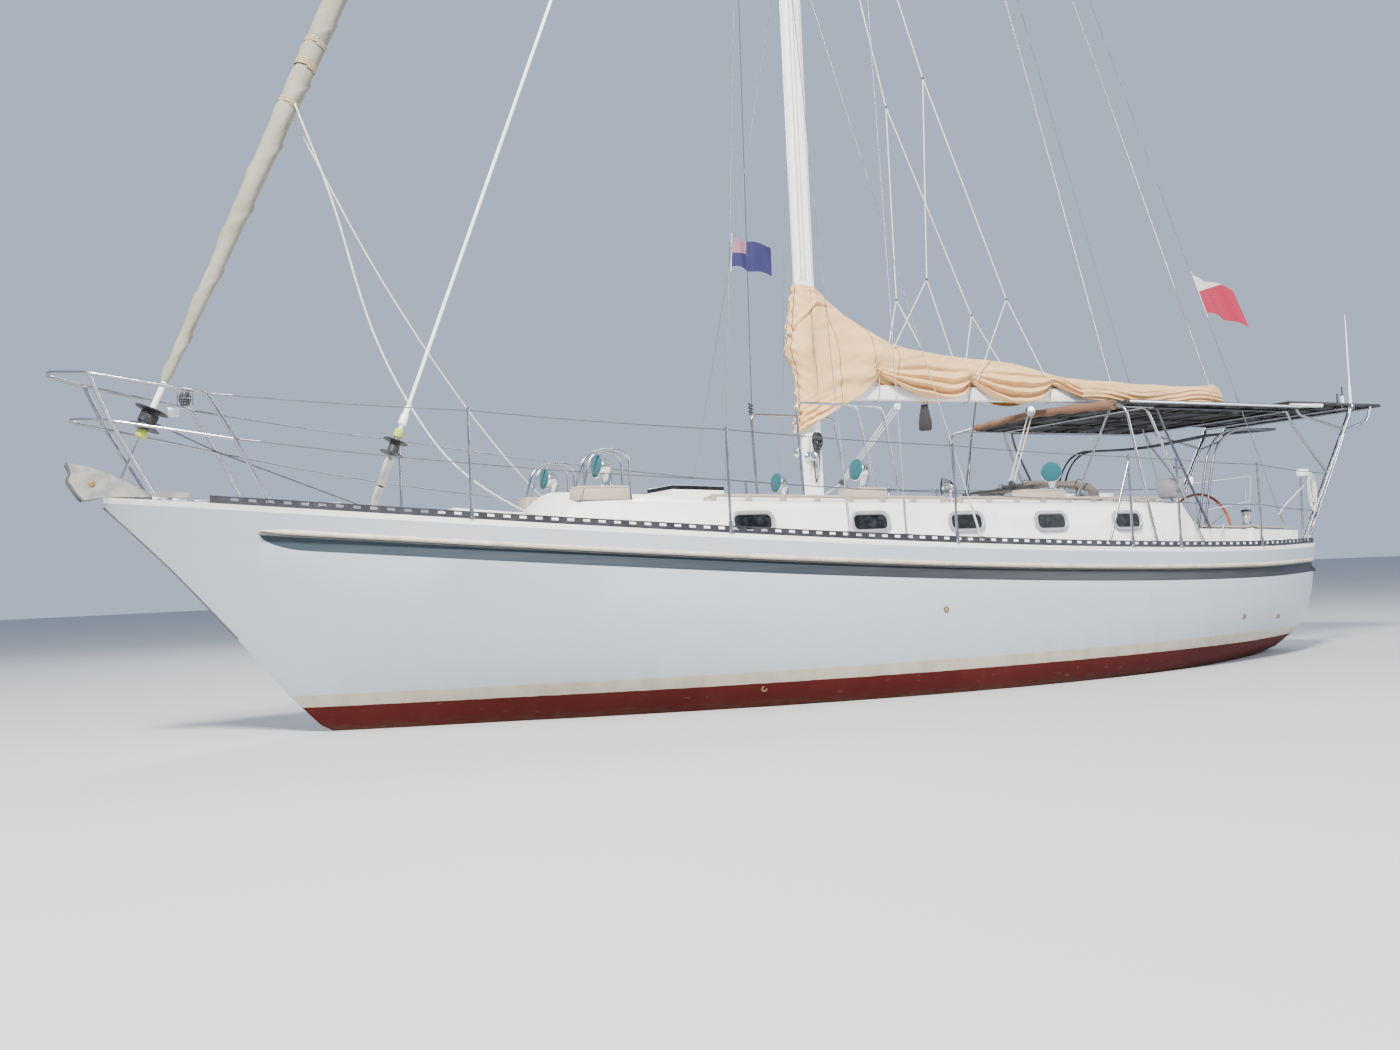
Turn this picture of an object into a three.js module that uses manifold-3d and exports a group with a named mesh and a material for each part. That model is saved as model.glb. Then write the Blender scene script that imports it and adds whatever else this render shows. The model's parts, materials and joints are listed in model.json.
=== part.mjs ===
// Cutter-rigged sailing yacht, 13 m on deck, afloat with its sails furled and its boom covered.
// Millimetres. +X points to the bow, +Y to port, +Z up. The origin is on the centreline at the
// waterline, 6.5 m abaft the stem head.

import * as THREE from "three";
import { mergeVertices } from "three/addons/utils/BufferGeometryUtils.js";
import Module from "manifold-3d";

const wasm = await Module();
wasm.setup();

// Driving dimensions
const GAP = 0.3; // running gap between pieces that touch
const TRANSOM_X = -6450; // at the deck edge
const TRANSOM_RAKE = 0.16; // how far the transom leans aft for each unit of height
const DECK_EDGE_DEPTH = 45; // depth of the deck moulding at its edge
const DECK_CAMBER = 70; // rise of the deck at the centreline amidships
const COVE_TOP = 205; // rub strake below the deck edge
const COVE_DEPTH = 28;
const COVE_START_X = 5380;
const CABIN_INSET = 520; // side deck width at the rail
const CABIN_WALL = 30;
const CABIN_FRONT_X = 3000;
const CABIN_AFT_X = -4050;
const CABIN_CAMBER = 150;
const WELL_HALF_WIDTH = 400;
const WELL_FRONT_X = -4150;
const WELL_AFT_X = -6080;
const HELM_HALF_WIDTH = 620; // the well widens here for the wheel
const HELM_FRONT_X = -5600;
const WELL_SOLE_Z = 700;
const MAST_X = -215;
const MAST_CHORD = 215;
const MAST_WIDTH = 145;
const MASTHEAD_Z = 16850;
const LOWER_SPREADER_Z = 7800;
const UPPER_SPREADER_Z = 12300;
const LOWER_SPREADER_REACH = 1250;
const UPPER_SPREADER_REACH = 900;
const BOOM_PIVOT_X = -405;
const BOOM_Z = 3045;
const BOOM_LENGTH = 5250; // from the gooseneck pin
const BOOM_HEIGHT = 160;
const BOOM_WIDTH = 110;
const BOOM_REST_DEG = 6; // the boom lies this far to port of the centreline
const KEEL_DEPTH = 1950; // draught
const WHEEL_X = -5830;
const WHEEL_Z = 1420;
const WHEEL_RADIUS = 520;
const RUDDER_STOCK_X = -5700;
const STOCK_RADIUS = 30;
const PROP_X = -4800;
const PROP_Z = -680;
const SHAFT_SLOPE = 0.22;
const SHAFT_RADIUS = 17;
const ROOF_Z = 2822; // underside of the solar roof over the cockpit
const ROOF_THICKNESS = 45;
const ARCH_PANEL_Z = 2909; // underside of the panel on the stern arch
const WIRE = 5; // radius of the standing rigging as drawn

// Lines of the hull, one row for each station.
// x, half breadth at the deck edge, height of the deck edge, height of the canoe body's bottom,
// and the two exponents that take a section from a straight V to a round U
const OFFSETS = [
  { x: 6500, half: 70, sheer: 2012, keel: 1930, full: 1.0, bilge: 1.0 },
  { x: 6000, half: 318, sheer: 1958, keel: 1405, full: 1.0, bilge: 1.0 },
  { x: 5400, half: 568, sheer: 1893, keel: 692, full: 1.04, bilge: 1.0 },
  { x: 4860, half: 765, sheer: 1835, keel: 60, full: 1.14, bilge: 1.1 },
  { x: 4200, half: 985, sheer: 1767, keel: -260, full: 1.3, bilge: 1.4 },
  { x: 3500, half: 1185, sheer: 1698, keel: -380, full: 1.5, bilge: 1.8 },
  { x: 2500, half: 1440, sheer: 1607, keel: -480, full: 1.75, bilge: 2.6 },
  { x: 1000, half: 1733, sheer: 1483, keel: -560, full: 2.0, bilge: 4.0 },
  { x: -500, half: 1932, sheer: 1380, keel: -580, full: 2.15, bilge: 5.2 },
  { x: -2000, half: 2015, sheer: 1302, keel: -530, full: 2.2, bilge: 5.6 },
  { x: -3500, half: 1952, sheer: 1252, keel: -390, full: 2.2, bilge: 5.2 },
  { x: -5000, half: 1690, sheer: 1234, keel: -210, full: 2.2, bilge: 4.6 },
  { x: -6450, half: 1160, sheer: 1254, keel: -40, full: 2.2, bilge: 4.2 },
];

// Stanchions of one side, all with their foot on the rail
const STANCHIONS = [3812, 1677, -515, -2638, -3349, -4847];
const STANCHION_HEIGHT = 900;

// Ports of one side of the cabin: x of the middle, length along the cabin
const PORTS = [
  { x: 1177, length: 380 },
  { x: 3, length: 370 },
  { x: -1060, length: 370 },
  { x: -2109, length: 380 },
  { x: -3190, length: 400 },
];
const PORT_HEIGHT = 165;
const PORT_DROP = 165; // middle of the port below the cabin side's top edge

// Dorade boxes of one side of the cabin roof: x of the box's middle, its y and length, x of its cowl
const DORADES = [
  { name: "fore", x: 2480, y: 650, length: 480, cowl: 2400 },
  { name: "mast", x: -300, y: 760, length: 420, cowl: -330 },
  { name: "aft", x: -2500, y: 850, length: 540, cowl: -2680 },
];

// Colours
const PAINT = {
  gelcoat: [0xf2f1ec, 0.35, 0],
  redPaint: [0x8d3a34, 0.8, 0],
  steel: [0xc9cdd0, 0.25, 0.9],
  spar: [0xf4f4f2, 0.4, 0.2],
  teak: [0xb09a80, 0.8, 0],
  rail: [0x2b2c2e, 0.6, 0.6],
  canvas: [0xe2c9a2, 0.9, 0],
  sail: [0xb9a68c, 0.9, 0],
  black: [0x1d1e20, 0.6, 0],
  solar: [0x14161d, 0.2, 0.1],
  bronze: [0x9a7a44, 0.45, 0.8],
  rim: [0xb5522a, 0.5, 0],
  iron: [0x6d6a66, 0.7, 0.5],
  grey: [0x8e9296, 0.7, 0],
};

const yacht = new THREE.Group();

// Number helpers

// Smooth value of one column of OFFSETS at station x.
function lines(x, column) {
  const rows = OFFSETS;
  let i = rows.findIndex((row) => row.x <= x);
  i = Math.min(Math.max(i < 0 ? rows.length - 1 : i, 1), rows.length - 1);
  const [a, b] = [rows[i - 1], rows[i]];
  const slope = (p, q) => (rows[q][column] - rows[p][column]) / (rows[q].x - rows[p].x);
  const last = rows.length - 1;
  const slopeA = slope(Math.max(i - 2, 0), i);
  const slopeB = slope(i - 1, Math.min(i + 1, last));
  const span = b.x - a.x;
  const t = (x - a.x) / span;
  const h = [2 * t ** 3 - 3 * t ** 2 + 1, t ** 3 - 2 * t ** 2 + t, 3 * t ** 2 - 2 * t ** 3, t ** 3 - t ** 2];
  return h[0] * a[column] + h[1] * span * slopeA + h[2] * b[column] + h[3] * span * slopeB;
}

// Half breadth of the hull's outside at station x and height z.
function hullHalf(x, z) {
  const [half, sheer, keel] = ["half", "sheer", "keel"].map((c) => lines(x, c));
  const down = Math.min(Math.max((sheer - z) / (sheer - keel), 0), 1);
  return half * (1 - down ** lines(x, "bilge")) ** (1 / lines(x, "full"));
}

// Height of the deck's top at station x, a distance y off the centreline.
function deckTop(x, y) {
  const half = lines(x, "half");
  const camber = (DECK_CAMBER * half) / 2000;
  return lines(x, "sheer") + camber * (1 - (y / half) ** 2);
}

// Cabin: half breadth at the deck, half breadth at the roof's edge, height of the roof's edge.
const cabinFoot = (x) => lines(x, "half") - CABIN_INSET - 25;
const cabinShoulder = (x) => cabinFoot(x) - 75;
function roofEdge(x) {
  const along = (2700 - x) / 6400;
  return 1868 - 255 * along + 115 * along ** 2;
}
const roofTop = (x, y) => roofEdge(x) + CABIN_CAMBER * (1 - (y / cabinShoulder(x)) ** 2);

// Geometry helpers

const point = (x, y, z) => new THREE.Vector3(x, y, z);

function toSolid(geometry) {
  const plain = geometry.clone();
  plain.deleteAttribute("normal");
  plain.deleteAttribute("uv");
  const merged = mergeVertices(plain, 1e-3);
  const triVerts = new Uint32Array(merged.index.array);
  const make = () =>
    new wasm.Manifold(
      new wasm.Mesh({ numProp: 3, vertProperties: merged.attributes.position.array, triVerts }),
    );
  let solid = make();
  if (solid.volume() < 0) {
    for (let i = 0; i < triVerts.length; i += 3) {
      [triVerts[i + 1], triVerts[i + 2]] = [triVerts[i + 2], triVerts[i + 1]];
    }
    solid = make();
  }
  return solid;
}

function toGeometry(solid) {
  const mesh = solid.getMesh();
  const geometry = new THREE.BufferGeometry();
  const places = new Float32Array(mesh.numVert * 3);
  for (let i = 0; i < mesh.numVert; i++) {
    places.set(mesh.vertProperties.subarray(i * mesh.numProp, i * mesh.numProp + 3), i * 3);
  }
  geometry.setAttribute("position", new THREE.BufferAttribute(places, 3));
  geometry.setIndex(new THREE.BufferAttribute(new Uint32Array(mesh.triVerts), 1));
  return geometry;
}

const asSolid = (shape) => (shape.isBufferGeometry ? toSolid(shape) : shape);
const join = (...shapes) => shapes.map(asSolid).reduce((sum, shape) => sum.add(shape));
const cut = (base, ...tools) =>
  tools.map(asSolid).reduce((rest, tool) => rest.subtract(tool), asSolid(base));

// Adds one named piece, given as a geometry or a solid, to a group.
function piece(name, shape, paint, group = yacht) {
  const [color, roughness, metalness] = PAINT[paint];
  const geometry = toGeometry(asSolid(shape));
  geometry.computeVertexNormals();
  const mesh = new THREE.Mesh(geometry, new THREE.MeshStandardMaterial({ color, roughness, metalness }));
  mesh.name = name;
  group.add(mesh);
  return mesh;
}

function box(x, y, z) {
  const size = [x, y, z].map(([low, high]) => high - low);
  const middle = [x, y, z].map(([low, high]) => (high + low) / 2);
  return new THREE.BoxGeometry(...size).translate(...middle);
}

// A closed body through rings of points that all have the same count, each end closed by a fan.
function loft(rings) {
  const count = rings[0].length;
  const places = rings.flat();
  const faces = [];
  for (let r = 0; r + 1 < rings.length; r++) {
    for (let i = 0; i < count; i++) {
      const [a, b] = [r * count + i, r * count + ((i + 1) % count)];
      faces.push(a, b, b + count, a, b + count, a + count);
    }
  }
  [rings[0], rings.at(-1)].forEach((ring, end) => {
    const base = end ? (rings.length - 1) * count : 0;
    const middle = places.push(ring.reduce((sum, p) => sum.add(p), point(0, 0, 0)).divideScalar(count)) - 1;
    for (let i = 0; i < count; i++) {
      const [a, b] = [base + i, base + ((i + 1) % count)];
      faces.push(...(end ? [middle, a, b] : [middle, b, a]));
    }
  });
  const geometry = new THREE.BufferGeometry();
  const numbers = places.flatMap((p) => [p.x, p.y, p.z]);
  geometry.setAttribute("position", new THREE.Float32BufferAttribute(numbers, 3));
  geometry.setIndex(faces);
  return geometry;
}

// Polygon in plan, extruded from one height to another.
function slab(outline, low, high) {
  const shape = new THREE.Shape(outline.map(([x, y]) => new THREE.Vector2(x, y)));
  return new THREE.ExtrudeGeometry(shape, { depth: high - low, bevelEnabled: false }).translate(0, 0, low);
}

// Polygon in elevation (x, z), extruded sideways.
function sidePlate(outline, low, high) {
  const shape = new THREE.Shape(outline.map(([x, z]) => new THREE.Vector2(x, z)));
  return new THREE.ExtrudeGeometry(shape, { depth: high - low, bevelEnabled: false })
    .rotateX(Math.PI / 2)
    .translate(0, high, 0);
}

// Rounded rectangle, counter-clockwise.
function roundedRect(width, height, radius, steps = 3) {
  const out = [];
  [[1, -1, -90], [1, 1, 0], [-1, 1, 90], [-1, -1, 180]].forEach(([sx, sy, start]) => {
    for (let i = 0; i <= steps; i++) {
      const turn = THREE.MathUtils.degToRad(start + (90 * i) / steps);
      out.push([
        sx * (width / 2 - radius) + radius * Math.cos(turn),
        sy * (height / 2 - radius) + radius * Math.sin(turn),
      ]);
    }
  });
  return out;
}

// A straight round bar between two points.
function rod(from, to, radius, sides = 8, endRadius = radius) {
  const along = to.clone().sub(from);
  const bar = new THREE.CylinderGeometry(endRadius, radius, along.length(), sides);
  const turn = new THREE.Quaternion().setFromUnitVectors(point(0, 1, 0), along.clone().normalize());
  const middle = from.clone().add(to).multiplyScalar(0.5);
  return bar.applyQuaternion(turn).translate(middle.x, middle.y, middle.z);
}

// Straight runs joined by round bends, as a curve with one step for each corner point.
class BentPath extends THREE.Curve {
  constructor(corners, radius = 0, steps = 3) {
    super();
    this.points = [corners[0]];
    for (let i = 1; i + 1 < corners.length; i++) {
      const [before, corner, after] = [corners[i - 1], corners[i], corners[i + 1]];
      const reach = Math.min(radius, before.distanceTo(corner) * 0.45, after.distanceTo(corner) * 0.45);
      if (!reach) {
        this.points.push(corner);
        continue;
      }
      const from = corner.clone().lerp(before, reach / before.distanceTo(corner));
      const to = corner.clone().lerp(after, reach / after.distanceTo(corner));
      const bend = new THREE.QuadraticBezierCurve3(from, corner, to);
      this.points.push(...bend.getPoints(steps));
    }
    this.points.push(corners.at(-1));
  }
  getPoint(t) {
    const place = Math.min(Math.max(t, 0), 1) * (this.points.length - 1);
    const i = Math.min(Math.floor(place), this.points.length - 2);
    return this.points[i].clone().lerp(this.points[i + 1], place - i);
  }
  getPointAt(t) {
    return this.getPoint(t);
  }
  getTangentAt(t) {
    const step = 0.01 / this.points.length;
    return this.getPoint(t + step).sub(this.getPoint(t - step)).normalize();
  }
}

// A bent tube, solid through, as wide as its radius says.
function tube(corners, radius, sides = 6, bend = 90, steps = 3) {
  const path = new BentPath(corners, bend, steps);
  const ring = [];
  for (let i = 0; i < sides; i++) {
    const turn = (2 * Math.PI * i) / sides;
    ring.push(new THREE.Vector2(radius * Math.cos(turn), radius * Math.sin(turn)));
  }
  return new THREE.ExtrudeGeometry(new THREE.Shape(ring), {
    steps: path.points.length - 1,
    bevelEnabled: false,
    extrudePath: path,
  });
}

// A turned body on the line between two points. rows: distance along, radius.
function turned(from, to, rows, sides = 12) {
  const along = to.clone().sub(from);
  const profile = [[rows[0][0], 0], ...rows, [rows.at(-1)[0], 0]];
  const shape = new THREE.LatheGeometry(profile.map(([at, r]) => new THREE.Vector2(r, at)), sides);
  const turn = new THREE.Quaternion().setFromUnitVectors(point(0, 1, 0), along.clone().normalize());
  return shape.applyQuaternion(turn).translate(from.x, from.y, from.z);
}

const mirrored = (p, side) => point(p.x, p.y * side, p.z);
const SIDES = [
  { side: 1, word: "port" },
  { side: -1, word: "starboard" },
];

// Hull

// One section's port half, from the keel up to the height given, with the cove under the strake.
function sectionHalf(x, top, leanFrom) {
  const [sheer, keel] = [lines(x, "sheer"), lines(x, "keel")];
  const hasCove = x < COVE_START_X;
  const inset = hasCove ? COVE_DEPTH : 0;
  const depth = sheer - keel;
  const start = sheer - top;
  const topside = start + Math.min(COVE_TOP - start, (depth - start) * 0.25);
  const cove = Math.min(130, (depth - start) * 0.15);
  const marks = [
    [depth, 0],
    [depth * 0.985, 0],
    [depth * 0.94, 0],
    [depth * 0.87, 0],
    [depth * 0.78, 0],
    [depth * 0.68, 0],
    [depth * 0.58, 0],
    [(topside + cove + depth * 0.58) / 2, 0],
    [topside + cove, 0],
    [topside + cove * 0.55, inset * 0.6],
    [topside + cove * 0.1, inset],
    [topside, 0],
    [start, 0],
  ];
  return marks.map(([down, tuck]) => {
    const z = sheer - down;
    const y = down === depth ? 0 : hullHalf(x, z) - tuck;
    return point(leanFrom === undefined ? x : leanFrom + TRANSOM_RAKE * (sheer - z), y, z);
  });
}

function hullRing(x, top, leanFrom) {
  const port = sectionHalf(x, top, leanFrom);
  const starboard = port.slice(1).reverse().map((p) => mirrored(p, -1));
  return [...port, ...starboard];
}

const HULL_STATIONS = [
  6500, 6250, 6000, 5700, 5400, 5360, 5100, 4860, 4500, 4200, 3800, 3400, 2900, 2400, 1800, 1200,
  600, 0, -600, -1200, -1800, -2400, -3000, -3600, -4200, -4800, -5400, -5900,
];
const hullTop = (x) => lines(x, "sheer") - DECK_EDGE_DEPTH;
const hullRings = HULL_STATIONS.map((x) => hullRing(x, hullTop(x)));
hullRings.push(hullRing(TRANSOM_X, hullTop(TRANSOM_X), TRANSOM_X + 10));

// Plan outline that follows the cabin's side, from one station to another.
function cabinPlan(from, to, inset) {
  const port = [];
  for (let i = 0; i <= 8; i++) {
    const x = from + ((to - from) * i) / 8;
    port.push([x, cabinFoot(x) - inset]);
  }
  return [...port, ...port.slice().reverse().map(([x, y]) => [x, -y])];
}

const saloon = slab(cabinPlan(2600, -3900, 120), 150, 2500);
const forepeak = box([3080, 3720], [-320, 320], [900, 2500]);
const engineBay = box([-3130, -2150], [-330, 330], [-340, 400]);
const well = join(
  box([WELL_AFT_X, WELL_FRONT_X], [-WELL_HALF_WIDTH, WELL_HALF_WIDTH], [WELL_SOLE_Z, 2500]),
  box([WELL_AFT_X, HELM_FRONT_X], [-HELM_HALF_WIDTH, HELM_HALF_WIDTH], [WELL_SOLE_Z, 2500]),
);
const LOCKER = { x: [-5300, -4400], y: [540, 900], depth: 420 };
const lockerSpan = (side) => (side > 0 ? LOCKER.y : [-LOCKER.y[1], -LOCKER.y[0]]);
const locker = (side) => box(LOCKER.x, lockerSpan(side), [1250 - LOCKER.depth, 2500]);
const shaftAt = (x) => point(x, 0, PROP_Z + (x - PROP_X) * SHAFT_SLOPE);
const sternTube = rod(shaftAt(-3000), shaftAt(-4100), 30, 10);
const rudderTrunk = rod(
  point(RUDDER_STOCK_X, 0, -900),
  point(RUDDER_STOCK_X, 0, 680),
  STOCK_RADIUS + 2 * GAP,
  24,
);

const hullBody = toSolid(loft(hullRings));
piece(
  "hull",
  cut(hullBody, saloon, forepeak, engineBay, well, locker(1), locker(-1), sternTube, rudderTrunk),
  "gelcoat",
);

// Deck moulding: cambered plate with its openings

function deckRing(x, floor, lean) {
  const half = lines(x, "half");
  const top = [1, 0.8, 0.55, 0.28, 0].map((f) => point(x, half * f, deckTop(x, half * f)));
  const low = point(x, Math.max(hullHalf(x, floor), 2), floor);
  const port = [low, ...top];
  const ring = [...port, ...port.slice(0, -1).reverse().map((p) => mirrored(p, -1))];
  if (lean !== undefined) {
    ring.forEach((p) => {
      p.x = lean + TRANSOM_RAKE * (lines(x, "sheer") - p.z);
    });
  }
  return ring;
}

function deckBody(floorAt) {
  const rings = HULL_STATIONS.filter((x) => x !== 5360).map((x) => deckRing(x, floorAt(x)));
  rings.push(deckRing(TRANSOM_X, floorAt(TRANSOM_X), TRANSOM_X + 10));
  return toSolid(loft(rings));
}
const deckPlate = deckBody((x) => hullTop(x) + GAP);
const hatchHole = box([3110, 3690], [-290, 290], [1500, 2500]);
const FORE_HATCH = { x: [3050, 3750], half: 350, rise: 60, lid: 42 };
// A plate that follows the slope of the surface below it, from one height above it to another.
function slopedPlate(span, half, heightAt, low, high) {
  const [aft, fore] = span;
  const outline = [
    [aft, heightAt(aft) + low],
    [fore, heightAt(fore) + low],
    [fore, heightAt(fore) + high],
    [aft, heightAt(aft) + high],
  ];
  return toSolid(sidePlate(outline, -half, half));
}
const foredeckAt = (x) => deckTop(x, 0);
const deck = cut(
  join(deckPlate, slopedPlate(FORE_HATCH.x, FORE_HATCH.half, foredeckAt, -30, FORE_HATCH.rise)),
  slab(cabinPlan(2780, CABIN_AFT_X + 60, 70), 1000, 2500),
  hatchHole,
  well,
  locker(1),
  locker(-1),
);
piece("deck", deck, "gelcoat");
const foreLid = [FORE_HATCH.rise + GAP, FORE_HATCH.rise + FORE_HATCH.lid];
piece(
  "fore_hatch",
  slopedPlate(FORE_HATCH.x, FORE_HATCH.half, foredeckAt, ...foreLid),
  "gelcoat",
);

// What stands on the deck is cut to the deck's top, a running gap above it.
const deckRaised = join(deckBody((x) => hullTop(x) - 2), hullBody).translate([0, 0, GAP]);

// Cabin: hollow shell with its ports, hatches and companionway cut

function cabinRing(x, wall, sink) {
  const foot = cabinFoot(x) - wall;
  const shoulder = cabinShoulder(x) - wall;
  const low = deckTop(x, foot) - sink;
  const edge = roofEdge(x) - wall;
  const port = [
    point(x, foot, low),
    point(x, shoulder + 18, edge - 45),
    point(x, shoulder, edge - 12),
    point(x, shoulder - 40, edge + 8 + CABIN_CAMBER * 0.05),
    ...[0.75, 0.5, 0.25].map((f) =>
      point(x, shoulder * f, edge + CABIN_CAMBER * (1 - f ** 2)),
    ),
    point(x, 0, edge + CABIN_CAMBER),
  ];
  return [...port, ...port.slice(0, -1).reverse().map((p) => mirrored(p, -1))];
}

// The cabin's front slopes up from the deck, so its first rings are squeezed down onto the deck.
function squeezed(ring, share, base) {
  return ring.map((p) => point(p.x, p.y, base + (p.z - base) * share));
}

function cabinBody(wall, sink) {
  const stations = [2700, 2200, 1500, 750, 0, -750, -1500, -2250, -3000, -3700];
  const front = CABIN_FRONT_X - wall * 1.5;
  const rings = [squeezed(cabinRing(front, wall, sink), 0.12, deckTop(front, 300) - sink)];
  rings.push(...stations.map((x) => cabinRing(x - (x === 2700 ? wall : 0), wall, sink)));
  rings.push(cabinRing(CABIN_AFT_X + wall, wall, sink));
  return loft(rings);
}

function portHole(spec, side) {
  const y = (cabinFoot(spec.x) + cabinShoulder(spec.x)) / 2;
  const heading = Math.atan2(
    cabinFoot(spec.x + 200) - cabinFoot(spec.x - 200),
    400,
  );
  const shape = new THREE.Shape(
    roundedRect(spec.length, PORT_HEIGHT, 60).map(([u, v]) => new THREE.Vector2(u, v)),
  );
  return new THREE.ExtrudeGeometry(shape, { depth: 300, bevelEnabled: false })
    .translate(0, 0, -150)
    .rotateX(Math.PI / 2)
    .rotateZ(heading)
    .translate(spec.x, y, roofEdge(spec.x) - PORT_DROP)
    .scale(1, side, 1);
}

const COMPANIONWAY = { half: 320, sill: 1360, head: 1720, slideFrom: -3300 };
const companionway = box(
  [-4300, -3900],
  [-COMPANIONWAY.half, COMPANIONWAY.half],
  [COMPANIONWAY.sill, COMPANIONWAY.head],
);
const slideHole = box(
  [-4100, COMPANIONWAY.slideFrom],
  [-COMPANIONWAY.half, COMPANIONWAY.half],
  [1700, 2500],
);
const SALOON_HATCH = { x: [1000, 1560], half: 280 };
const saloonHatchHole = box(
  [SALOON_HATCH.x[0] + 40, SALOON_HATCH.x[1] - 40],
  [-SALOON_HATCH.half + 40, SALOON_HATCH.half - 40],
  [1850, 2500],
);
const cabinOutside = toSolid(cabinBody(0, 60));
const roofCrown = (x) => roofEdge(x) + CABIN_CAMBER;
const SALOON_RISE = 45;
const SALOON_LID = 38;
const SLIDE = { half: 345, low: 1890, high: 1914, x: [-4070, -3270], travel: 560 };
const slideRail = (side) => {
  const spanY = [SLIDE.half + 6, SLIDE.half + 36].map((y) => y * side).sort((a, b) => a - b);
  const ledgeY = [SLIDE.half - 22, SLIDE.half + 20].map((y) => y * side).sort((a, b) => a - b);
  return join(
    box([CABIN_AFT_X, -2660], spanY, [1840, SLIDE.high + 10]),
    box([CABIN_AFT_X, -2660], ledgeY, [1840, SLIDE.low - GAP]),
  );
};
piece(
  "coachroof",
  cut(
    join(
      cabinOutside,
      slopedPlate(SALOON_HATCH.x, SALOON_HATCH.half, roofCrown, -20, SALOON_RISE),
      slideRail(1),
      slideRail(-1),
    ),
    cabinBody(CABIN_WALL, 300),
    ...PORTS.flatMap((spec) => [portHole(spec, 1), portHole(spec, -1)]),
    companionway,
    slideHole,
    saloonHatchHole,
    deckRaised,
  ),
  "gelcoat",
);
piece(
  "saloon_hatch",
  slopedPlate(SALOON_HATCH.x, SALOON_HATCH.half, roofCrown, SALOON_RISE + GAP, SALOON_RISE + SALOON_LID),
  "black",
);
piece(
  "companionway_slide",
  box(SLIDE.x, [-SLIDE.half, SLIDE.half], [SLIDE.low, SLIDE.high]),
  "gelcoat",
);
const roofRaised = cabinOutside.translate([0, 0, GAP]);
const onRoof = (x, y, sink = 20) => point(x, y, roofTop(x, Math.abs(y)) - sink);
const seated = (...shapes) => cut(join(...shapes), deckRaised, roofRaised);

// Cockpit coaming: a low wall on each side, tapering up to the cabin, joined across the stern

const COAMING = [
  { x: -4055, outer: 1290 },
  { x: -4450, outer: 1195 },
  { x: -5000, outer: 1150 },
  { x: -5600, outer: 1130 },
  { x: -6250, outer: 1040 },
];
const COAMING_WALL = 120;
const WINCH = { x: -5400, y: 1077, z: 1450 };
const coamingSide = (side) => {
  const outline = COAMING.map(({ x, outer }) => [x, outer * side]);
  const inner = COAMING.slice().reverse().map(({ x, outer }) => [x, (outer - COAMING_WALL) * side]);
  const elevation = [
    [-4055, 1100],
    [-4055, 1745],
    [-4140, 1745],
    [-4470, 1462],
    [-6250, 1415],
    [-6250, 1100],
  ];
  const standing = toSolid(slab([...outline, ...inner], 1100, 1800));
  return standing.intersect(toSolid(sidePlate(elevation, -1500, 1500)));
};
piece(
  "cockpit_coaming",
  cut(
    join(
      coamingSide(1),
      coamingSide(-1),
      box([-6310, -6190], [-1040, 1040], [1150, 1415]),
      ...[1, -1].map((side) =>
        rod(point(WINCH.x, WINCH.y * side, 1150), point(WINCH.x, WINCH.y * side, WINCH.z), 85, 16),
      ),
    ),
    deckRaised,
    cabinOutside.translate([-GAP, 0, 0]),
  ),
  "gelcoat",
);

// Winches on the coaming and the lids of the cockpit lockers

const WINCH_DRUM = [
  [0, 70],
  [16, 70],
  [34, 50],
  [120, 47],
  [150, 60],
  [165, 44],
  [180, 62],
  [196, 62],
  [206, 30],
];
const LOCKER_LID_TOP = 1322;
for (const { side, word } of SIDES) {
  const seat = point(WINCH.x, WINCH.y * side, WINCH.z + GAP);
  piece(`winch_${word}`, turned(seat, seat.clone().add(point(0, 0, 1)), WINCH_DRUM, 16), "steel");
  const [near, far] = lockerSpan(side);
  const lid = box([LOCKER.x[0] - 30, LOCKER.x[1] + 30], [near - 30, far + 30], [1200, LOCKER_LID_TOP]);
  piece(`locker_lid_${word}`, cut(lid, deckRaised), "gelcoat");
}

// Toe rails with their stanchions

const RAIL_FRONT_X = 5750;
const RAIL_AFT_X = -6420;
const RAIL_HEIGHT = 58;
const RAIL_THICKNESS = 14;
function toeRail(side) {
  const stations = HULL_STATIONS.filter((x) => x < RAIL_FRONT_X - 100 && x !== 5360);
  const rings = [RAIL_FRONT_X, ...stations, RAIL_AFT_X].map((x) => {
    const outer = lines(x, "half") - 8;
    const low = deckTop(x, outer - RAIL_THICKNESS) + GAP;
    const [top, inner] = [low + RAIL_HEIGHT, outer - RAIL_THICKNESS];
    return [point(x, outer, low), point(x, outer, top), point(x, inner, top), point(x, inner, low)]
      .map((p) => mirrored(p, side));
  });
  const posts = STANCHIONS.flatMap((x) => {
    const foot = point(x, (lines(x, "half") - 18) * side, lines(x, "sheer") + 8);
    const top = foot.clone().add(point(0, 0, STANCHION_HEIGHT));
    return [rod(foot, foot.clone().add(point(0, 0, 95)), 19, 8), rod(foot, top, 13, 8)];
  });
  return cut(join(loft(rings), ...posts), deckRaised);
}
for (const { side, word } of SIDES) piece(`toe_rail_${word}`, toeRail(side), "rail");

// Pulpit: an upper and a middle rail on four legs, round the bow

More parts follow.
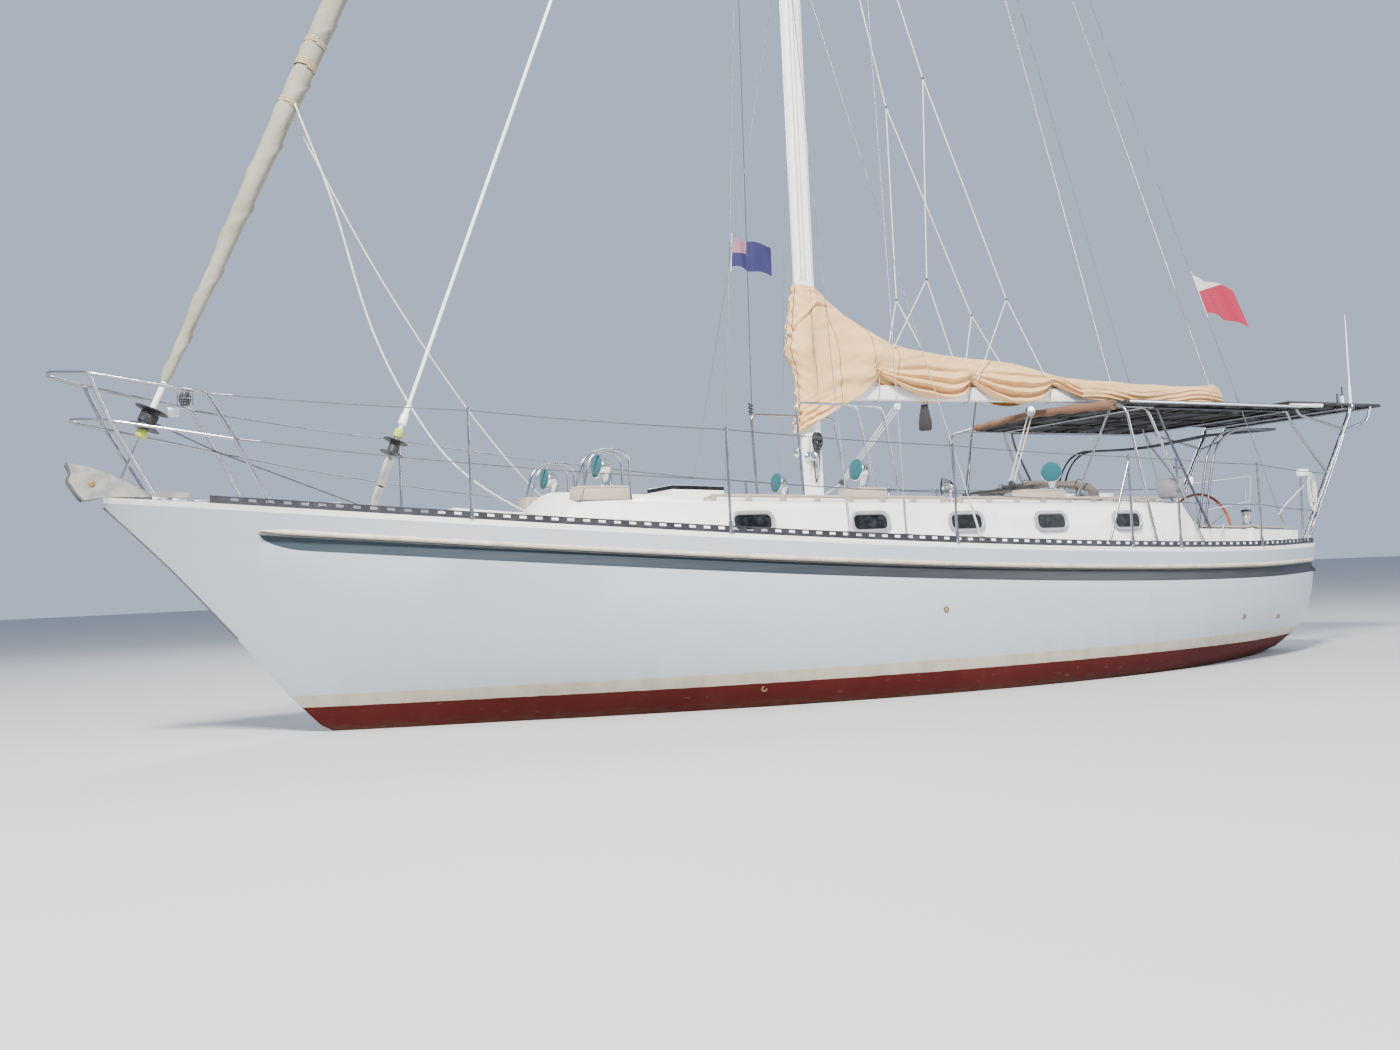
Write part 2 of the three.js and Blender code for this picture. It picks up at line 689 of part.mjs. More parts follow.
const PULPIT_TUBE = 13;
const onDeck = (x, y, sink = 20) => point(x, y, deckTop(x, y) - sink);
const pulpitSide = (side) => {
  const upper = [
    onDeck(5290, 545),
    point(5560, 533, 2433),
    point(5767, 502, 2804),
    point(6599, 351, 2956),
    point(6870, 110, 2990),
    point(6885, -5, 2990),
  ];
  const leg = [onDeck(6110, 215), point(6450, 297, 2594), point(6599, 351, 2956)];
  const middle = [
    point(5560, 533, 2433),
    point(6450, 297, 2594),
    point(6715, 90, 2625),
    point(6728, -5, 2625),
  ];
  return [upper, leg, middle].map((corners) =>
    tube(corners.map((p) => mirrored(p, side)), PULPIT_TUBE, 6, 60),
  );
};
piece("pulpit", seated(...pulpitSide(1), ...pulpitSide(-1)), "steel");

// Bow roller on the stem head

const ROLLER = { x: 6660, z: 2080, radius: 48 };
const CHEEK_OUTLINE = [
  [5860, 2000],
  [6520, 2012],
  [6600, 1990],
  [6654, 1990],
  [6756, 2148],
  [6731, 2211],
  [6765, 2284],
  [6622, 2258],
  [6431, 2189],
  [6254, 2088],
  [6170, 2052],
  [5900, 2046],
];
const cheek = (y) => sidePlate(CHEEK_OUTLINE, y - 4, y + 4);
const rollerPin = rod(point(ROLLER.x, 90, ROLLER.z), point(ROLLER.x, -90, ROLLER.z), 8);
const rollerFloor = sidePlate([[5860, 2000], [6560, 2015], [6560, 2021], [5860, 2040]], -90, 90);
piece(
  "bow_roller",
  cut(join(cheek(88), cheek(-88), rollerFloor, rollerPin), deckRaised),
  "iron",
);
const sheaveProfile = [[0, 48], [12, 48], [40, 30], [120, 30], [148, 48], [160, 48]];
piece(
  "bow_roller_sheave",
  cut(
    turned(point(ROLLER.x, -80, ROLLER.z), point(ROLLER.x, 80, ROLLER.z), sheaveProfile, 16),
    rod(point(ROLLER.x, -95, ROLLER.z), point(ROLLER.x, 95, ROLLER.z), 8.7, 16),
  ),
  "black",
);

// Mast with its crane, spreaders and rigging

const mastRing = roundedRect(MAST_CHORD, MAST_WIDTH, 55, 2);
const mastBody = slab(mastRing, 1880, MASTHEAD_Z).translate(MAST_X, 0, 0);
const MAST_FRONT = MAST_X + MAST_CHORD / 2;
const MAST_BACK = MAST_X - MAST_CHORD / 2;
const crane = box([-480, 10], [-40, 40], [MASTHEAD_Z - 90, MASTHEAD_Z + 20]);
const stepCollar = slab(roundedRect(330, 260, 60, 2), 1880, 1955).translate(MAST_X, 0, 0);
const mastClear = slab(
  roundedRect(MAST_CHORD + 2 * GAP, MAST_WIDTH + 2 * GAP, 55, 2),
  1000,
  18000,
).translate(MAST_X, 0, 0);

function spreaders(z, reach) {
  const ring = roundedRect(MAST_CHORD + 24, MAST_WIDTH + 24, 60, 2);
  const collar = slab(ring, z - 60, z + 60).translate(MAST_X, 0, 0);
  const plan = [[-170, 60], [-270, 60], [-300, reach], [-250, reach]];
  const arm = (side) => slab(plan.map(([x, y]) => [x, y * side]), z - 16, z + 16);
  return cut(join(collar, arm(1), arm(-1)), mastClear);
}
piece("lower_spreaders", spreaders(LOWER_SPREADER_Z, LOWER_SPREADER_REACH), "spar");
piece("upper_spreaders", spreaders(UPPER_SPREADER_Z, UPPER_SPREADER_REACH), "spar");

// A shroud that ends a running gap off the mast and is seated on the deck.
const CHAINPLATES = { fore: 490, cap: -75, aft: -890 };
const chainplate = (x, side) => {
  const y = (lines(x, "half") - 150) * side;
  return point(x, y, deckTop(x, y));
};
function shroud(x, side, ...via) {
  const foot = chainplate(x, side);
  const corners = [foot.clone().add(point(0, 0, 20)), ...via];
  const turnbuckle = corners[0].clone().lerp(corners[1], 360 / corners[0].distanceTo(corners[1]));
  const plate = box([x - 30, x + 30], [foot.y - 5, foot.y + 5], [foot.z - 40, foot.z + 70]);
  return seated(tube(corners, WIRE, 6, 0), rod(corners[0], turnbuckle, 11, 6), plate);
}
for (const { side, word } of SIDES) {
  const hound = (x, z) => point(x, (MAST_WIDTH / 2 + GAP + WIRE) * side, z);
  const tip = (reach, z, lean) => point(-275, (reach + WIRE + GAP + lean) * side, z);
  piece(
    `cap_shroud_${word}`,
    shroud(
      CHAINPLATES.cap,
      side,
      tip(LOWER_SPREADER_REACH, LOWER_SPREADER_Z, 1.4),
      tip(UPPER_SPREADER_REACH, UPPER_SPREADER_Z, 3),
      hound(MAST_X, MASTHEAD_Z - 60),
    ),
    "steel",
  );
  const lowerTop = LOWER_SPREADER_Z - 90;
  piece(`fore_lower_shroud_${word}`, shroud(CHAINPLATES.fore, side, hound(-160, lowerTop)), "steel");
  piece(`aft_lower_shroud_${word}`, shroud(CHAINPLATES.aft, side, hound(-270, lowerTop)), "steel");
  const backstayFoot = point(-6400, 860 * side, deckTop(-6400, 860));
  const backstayTop = point(-480 - WIRE - GAP, 22 * side, MASTHEAD_Z - 20);
  piece(
    `backstay_${word}`,
    seated(
      tube([backstayFoot.clone().add(point(0, 0, 15)), backstayTop], WIRE, 6, 0),
      rod(backstayFoot.clone().add(point(0, 0, 15)), backstayFoot.clone().lerp(backstayTop, 0.025), 11, 6),
      box(
        [-6430, -6370],
        [backstayFoot.y - 5, backstayFoot.y + 5],
        [backstayFoot.z - 40, backstayFoot.z + 60],
      ),
    ),
    "steel",
  );
}

// Furled headsails, each on its own stay and turning about it

function onStay(stay, share) {
  return stay.from.clone().lerp(stay.to, share);
}
const stayLength = (stay) => stay.from.distanceTo(stay.to);

const GENOA_STAY = { from: point(6400, 0, 2075), to: point(2, 0, MASTHEAD_Z - 20) };
const STAYSAIL_STAY = { from: point(4380, 0, 1845), to: point(MAST_FRONT - 4, 0, 13450) };

// Rolled sail: distance along the stay from its foot, radius of the roll
const GENOA_ROLL = [
  [960, 30], [1000, 42], [1500, 52], [2600, 78], [4200, 98], [6500, 102], [9000, 92], [11500, 72],
  [13600, 48], [14600, 30],
];
const GENOA_DRUM = [[540, 40], [550, 92], [566, 92], [570, 62], [690, 62], [694, 92], [710, 92], [722, 40]];
const STAYSAIL_DRUM = [
  [560, 30],
  [568, 74],
  [582, 74],
  [586, 48],
  [676, 48],
  [680, 74],
  [694, 74],
  [704, 30],
];
const STAYSAIL_SWIVEL = [[840, 22], [850, 38], [930, 38], [960, 26], [1010, 26], [1020, 20]];

function alongStay(stay, rows, sides = 12) {
  return turned(stay.from, stay.to, rows, sides);
}
function bareStay(stay, start, end, radius, sides = 8) {
  return rod(onStay(stay, start / stayLength(stay)), onStay(stay, end / stayLength(stay)), radius, sides);
}
piece(
  "genoa_roll",
  join(alongStay(GENOA_STAY, GENOA_ROLL, 14), bareStay(GENOA_STAY, 722.5, 970, 24)),
  "sail",
);
piece("genoa_drum", alongStay(GENOA_STAY, GENOA_DRUM, 16), "black");
piece(
  "staysail_foil",
  join(
    bareStay(STAYSAIL_STAY, 704.5, stayLength(STAYSAIL_STAY) - 260, 17),
    alongStay(STAYSAIL_STAY, STAYSAIL_SWIVEL, 12),
  ),
  "spar",
);
piece("staysail_drum", alongStay(STAYSAIL_STAY, STAYSAIL_DRUM, 14), "black");

// The forestay's end fittings, which stay still while the rolls turn
function stayEnds(stay, footEnd, headStart, plateHalf) {
  const plate = sidePlate([[-34, -60], [34, -60], [20, 110], [-20, 110]], -plateHalf, plateHalf);
  const foot = join(
    bareStay(stay, 60, footEnd, 9),
    bareStay(stay, 120, 380, 15),
    plate.translate(stay.from.x, 0, stay.from.z),
  );
  return { foot, head: bareStay(stay, headStart, stayLength(stay), 7) };
}
const genoaEnds = stayEnds(GENOA_STAY, 539.5, 14600.5, 7);
const staysailEnds = stayEnds(STAYSAIL_STAY, 559.5, stayLength(STAYSAIL_STAY) - 259.5, 7);
const rollerTop = sidePlate([[5860, 1900], [6560, 1900], [6560, 2021 + GAP], [5860, 2040 + GAP]], -95, 95);
piece("genoa_tack_fitting", cut(genoaEnds.foot, rollerTop), "steel");
piece("staysail_tack_fitting", seated(staysailEnds.foot), "steel");
piece("mast", seated(mastBody, crane, stepCollar, genoaEnds.head, staysailEnds.head), "spar");

// Boom, lying a little to port, with its gooseneck, the covered mainsail and a rope bag

const boomGroup = new THREE.Group();
boomGroup.position.set(BOOM_PIVOT_X, 0, BOOM_Z);
boomGroup.rotation.z = -THREE.MathUtils.degToRad(BOOM_REST_DEG);
yacht.add(boomGroup);

// A body along the boom through rings given by distance abaft the pin, half width, bottom and top.
function alongBoom(rows, corner = 0.4) {
  return loft(
    rows.map(({ at, half, low, high }) => {
      const outline = roundedRect(2 * half, high - low, Math.min(half, (high - low) / 2) * corner, 2);
      return outline.map(([y, z]) => point(-at, y, z + (high + low) / 2));
    }),
  );
}
const BOOM_ROWS = [0, 1].map((end) => ({
  at: end ? BOOM_LENGTH : 60,
  half: BOOM_WIDTH / 2,
  low: -BOOM_HEIGHT / 2,
  high: BOOM_HEIGHT / 2,
}));
const pinLug = box([-70, 0], [-9, 9], [-22, 22]);
const pinBarrel = rod(point(0, 0, -22), point(0, 0, 22), 20, 12);
const pinHole = rod(point(0, 0, -60), point(0, 0, 60), 10.2, 16);
piece("boom", cut(join(alongBoom(BOOM_ROWS), pinLug, pinBarrel), pinHole), "spar", boomGroup);

const COVER_ROWS = [
  { at: 88, half: 60, low: 84, high: 900 },
  { at: 150, half: 112, low: 80.3, high: 900 },
  { at: 420, half: 135, low: 80.3, high: 690 },
  { at: 750, half: 150, low: 80.3, high: 530 },
  { at: 1300, half: 160, low: 80.3, high: 430 },
  { at: 2300, half: 165, low: 80.3, high: 370 },
  { at: 3400, half: 165, low: 80.3, high: 290 },
  { at: 4500, half: 150, low: 80.3, high: 220 },
  { at: 5150, half: 110, low: 80.3, high: 185 },
];
piece("sail_cover", alongBoom(COVER_ROWS, 0.9), "canvas", boomGroup);
// Gooseneck bracket on the mast, with the pin that the boom swings on
const gooseneck = cut(
  join(
    box([MAST_BACK - 14, MAST_BACK + 40], [-45, 45], [BOOM_Z - 120, BOOM_Z + 120]),
    box([BOOM_PIVOT_X - 24, MAST_BACK], [-24, 24], [BOOM_Z + 26, BOOM_Z + 46]),
    box([BOOM_PIVOT_X - 24, MAST_BACK], [-24, 24], [BOOM_Z - 46, BOOM_Z - 26]),
    rod(point(BOOM_PIVOT_X, 0, BOOM_Z - 50), point(BOOM_PIVOT_X, 0, BOOM_Z + 50), 9.5, 12),
  ),
  mastClear,
);
piece("gooseneck", gooseneck, "steel");

// The cover's boot round the mast, from below the boom to above the sail's head
const BOOT = [
  { z: 2620, front: 60, side: 40, back: 20 },
  { z: 2900, front: 62, side: 42, back: 22 },
  { z: 3220, front: 62, side: 42, back: 45 },
  { z: 4020, front: 60, side: 42, back: 45 },
  { z: 4175, front: 22, side: 20, back: 20 },
];
const boot = loft(
  BOOT.map(({ z, front, side, back }) => {
    const ring = roundedRect(MAST_CHORD + front + back, MAST_WIDTH + 2 * side, 90, 3);
    return ring.map(([x, y]) => point(MAST_X + (front - back) / 2 + x, y, z));
  }),
);
piece(
  "mast_boot",
  cut(boot, mastClear, box([-700, MAST_X - 20], [-50, 50], [BOOM_Z - 125, BOOM_Z + 125])),
  "canvas",
);

// Steering: wheel on its pedestal, rudder and skeg

const pedestalFoot = point(WHEEL_X + 170, 0, WELL_SOLE_Z + GAP);
piece(
  "steering_pedestal",
  cut(
    join(
      turned(pedestalFoot, pedestalFoot.clone().add(point(0, 0, 1000)), [
        [0, 150], [30, 150], [60, 100], [560, 80], [760, 105], [860, 105], [900, 85], [930, 40],
      ], 14),
      rod(point(WHEEL_X - 40, 0, WHEEL_Z), point(WHEEL_X + 170, 0, WHEEL_Z), 14, 12),
    ),
    box([-7000, 0], [-1000, 1000], [0, WELL_SOLE_Z + GAP]),
  ),
  "gelcoat",
);
const wheelGroup = new THREE.Group();
wheelGroup.position.set(WHEEL_X, 0, WHEEL_Z);
yacht.add(wheelGroup);
const spokes = [0, 60, 120, 180, 240, 300].map((turn) => {
  const angle = THREE.MathUtils.degToRad(turn);
  const end = point(0, Math.sin(angle), Math.cos(angle)).multiplyScalar(WHEEL_RADIUS - 8);
  return rod(point(0, 0, 0), end, 8, 6);
});
const rim = new THREE.TorusGeometry(WHEEL_RADIUS - 16, 16, 6, 30).rotateY(Math.PI / 2);
const hubBore = rod(point(-60, 0, 0), point(60, 0, 0), 14.6, 16);
piece(
  "steering_wheel",
  cut(join(rim, ...spokes, rod(point(-30, 0, 0), point(30, 0, 0), 48, 14)), hubBore),
  "rim",
  wheelGroup,
);

// A foil section in plan: leading edge, trailing edge and thickness at one height.
function foilRing(lead, trail, half, z) {
  const chord = lead - trail;
  const port = [[0.06, 0.55], [0.18, 0.9], [0.36, 1], [0.62, 0.78], [0.86, 0.33]].map(([at, thick]) =>
    point(lead - chord * at, half * thick, z),
  );
  const starboard = port.slice().reverse().map((p) => mirrored(p, -1));
  return [point(lead, 0, z), ...port, point(trail, 4, z), point(trail, -4, z), ...starboard];
}
const belowHull = (shape) => cut(shape, hullBody.translate([0, 0, -GAP]));
const KEEL_FIN = [
  { lead: 1480, trail: -1250, half: 130, z: -420 },
  { lead: 1280, trail: -1130, half: 115, z: -700 },
  { lead: 850, trail: -1020, half: 120, z: -1500 },
  { lead: 640, trail: -1050, half: 175, z: -1800 },
  { lead: 480, trail: -900, half: 110, z: -KEEL_DEPTH },
];
const keelRings = KEEL_FIN.map(({ lead, trail, half, z }) => foilRing(lead, trail, half, z));
piece("ballast_keel", belowHull(loft(keelRings)), "redPaint");

const skegRings = [
  { lead: -4980, trail: RUDDER_STOCK_X + 62, half: 55, z: -60 },
  { lead: -5120, trail: RUDDER_STOCK_X + 62, half: 52, z: -450 },
  { lead: -5380, trail: RUDDER_STOCK_X + 62, half: 48, z: -1120 },
].map(({ lead, trail, half, z }) => [
  point(lead, 0, z),
  point(lead - 70, half * 0.7, z),
  point((lead + trail) / 2, half, z),
  point(trail, half, z),
  point(trail, -half, z),
  point((lead + trail) / 2, -half, z),
  point(lead - 70, -half * 0.7, z),
]);
const rudderRing = (trail, half, z) => [
  point(RUDDER_STOCK_X + 44, 0, z),
  point(RUDDER_STOCK_X + 34, half * 0.6, z),
  point(RUDDER_STOCK_X, half, z),
  point(RUDDER_STOCK_X - 200, half * 0.75, z),
  point(trail, 5, z),
  point(trail, -5, z),
  point(RUDDER_STOCK_X - 200, -half * 0.75, z),
  point(RUDDER_STOCK_X, -half, z),
  point(RUDDER_STOCK_X + 34, -half * 0.6, z),
];
const heel = box([RUDDER_STOCK_X - 40, RUDDER_STOCK_X + 200], [-40, 40], [-1122, -1070]);
piece("rudder_skeg", belowHull(join(loft(skegRings), heel)), "redPaint");
piece(
  "rudder",
  join(
    loft([
      rudderRing(-6330, 44, -190),
      rudderRing(-6350, 44, -600),
      rudderRing(-6280, 42, -1040),
    ]),
    rod(point(RUDDER_STOCK_X, 0, -200), point(RUDDER_STOCK_X, 0, 660), STOCK_RADIUS, 24),
  ),
  "redPaint",
);

// Propeller with its shaft, the bracket that carries it, and the engine

const shaftAxis = shaftAt(PROP_X + 100).sub(shaftAt(PROP_X)).normalize();
const blades = [0, 120, 240].map((turn) => {
  const blade = new THREE.SphereGeometry(1, 8, 6).scale(14, 62, 118).rotateZ(THREE.MathUtils.degToRad(38));
  blade.translate(0, 0, 120);
  blade.rotateX(THREE.MathUtils.degToRad(turn));
  blade.rotateY(-Math.atan(SHAFT_SLOPE));
  return blade.translate(PROP_X, 0, PROP_Z);
});
const HUB_PROFILE = [[0, 12], [25, 36], [60, 42], [145, 42], [160, 30]];
const propHub = turned(shaftAt(PROP_X - 85), shaftAt(PROP_X), HUB_PROFILE, 12);
piece(
  "propeller",
  join(propHub, ...blades, rod(shaftAt(PROP_X), shaftAt(-3135), SHAFT_RADIUS, 12)),
  "bronze",
);
const bracketX = -4560;
const bracketAt = shaftAt(bracketX);
piece(
  "shaft_bracket",
  belowHull(
    cut(
      join(
        rod(shaftAt(bracketX - 70), shaftAt(bracketX + 70), 34, 12),
        box([bracketX - 45, bracketX + 45], [-9, 9], [bracketAt.z + 20, -150]),
      ),
      rod(shaftAt(bracketX - 120), shaftAt(bracketX + 120), SHAFT_RADIUS + 1.2, 16),
    ),
  ),
  "bronze",
);
piece(
  "engine",
  join(
    box([-3000, -2250], [-240, 240], [-340 + GAP, 120]),
    box([-3128, -2990], [-110, 110], [-340 + GAP, -150]),
  ),
  "grey",
);

// Dorade boxes with their cowls on the cabin roof

function dorade(spec, side) {
  const { x, y, length, cowl } = spec;
  const roof = roofTop(x, y);
  const body = box([x - length / 2, x + length / 2], [y - 95, y + 95], [roof - 80, roof + 105]);
  const stem = [point(cowl, y, roof + 90), point(cowl, y, roof + 225), point(cowl + 62, y, roof + 268)];
  const mouth = point(cowl + 60, y, roof + 266);
  const rows = [[0, 52], [40, 82], [52, 86], [52, 76], [22, 40]];
  const horn = turned(mouth, mouth.clone().add(point(1, 0, 0.25)), rows, 14);
  return seated(...[body, tube(stem, 46, 8, 90), horn].map((shape) => asSolid(shape).scale([1, side, 1])));
}
for (const spec of DORADES) {
  for (const { side, word } of SIDES) piece(`${spec.name}_dorade_${word}`, dorade(spec, side), "teak");
}

// Rails beside the mast

const GRANNY_TUBE = 13;
for (const { side, word } of SIDES) {
  const y = 450 * side;
  const fore = [
    onRoof(190, y),
    point(230, y, 2862),
    point(-390, y, 2850),
    point(-490, y, 2830),
    onRoof(-710, y),
  ];
  const aft = [point(-380, y, 2850), point(-810, y, 2838), onRoof(-980, y)];
  piece(`mast_rail_${word}`, seated(tube(fore, GRANNY_TUBE), tube(aft, GRANNY_TUBE)), "steel");
}

// Folded sprayhood, lying over the companionway's slide

const hoodHalf = [[-3200, 960, 1800], [-3165, 925, 1945], [-3120, 500, 2030], [-3100, 0, 2052]];
const hoodPath = [...hoodHalf, ...hoodHalf.slice(0, -1).reverse().map(([x, y, z]) => [x, -y, z])];
piece("folded_sprayhood", seated(tube(hoodPath.map((p) => point(...p)), 50, 8, 120)), "canvas");

// Solar roof over the cockpit on its tube frame

const FRAME_TUBE = 14;
const ROOF_HALF = 1300;
const ROOF_SPAN = [-6200, -3430];
const backstayAt = (z) => point(-6400 + (z - 1290) * 0.38, 860 - (z - 1290) * 0.054, z);
const roofSlots = [1, -1].map((side) => {
  const { x, y } = backstayAt(ROOF_Z);
  const spanY = [y - 32, y + 32].map((value) => value * side).sort((a, b) => a - b);
  return box([ROOF_SPAN[0] - 10, x + 55], spanY, [ROOF_Z - 60, ROOF_Z + 100]);
});
const roofBox = box(ROOF_SPAN, [-ROOF_HALF, ROOF_HALF], [ROOF_Z, ROOF_Z + ROOF_THICKNESS]);
piece("solar_roof", cut(roofBox, ...roofSlots), "solar");
const underRoof = box([-6800, -3429], [-1600, 1600], [ROOF_Z - GAP, ROOF_Z + 400]);
const RAIL_Y = 1150;
const RAIL_Z = ROOF_Z - 12;
const frameSide = (side) => {
  const at = (x, y, z) => point(x, y * side, z);
  const foot = (x, y) => onDeck(x, y * side);
  const frontBow = [
    foot(-3430, 1580),
    at(-3200, 1450, 2790),
    at(-3215, 700, 2850),
    at(-3220, -5, 2862),
  ];
  const secondBow = [
    foot(-4540, 1225),
    at(-3860, 1175, 2700),
    at(-3820, 1145, RAIL_Z),
    at(-3820, -5, RAIL_Z),
  ];
  const sideRail = [at(-3205, RAIL_Y, 2812), at(-3500, RAIL_Y, RAIL_Z), at(-6120, RAIL_Y, RAIL_Z)];
  return [
    tube(frontBow, FRAME_TUBE, 6, 130),
    tube(secondBow, FRAME_TUBE, 6, 50),
    tube(sideRail, FRAME_TUBE, 6, 60),
    tube([at(-6100, RAIL_Y + 10, RAIL_Z), at(-6100, -5, RAIL_Z)], FRAME_TUBE, 6, 0),
    tube([at(-3300, RAIL_Y, 2806), onRoof(-2960, 900 * side)], 11, 6, 0),
  ];
};
piece("roof_frame", cut(seated(...frameSide(1), ...frameSide(-1)), underRoof), "steel");

// Stern arch with its panel

const ARCH_TUBE = 19;
const ARCH_Y = 1090;
const ARCH_SPAN = [-7950, -6260];
const CROSSBAR_Z = ARCH_PANEL_Z - 14;
const archSide = (side) => {
  const at = (x, z, y = ARCH_Y) => point(x, y * side, z);
  const crossbar = (x) => tube([at(x, CROSSBAR_Z), at(x, CROSSBAR_Z, -5)], ARCH_TUBE, 6, 0);
  const mainLeg = [
    onDeck(-6310, ARCH_Y * side),
    at(-7300, 2790),
    at(-7340, CROSSBAR_Z),
    at(-7340, CROSSBAR_Z, 900),
  ];
  return [
    tube(mainLeg, ARCH_TUBE, 6, 90),
    tube([onDeck(-6395, ARCH_Y * side), at(-7150, 2500), at(-7225, 2680)], ARCH_TUBE, 6, 90),
    tube([at(-7190, 2620), at(-6400, 2780), at(-6330, ARCH_PANEL_Z - 10)], ARCH_TUBE - 4, 6, 60),
    tube([at(-7190, 2600), at(-7640, 2730), at(-7720, ARCH_PANEL_Z - 10)], ARCH_TUBE - 4, 6, 60),
    tube([at(-6835, 2090), at(-6260, 2660), at(-6165, ROOF_Z + 20)], ARCH_TUBE - 4, 6, 90),
    ...[-6330, -7340, -7720].map(crossbar),
  ];
};
const underPanel = box([-8100, -6240], [-1300, 1300], [ARCH_PANEL_Z - GAP, ARCH_PANEL_Z + 200]);
piece("stern_arch", cut(seated(...archSide(1), ...archSide(-1)), underPanel, underRoof), "steel");
piece("arch_panel", box(ARCH_SPAN, [-1080, 1080], [ARCH_PANEL_Z, ARCH_PANEL_Z + 38]), "solar");

export default yacht;
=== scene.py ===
"""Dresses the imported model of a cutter-rigged cruising yacht: paint, toe rails, lifelines, ports,
cowls, covers, running rigging, the solar roof, the stern gear, light and camera.

Metres. +X points to the bow, +Y to port, +Z up, with the origin on the centreline at the waterline.
"""

import json
import math
import random

import bmesh
import bpy
from bpy.props import FloatProperty, FloatVectorProperty, PointerProperty
from mathutils import Euler, Matrix, Vector, noise
from mathutils.bvhtree import BVHTree
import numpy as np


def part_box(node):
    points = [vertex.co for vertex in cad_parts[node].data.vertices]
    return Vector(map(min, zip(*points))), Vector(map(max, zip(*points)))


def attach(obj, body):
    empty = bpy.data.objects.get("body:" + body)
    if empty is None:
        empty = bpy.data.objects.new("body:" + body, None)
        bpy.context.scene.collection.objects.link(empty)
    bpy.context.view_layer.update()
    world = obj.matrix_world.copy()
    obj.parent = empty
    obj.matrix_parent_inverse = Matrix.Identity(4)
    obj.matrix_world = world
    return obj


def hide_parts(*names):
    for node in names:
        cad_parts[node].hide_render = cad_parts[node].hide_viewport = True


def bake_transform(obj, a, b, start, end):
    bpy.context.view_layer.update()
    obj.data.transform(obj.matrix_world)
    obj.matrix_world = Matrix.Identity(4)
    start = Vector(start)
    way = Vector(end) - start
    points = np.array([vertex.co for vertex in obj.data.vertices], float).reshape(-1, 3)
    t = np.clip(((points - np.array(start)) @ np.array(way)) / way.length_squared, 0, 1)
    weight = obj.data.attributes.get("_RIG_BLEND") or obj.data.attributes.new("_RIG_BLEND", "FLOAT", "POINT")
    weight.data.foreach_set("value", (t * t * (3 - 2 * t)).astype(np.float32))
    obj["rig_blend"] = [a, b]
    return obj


bl_info = {
    "name": "Sailing yacht dressing",
    "version": (1, 0, 0),
    "blender": (4, 5, 0),
    "location": "View3D > Sidebar > Yacht",
    "description": "Builds the visible detail of a cruising yacht on its packed model",
    "category": "Object",
}

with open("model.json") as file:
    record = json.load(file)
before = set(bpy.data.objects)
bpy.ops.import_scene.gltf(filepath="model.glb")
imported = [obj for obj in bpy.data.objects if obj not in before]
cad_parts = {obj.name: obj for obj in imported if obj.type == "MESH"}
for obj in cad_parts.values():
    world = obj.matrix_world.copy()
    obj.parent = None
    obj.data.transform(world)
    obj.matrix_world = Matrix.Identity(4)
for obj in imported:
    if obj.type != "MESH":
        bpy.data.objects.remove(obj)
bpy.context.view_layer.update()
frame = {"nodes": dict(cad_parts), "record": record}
YACHT = "yacht"
SIDES = ((1, "port"), (-1, "starboard"))

# Deck edge of one side, stem to stern: x, half breadth and height, as in the part's table
DECK_EDGE = [
    (6.5, 0.070, 2.012),
    (6.0, 0.318, 1.958),
    (5.4, 0.568, 1.893),
    (4.86, 0.765, 1.835),
    (4.2, 0.985, 1.767),
    (3.5, 1.185, 1.698),
    (2.5, 1.440, 1.607),
    (1.0, 1.733, 1.483),
    (-0.5, 1.932, 1.380),
    (-2.0, 2.015, 1.302),
    (-3.5, 1.952, 1.252),
    (-5.0, 1.690, 1.234),
    (-6.45, 1.160, 1.254),
]
STANCHION_X = (3.812, 1.677, -0.515, -2.638, -3.349, -4.847)
STANCHION_HEIGHT = 0.9
PORTS = ((1.177, 0.38), (0.003, 0.37), (-1.06, 0.37), (-2.109, 0.38), (-3.19, 0.40))
PORT_HEIGHT = 0.165
PORT_DROP = 0.165
# Camera: place, yaw, pitch and roll, and the focal length in pixels of a frame 1400 wide
CAMERA_PLACE = (7.1359, 11.3578, 1.1610)
CAMERA_TURN = (0.4862, 0.0408, -0.0447)
CAMERA_FOCUS, FRAME_WIDTH = 1300.64, 1400


# Settings that a user may change


class YachtPaint(bpy.types.PropertyGroup):
    """Colours of the hull, the deck and the cloth"""

    # White gelcoat; the default's blue tint is painted sky light
    topsides: FloatVectorProperty(
        name="Topsides", description="Gelcoat of the hull", subtype="COLOR", default=(0.40, 0.435, 0.475)
    )
    boot_top: FloatVectorProperty(
        name="Boot top", description="Band above the antifouling", subtype="COLOR",
        default=(0.40, 0.365, 0.285)
    )
    antifouling: FloatVectorProperty(
        name="Antifouling", description="Paint below the boot top", subtype="COLOR",
        default=(0.060, 0.0035, 0.003)
    )
    antifouling_top: FloatProperty(
        name="Antifouling top", description="Height of the red paint", default=0.225, unit="LENGTH"
    )
    boot_height: FloatProperty(
        name="Boot top height", description="Height of the cream band", default=0.105, unit="LENGTH"
    )
    gelcoat: FloatVectorProperty(
        name="Deck", description="Gelcoat of deck and cabin", subtype="COLOR", default=(0.82, 0.81, 0.77)
    )
    canvas: FloatVectorProperty(
        name="Sail cover", description="Acrylic canvas of the covers", subtype="COLOR",
        default=(0.72, 0.445, 0.20)
    )
    headsail: FloatVectorProperty(
        name="Headsail sleeve", description="Weathered cloth round the genoa", subtype="COLOR",
        default=(0.25, 0.24, 0.19)
    )
    cowl_cover: FloatVectorProperty(
        name="Cowl cover", description="Cloth over the cowls' mouths", subtype="COLOR",
        default=(0.003, 0.085, 0.10)
    )
    teak: FloatVectorProperty(
        name="Teak", description="Weathered bare wood", subtype="COLOR", default=(0.36, 0.29, 0.22)
    )


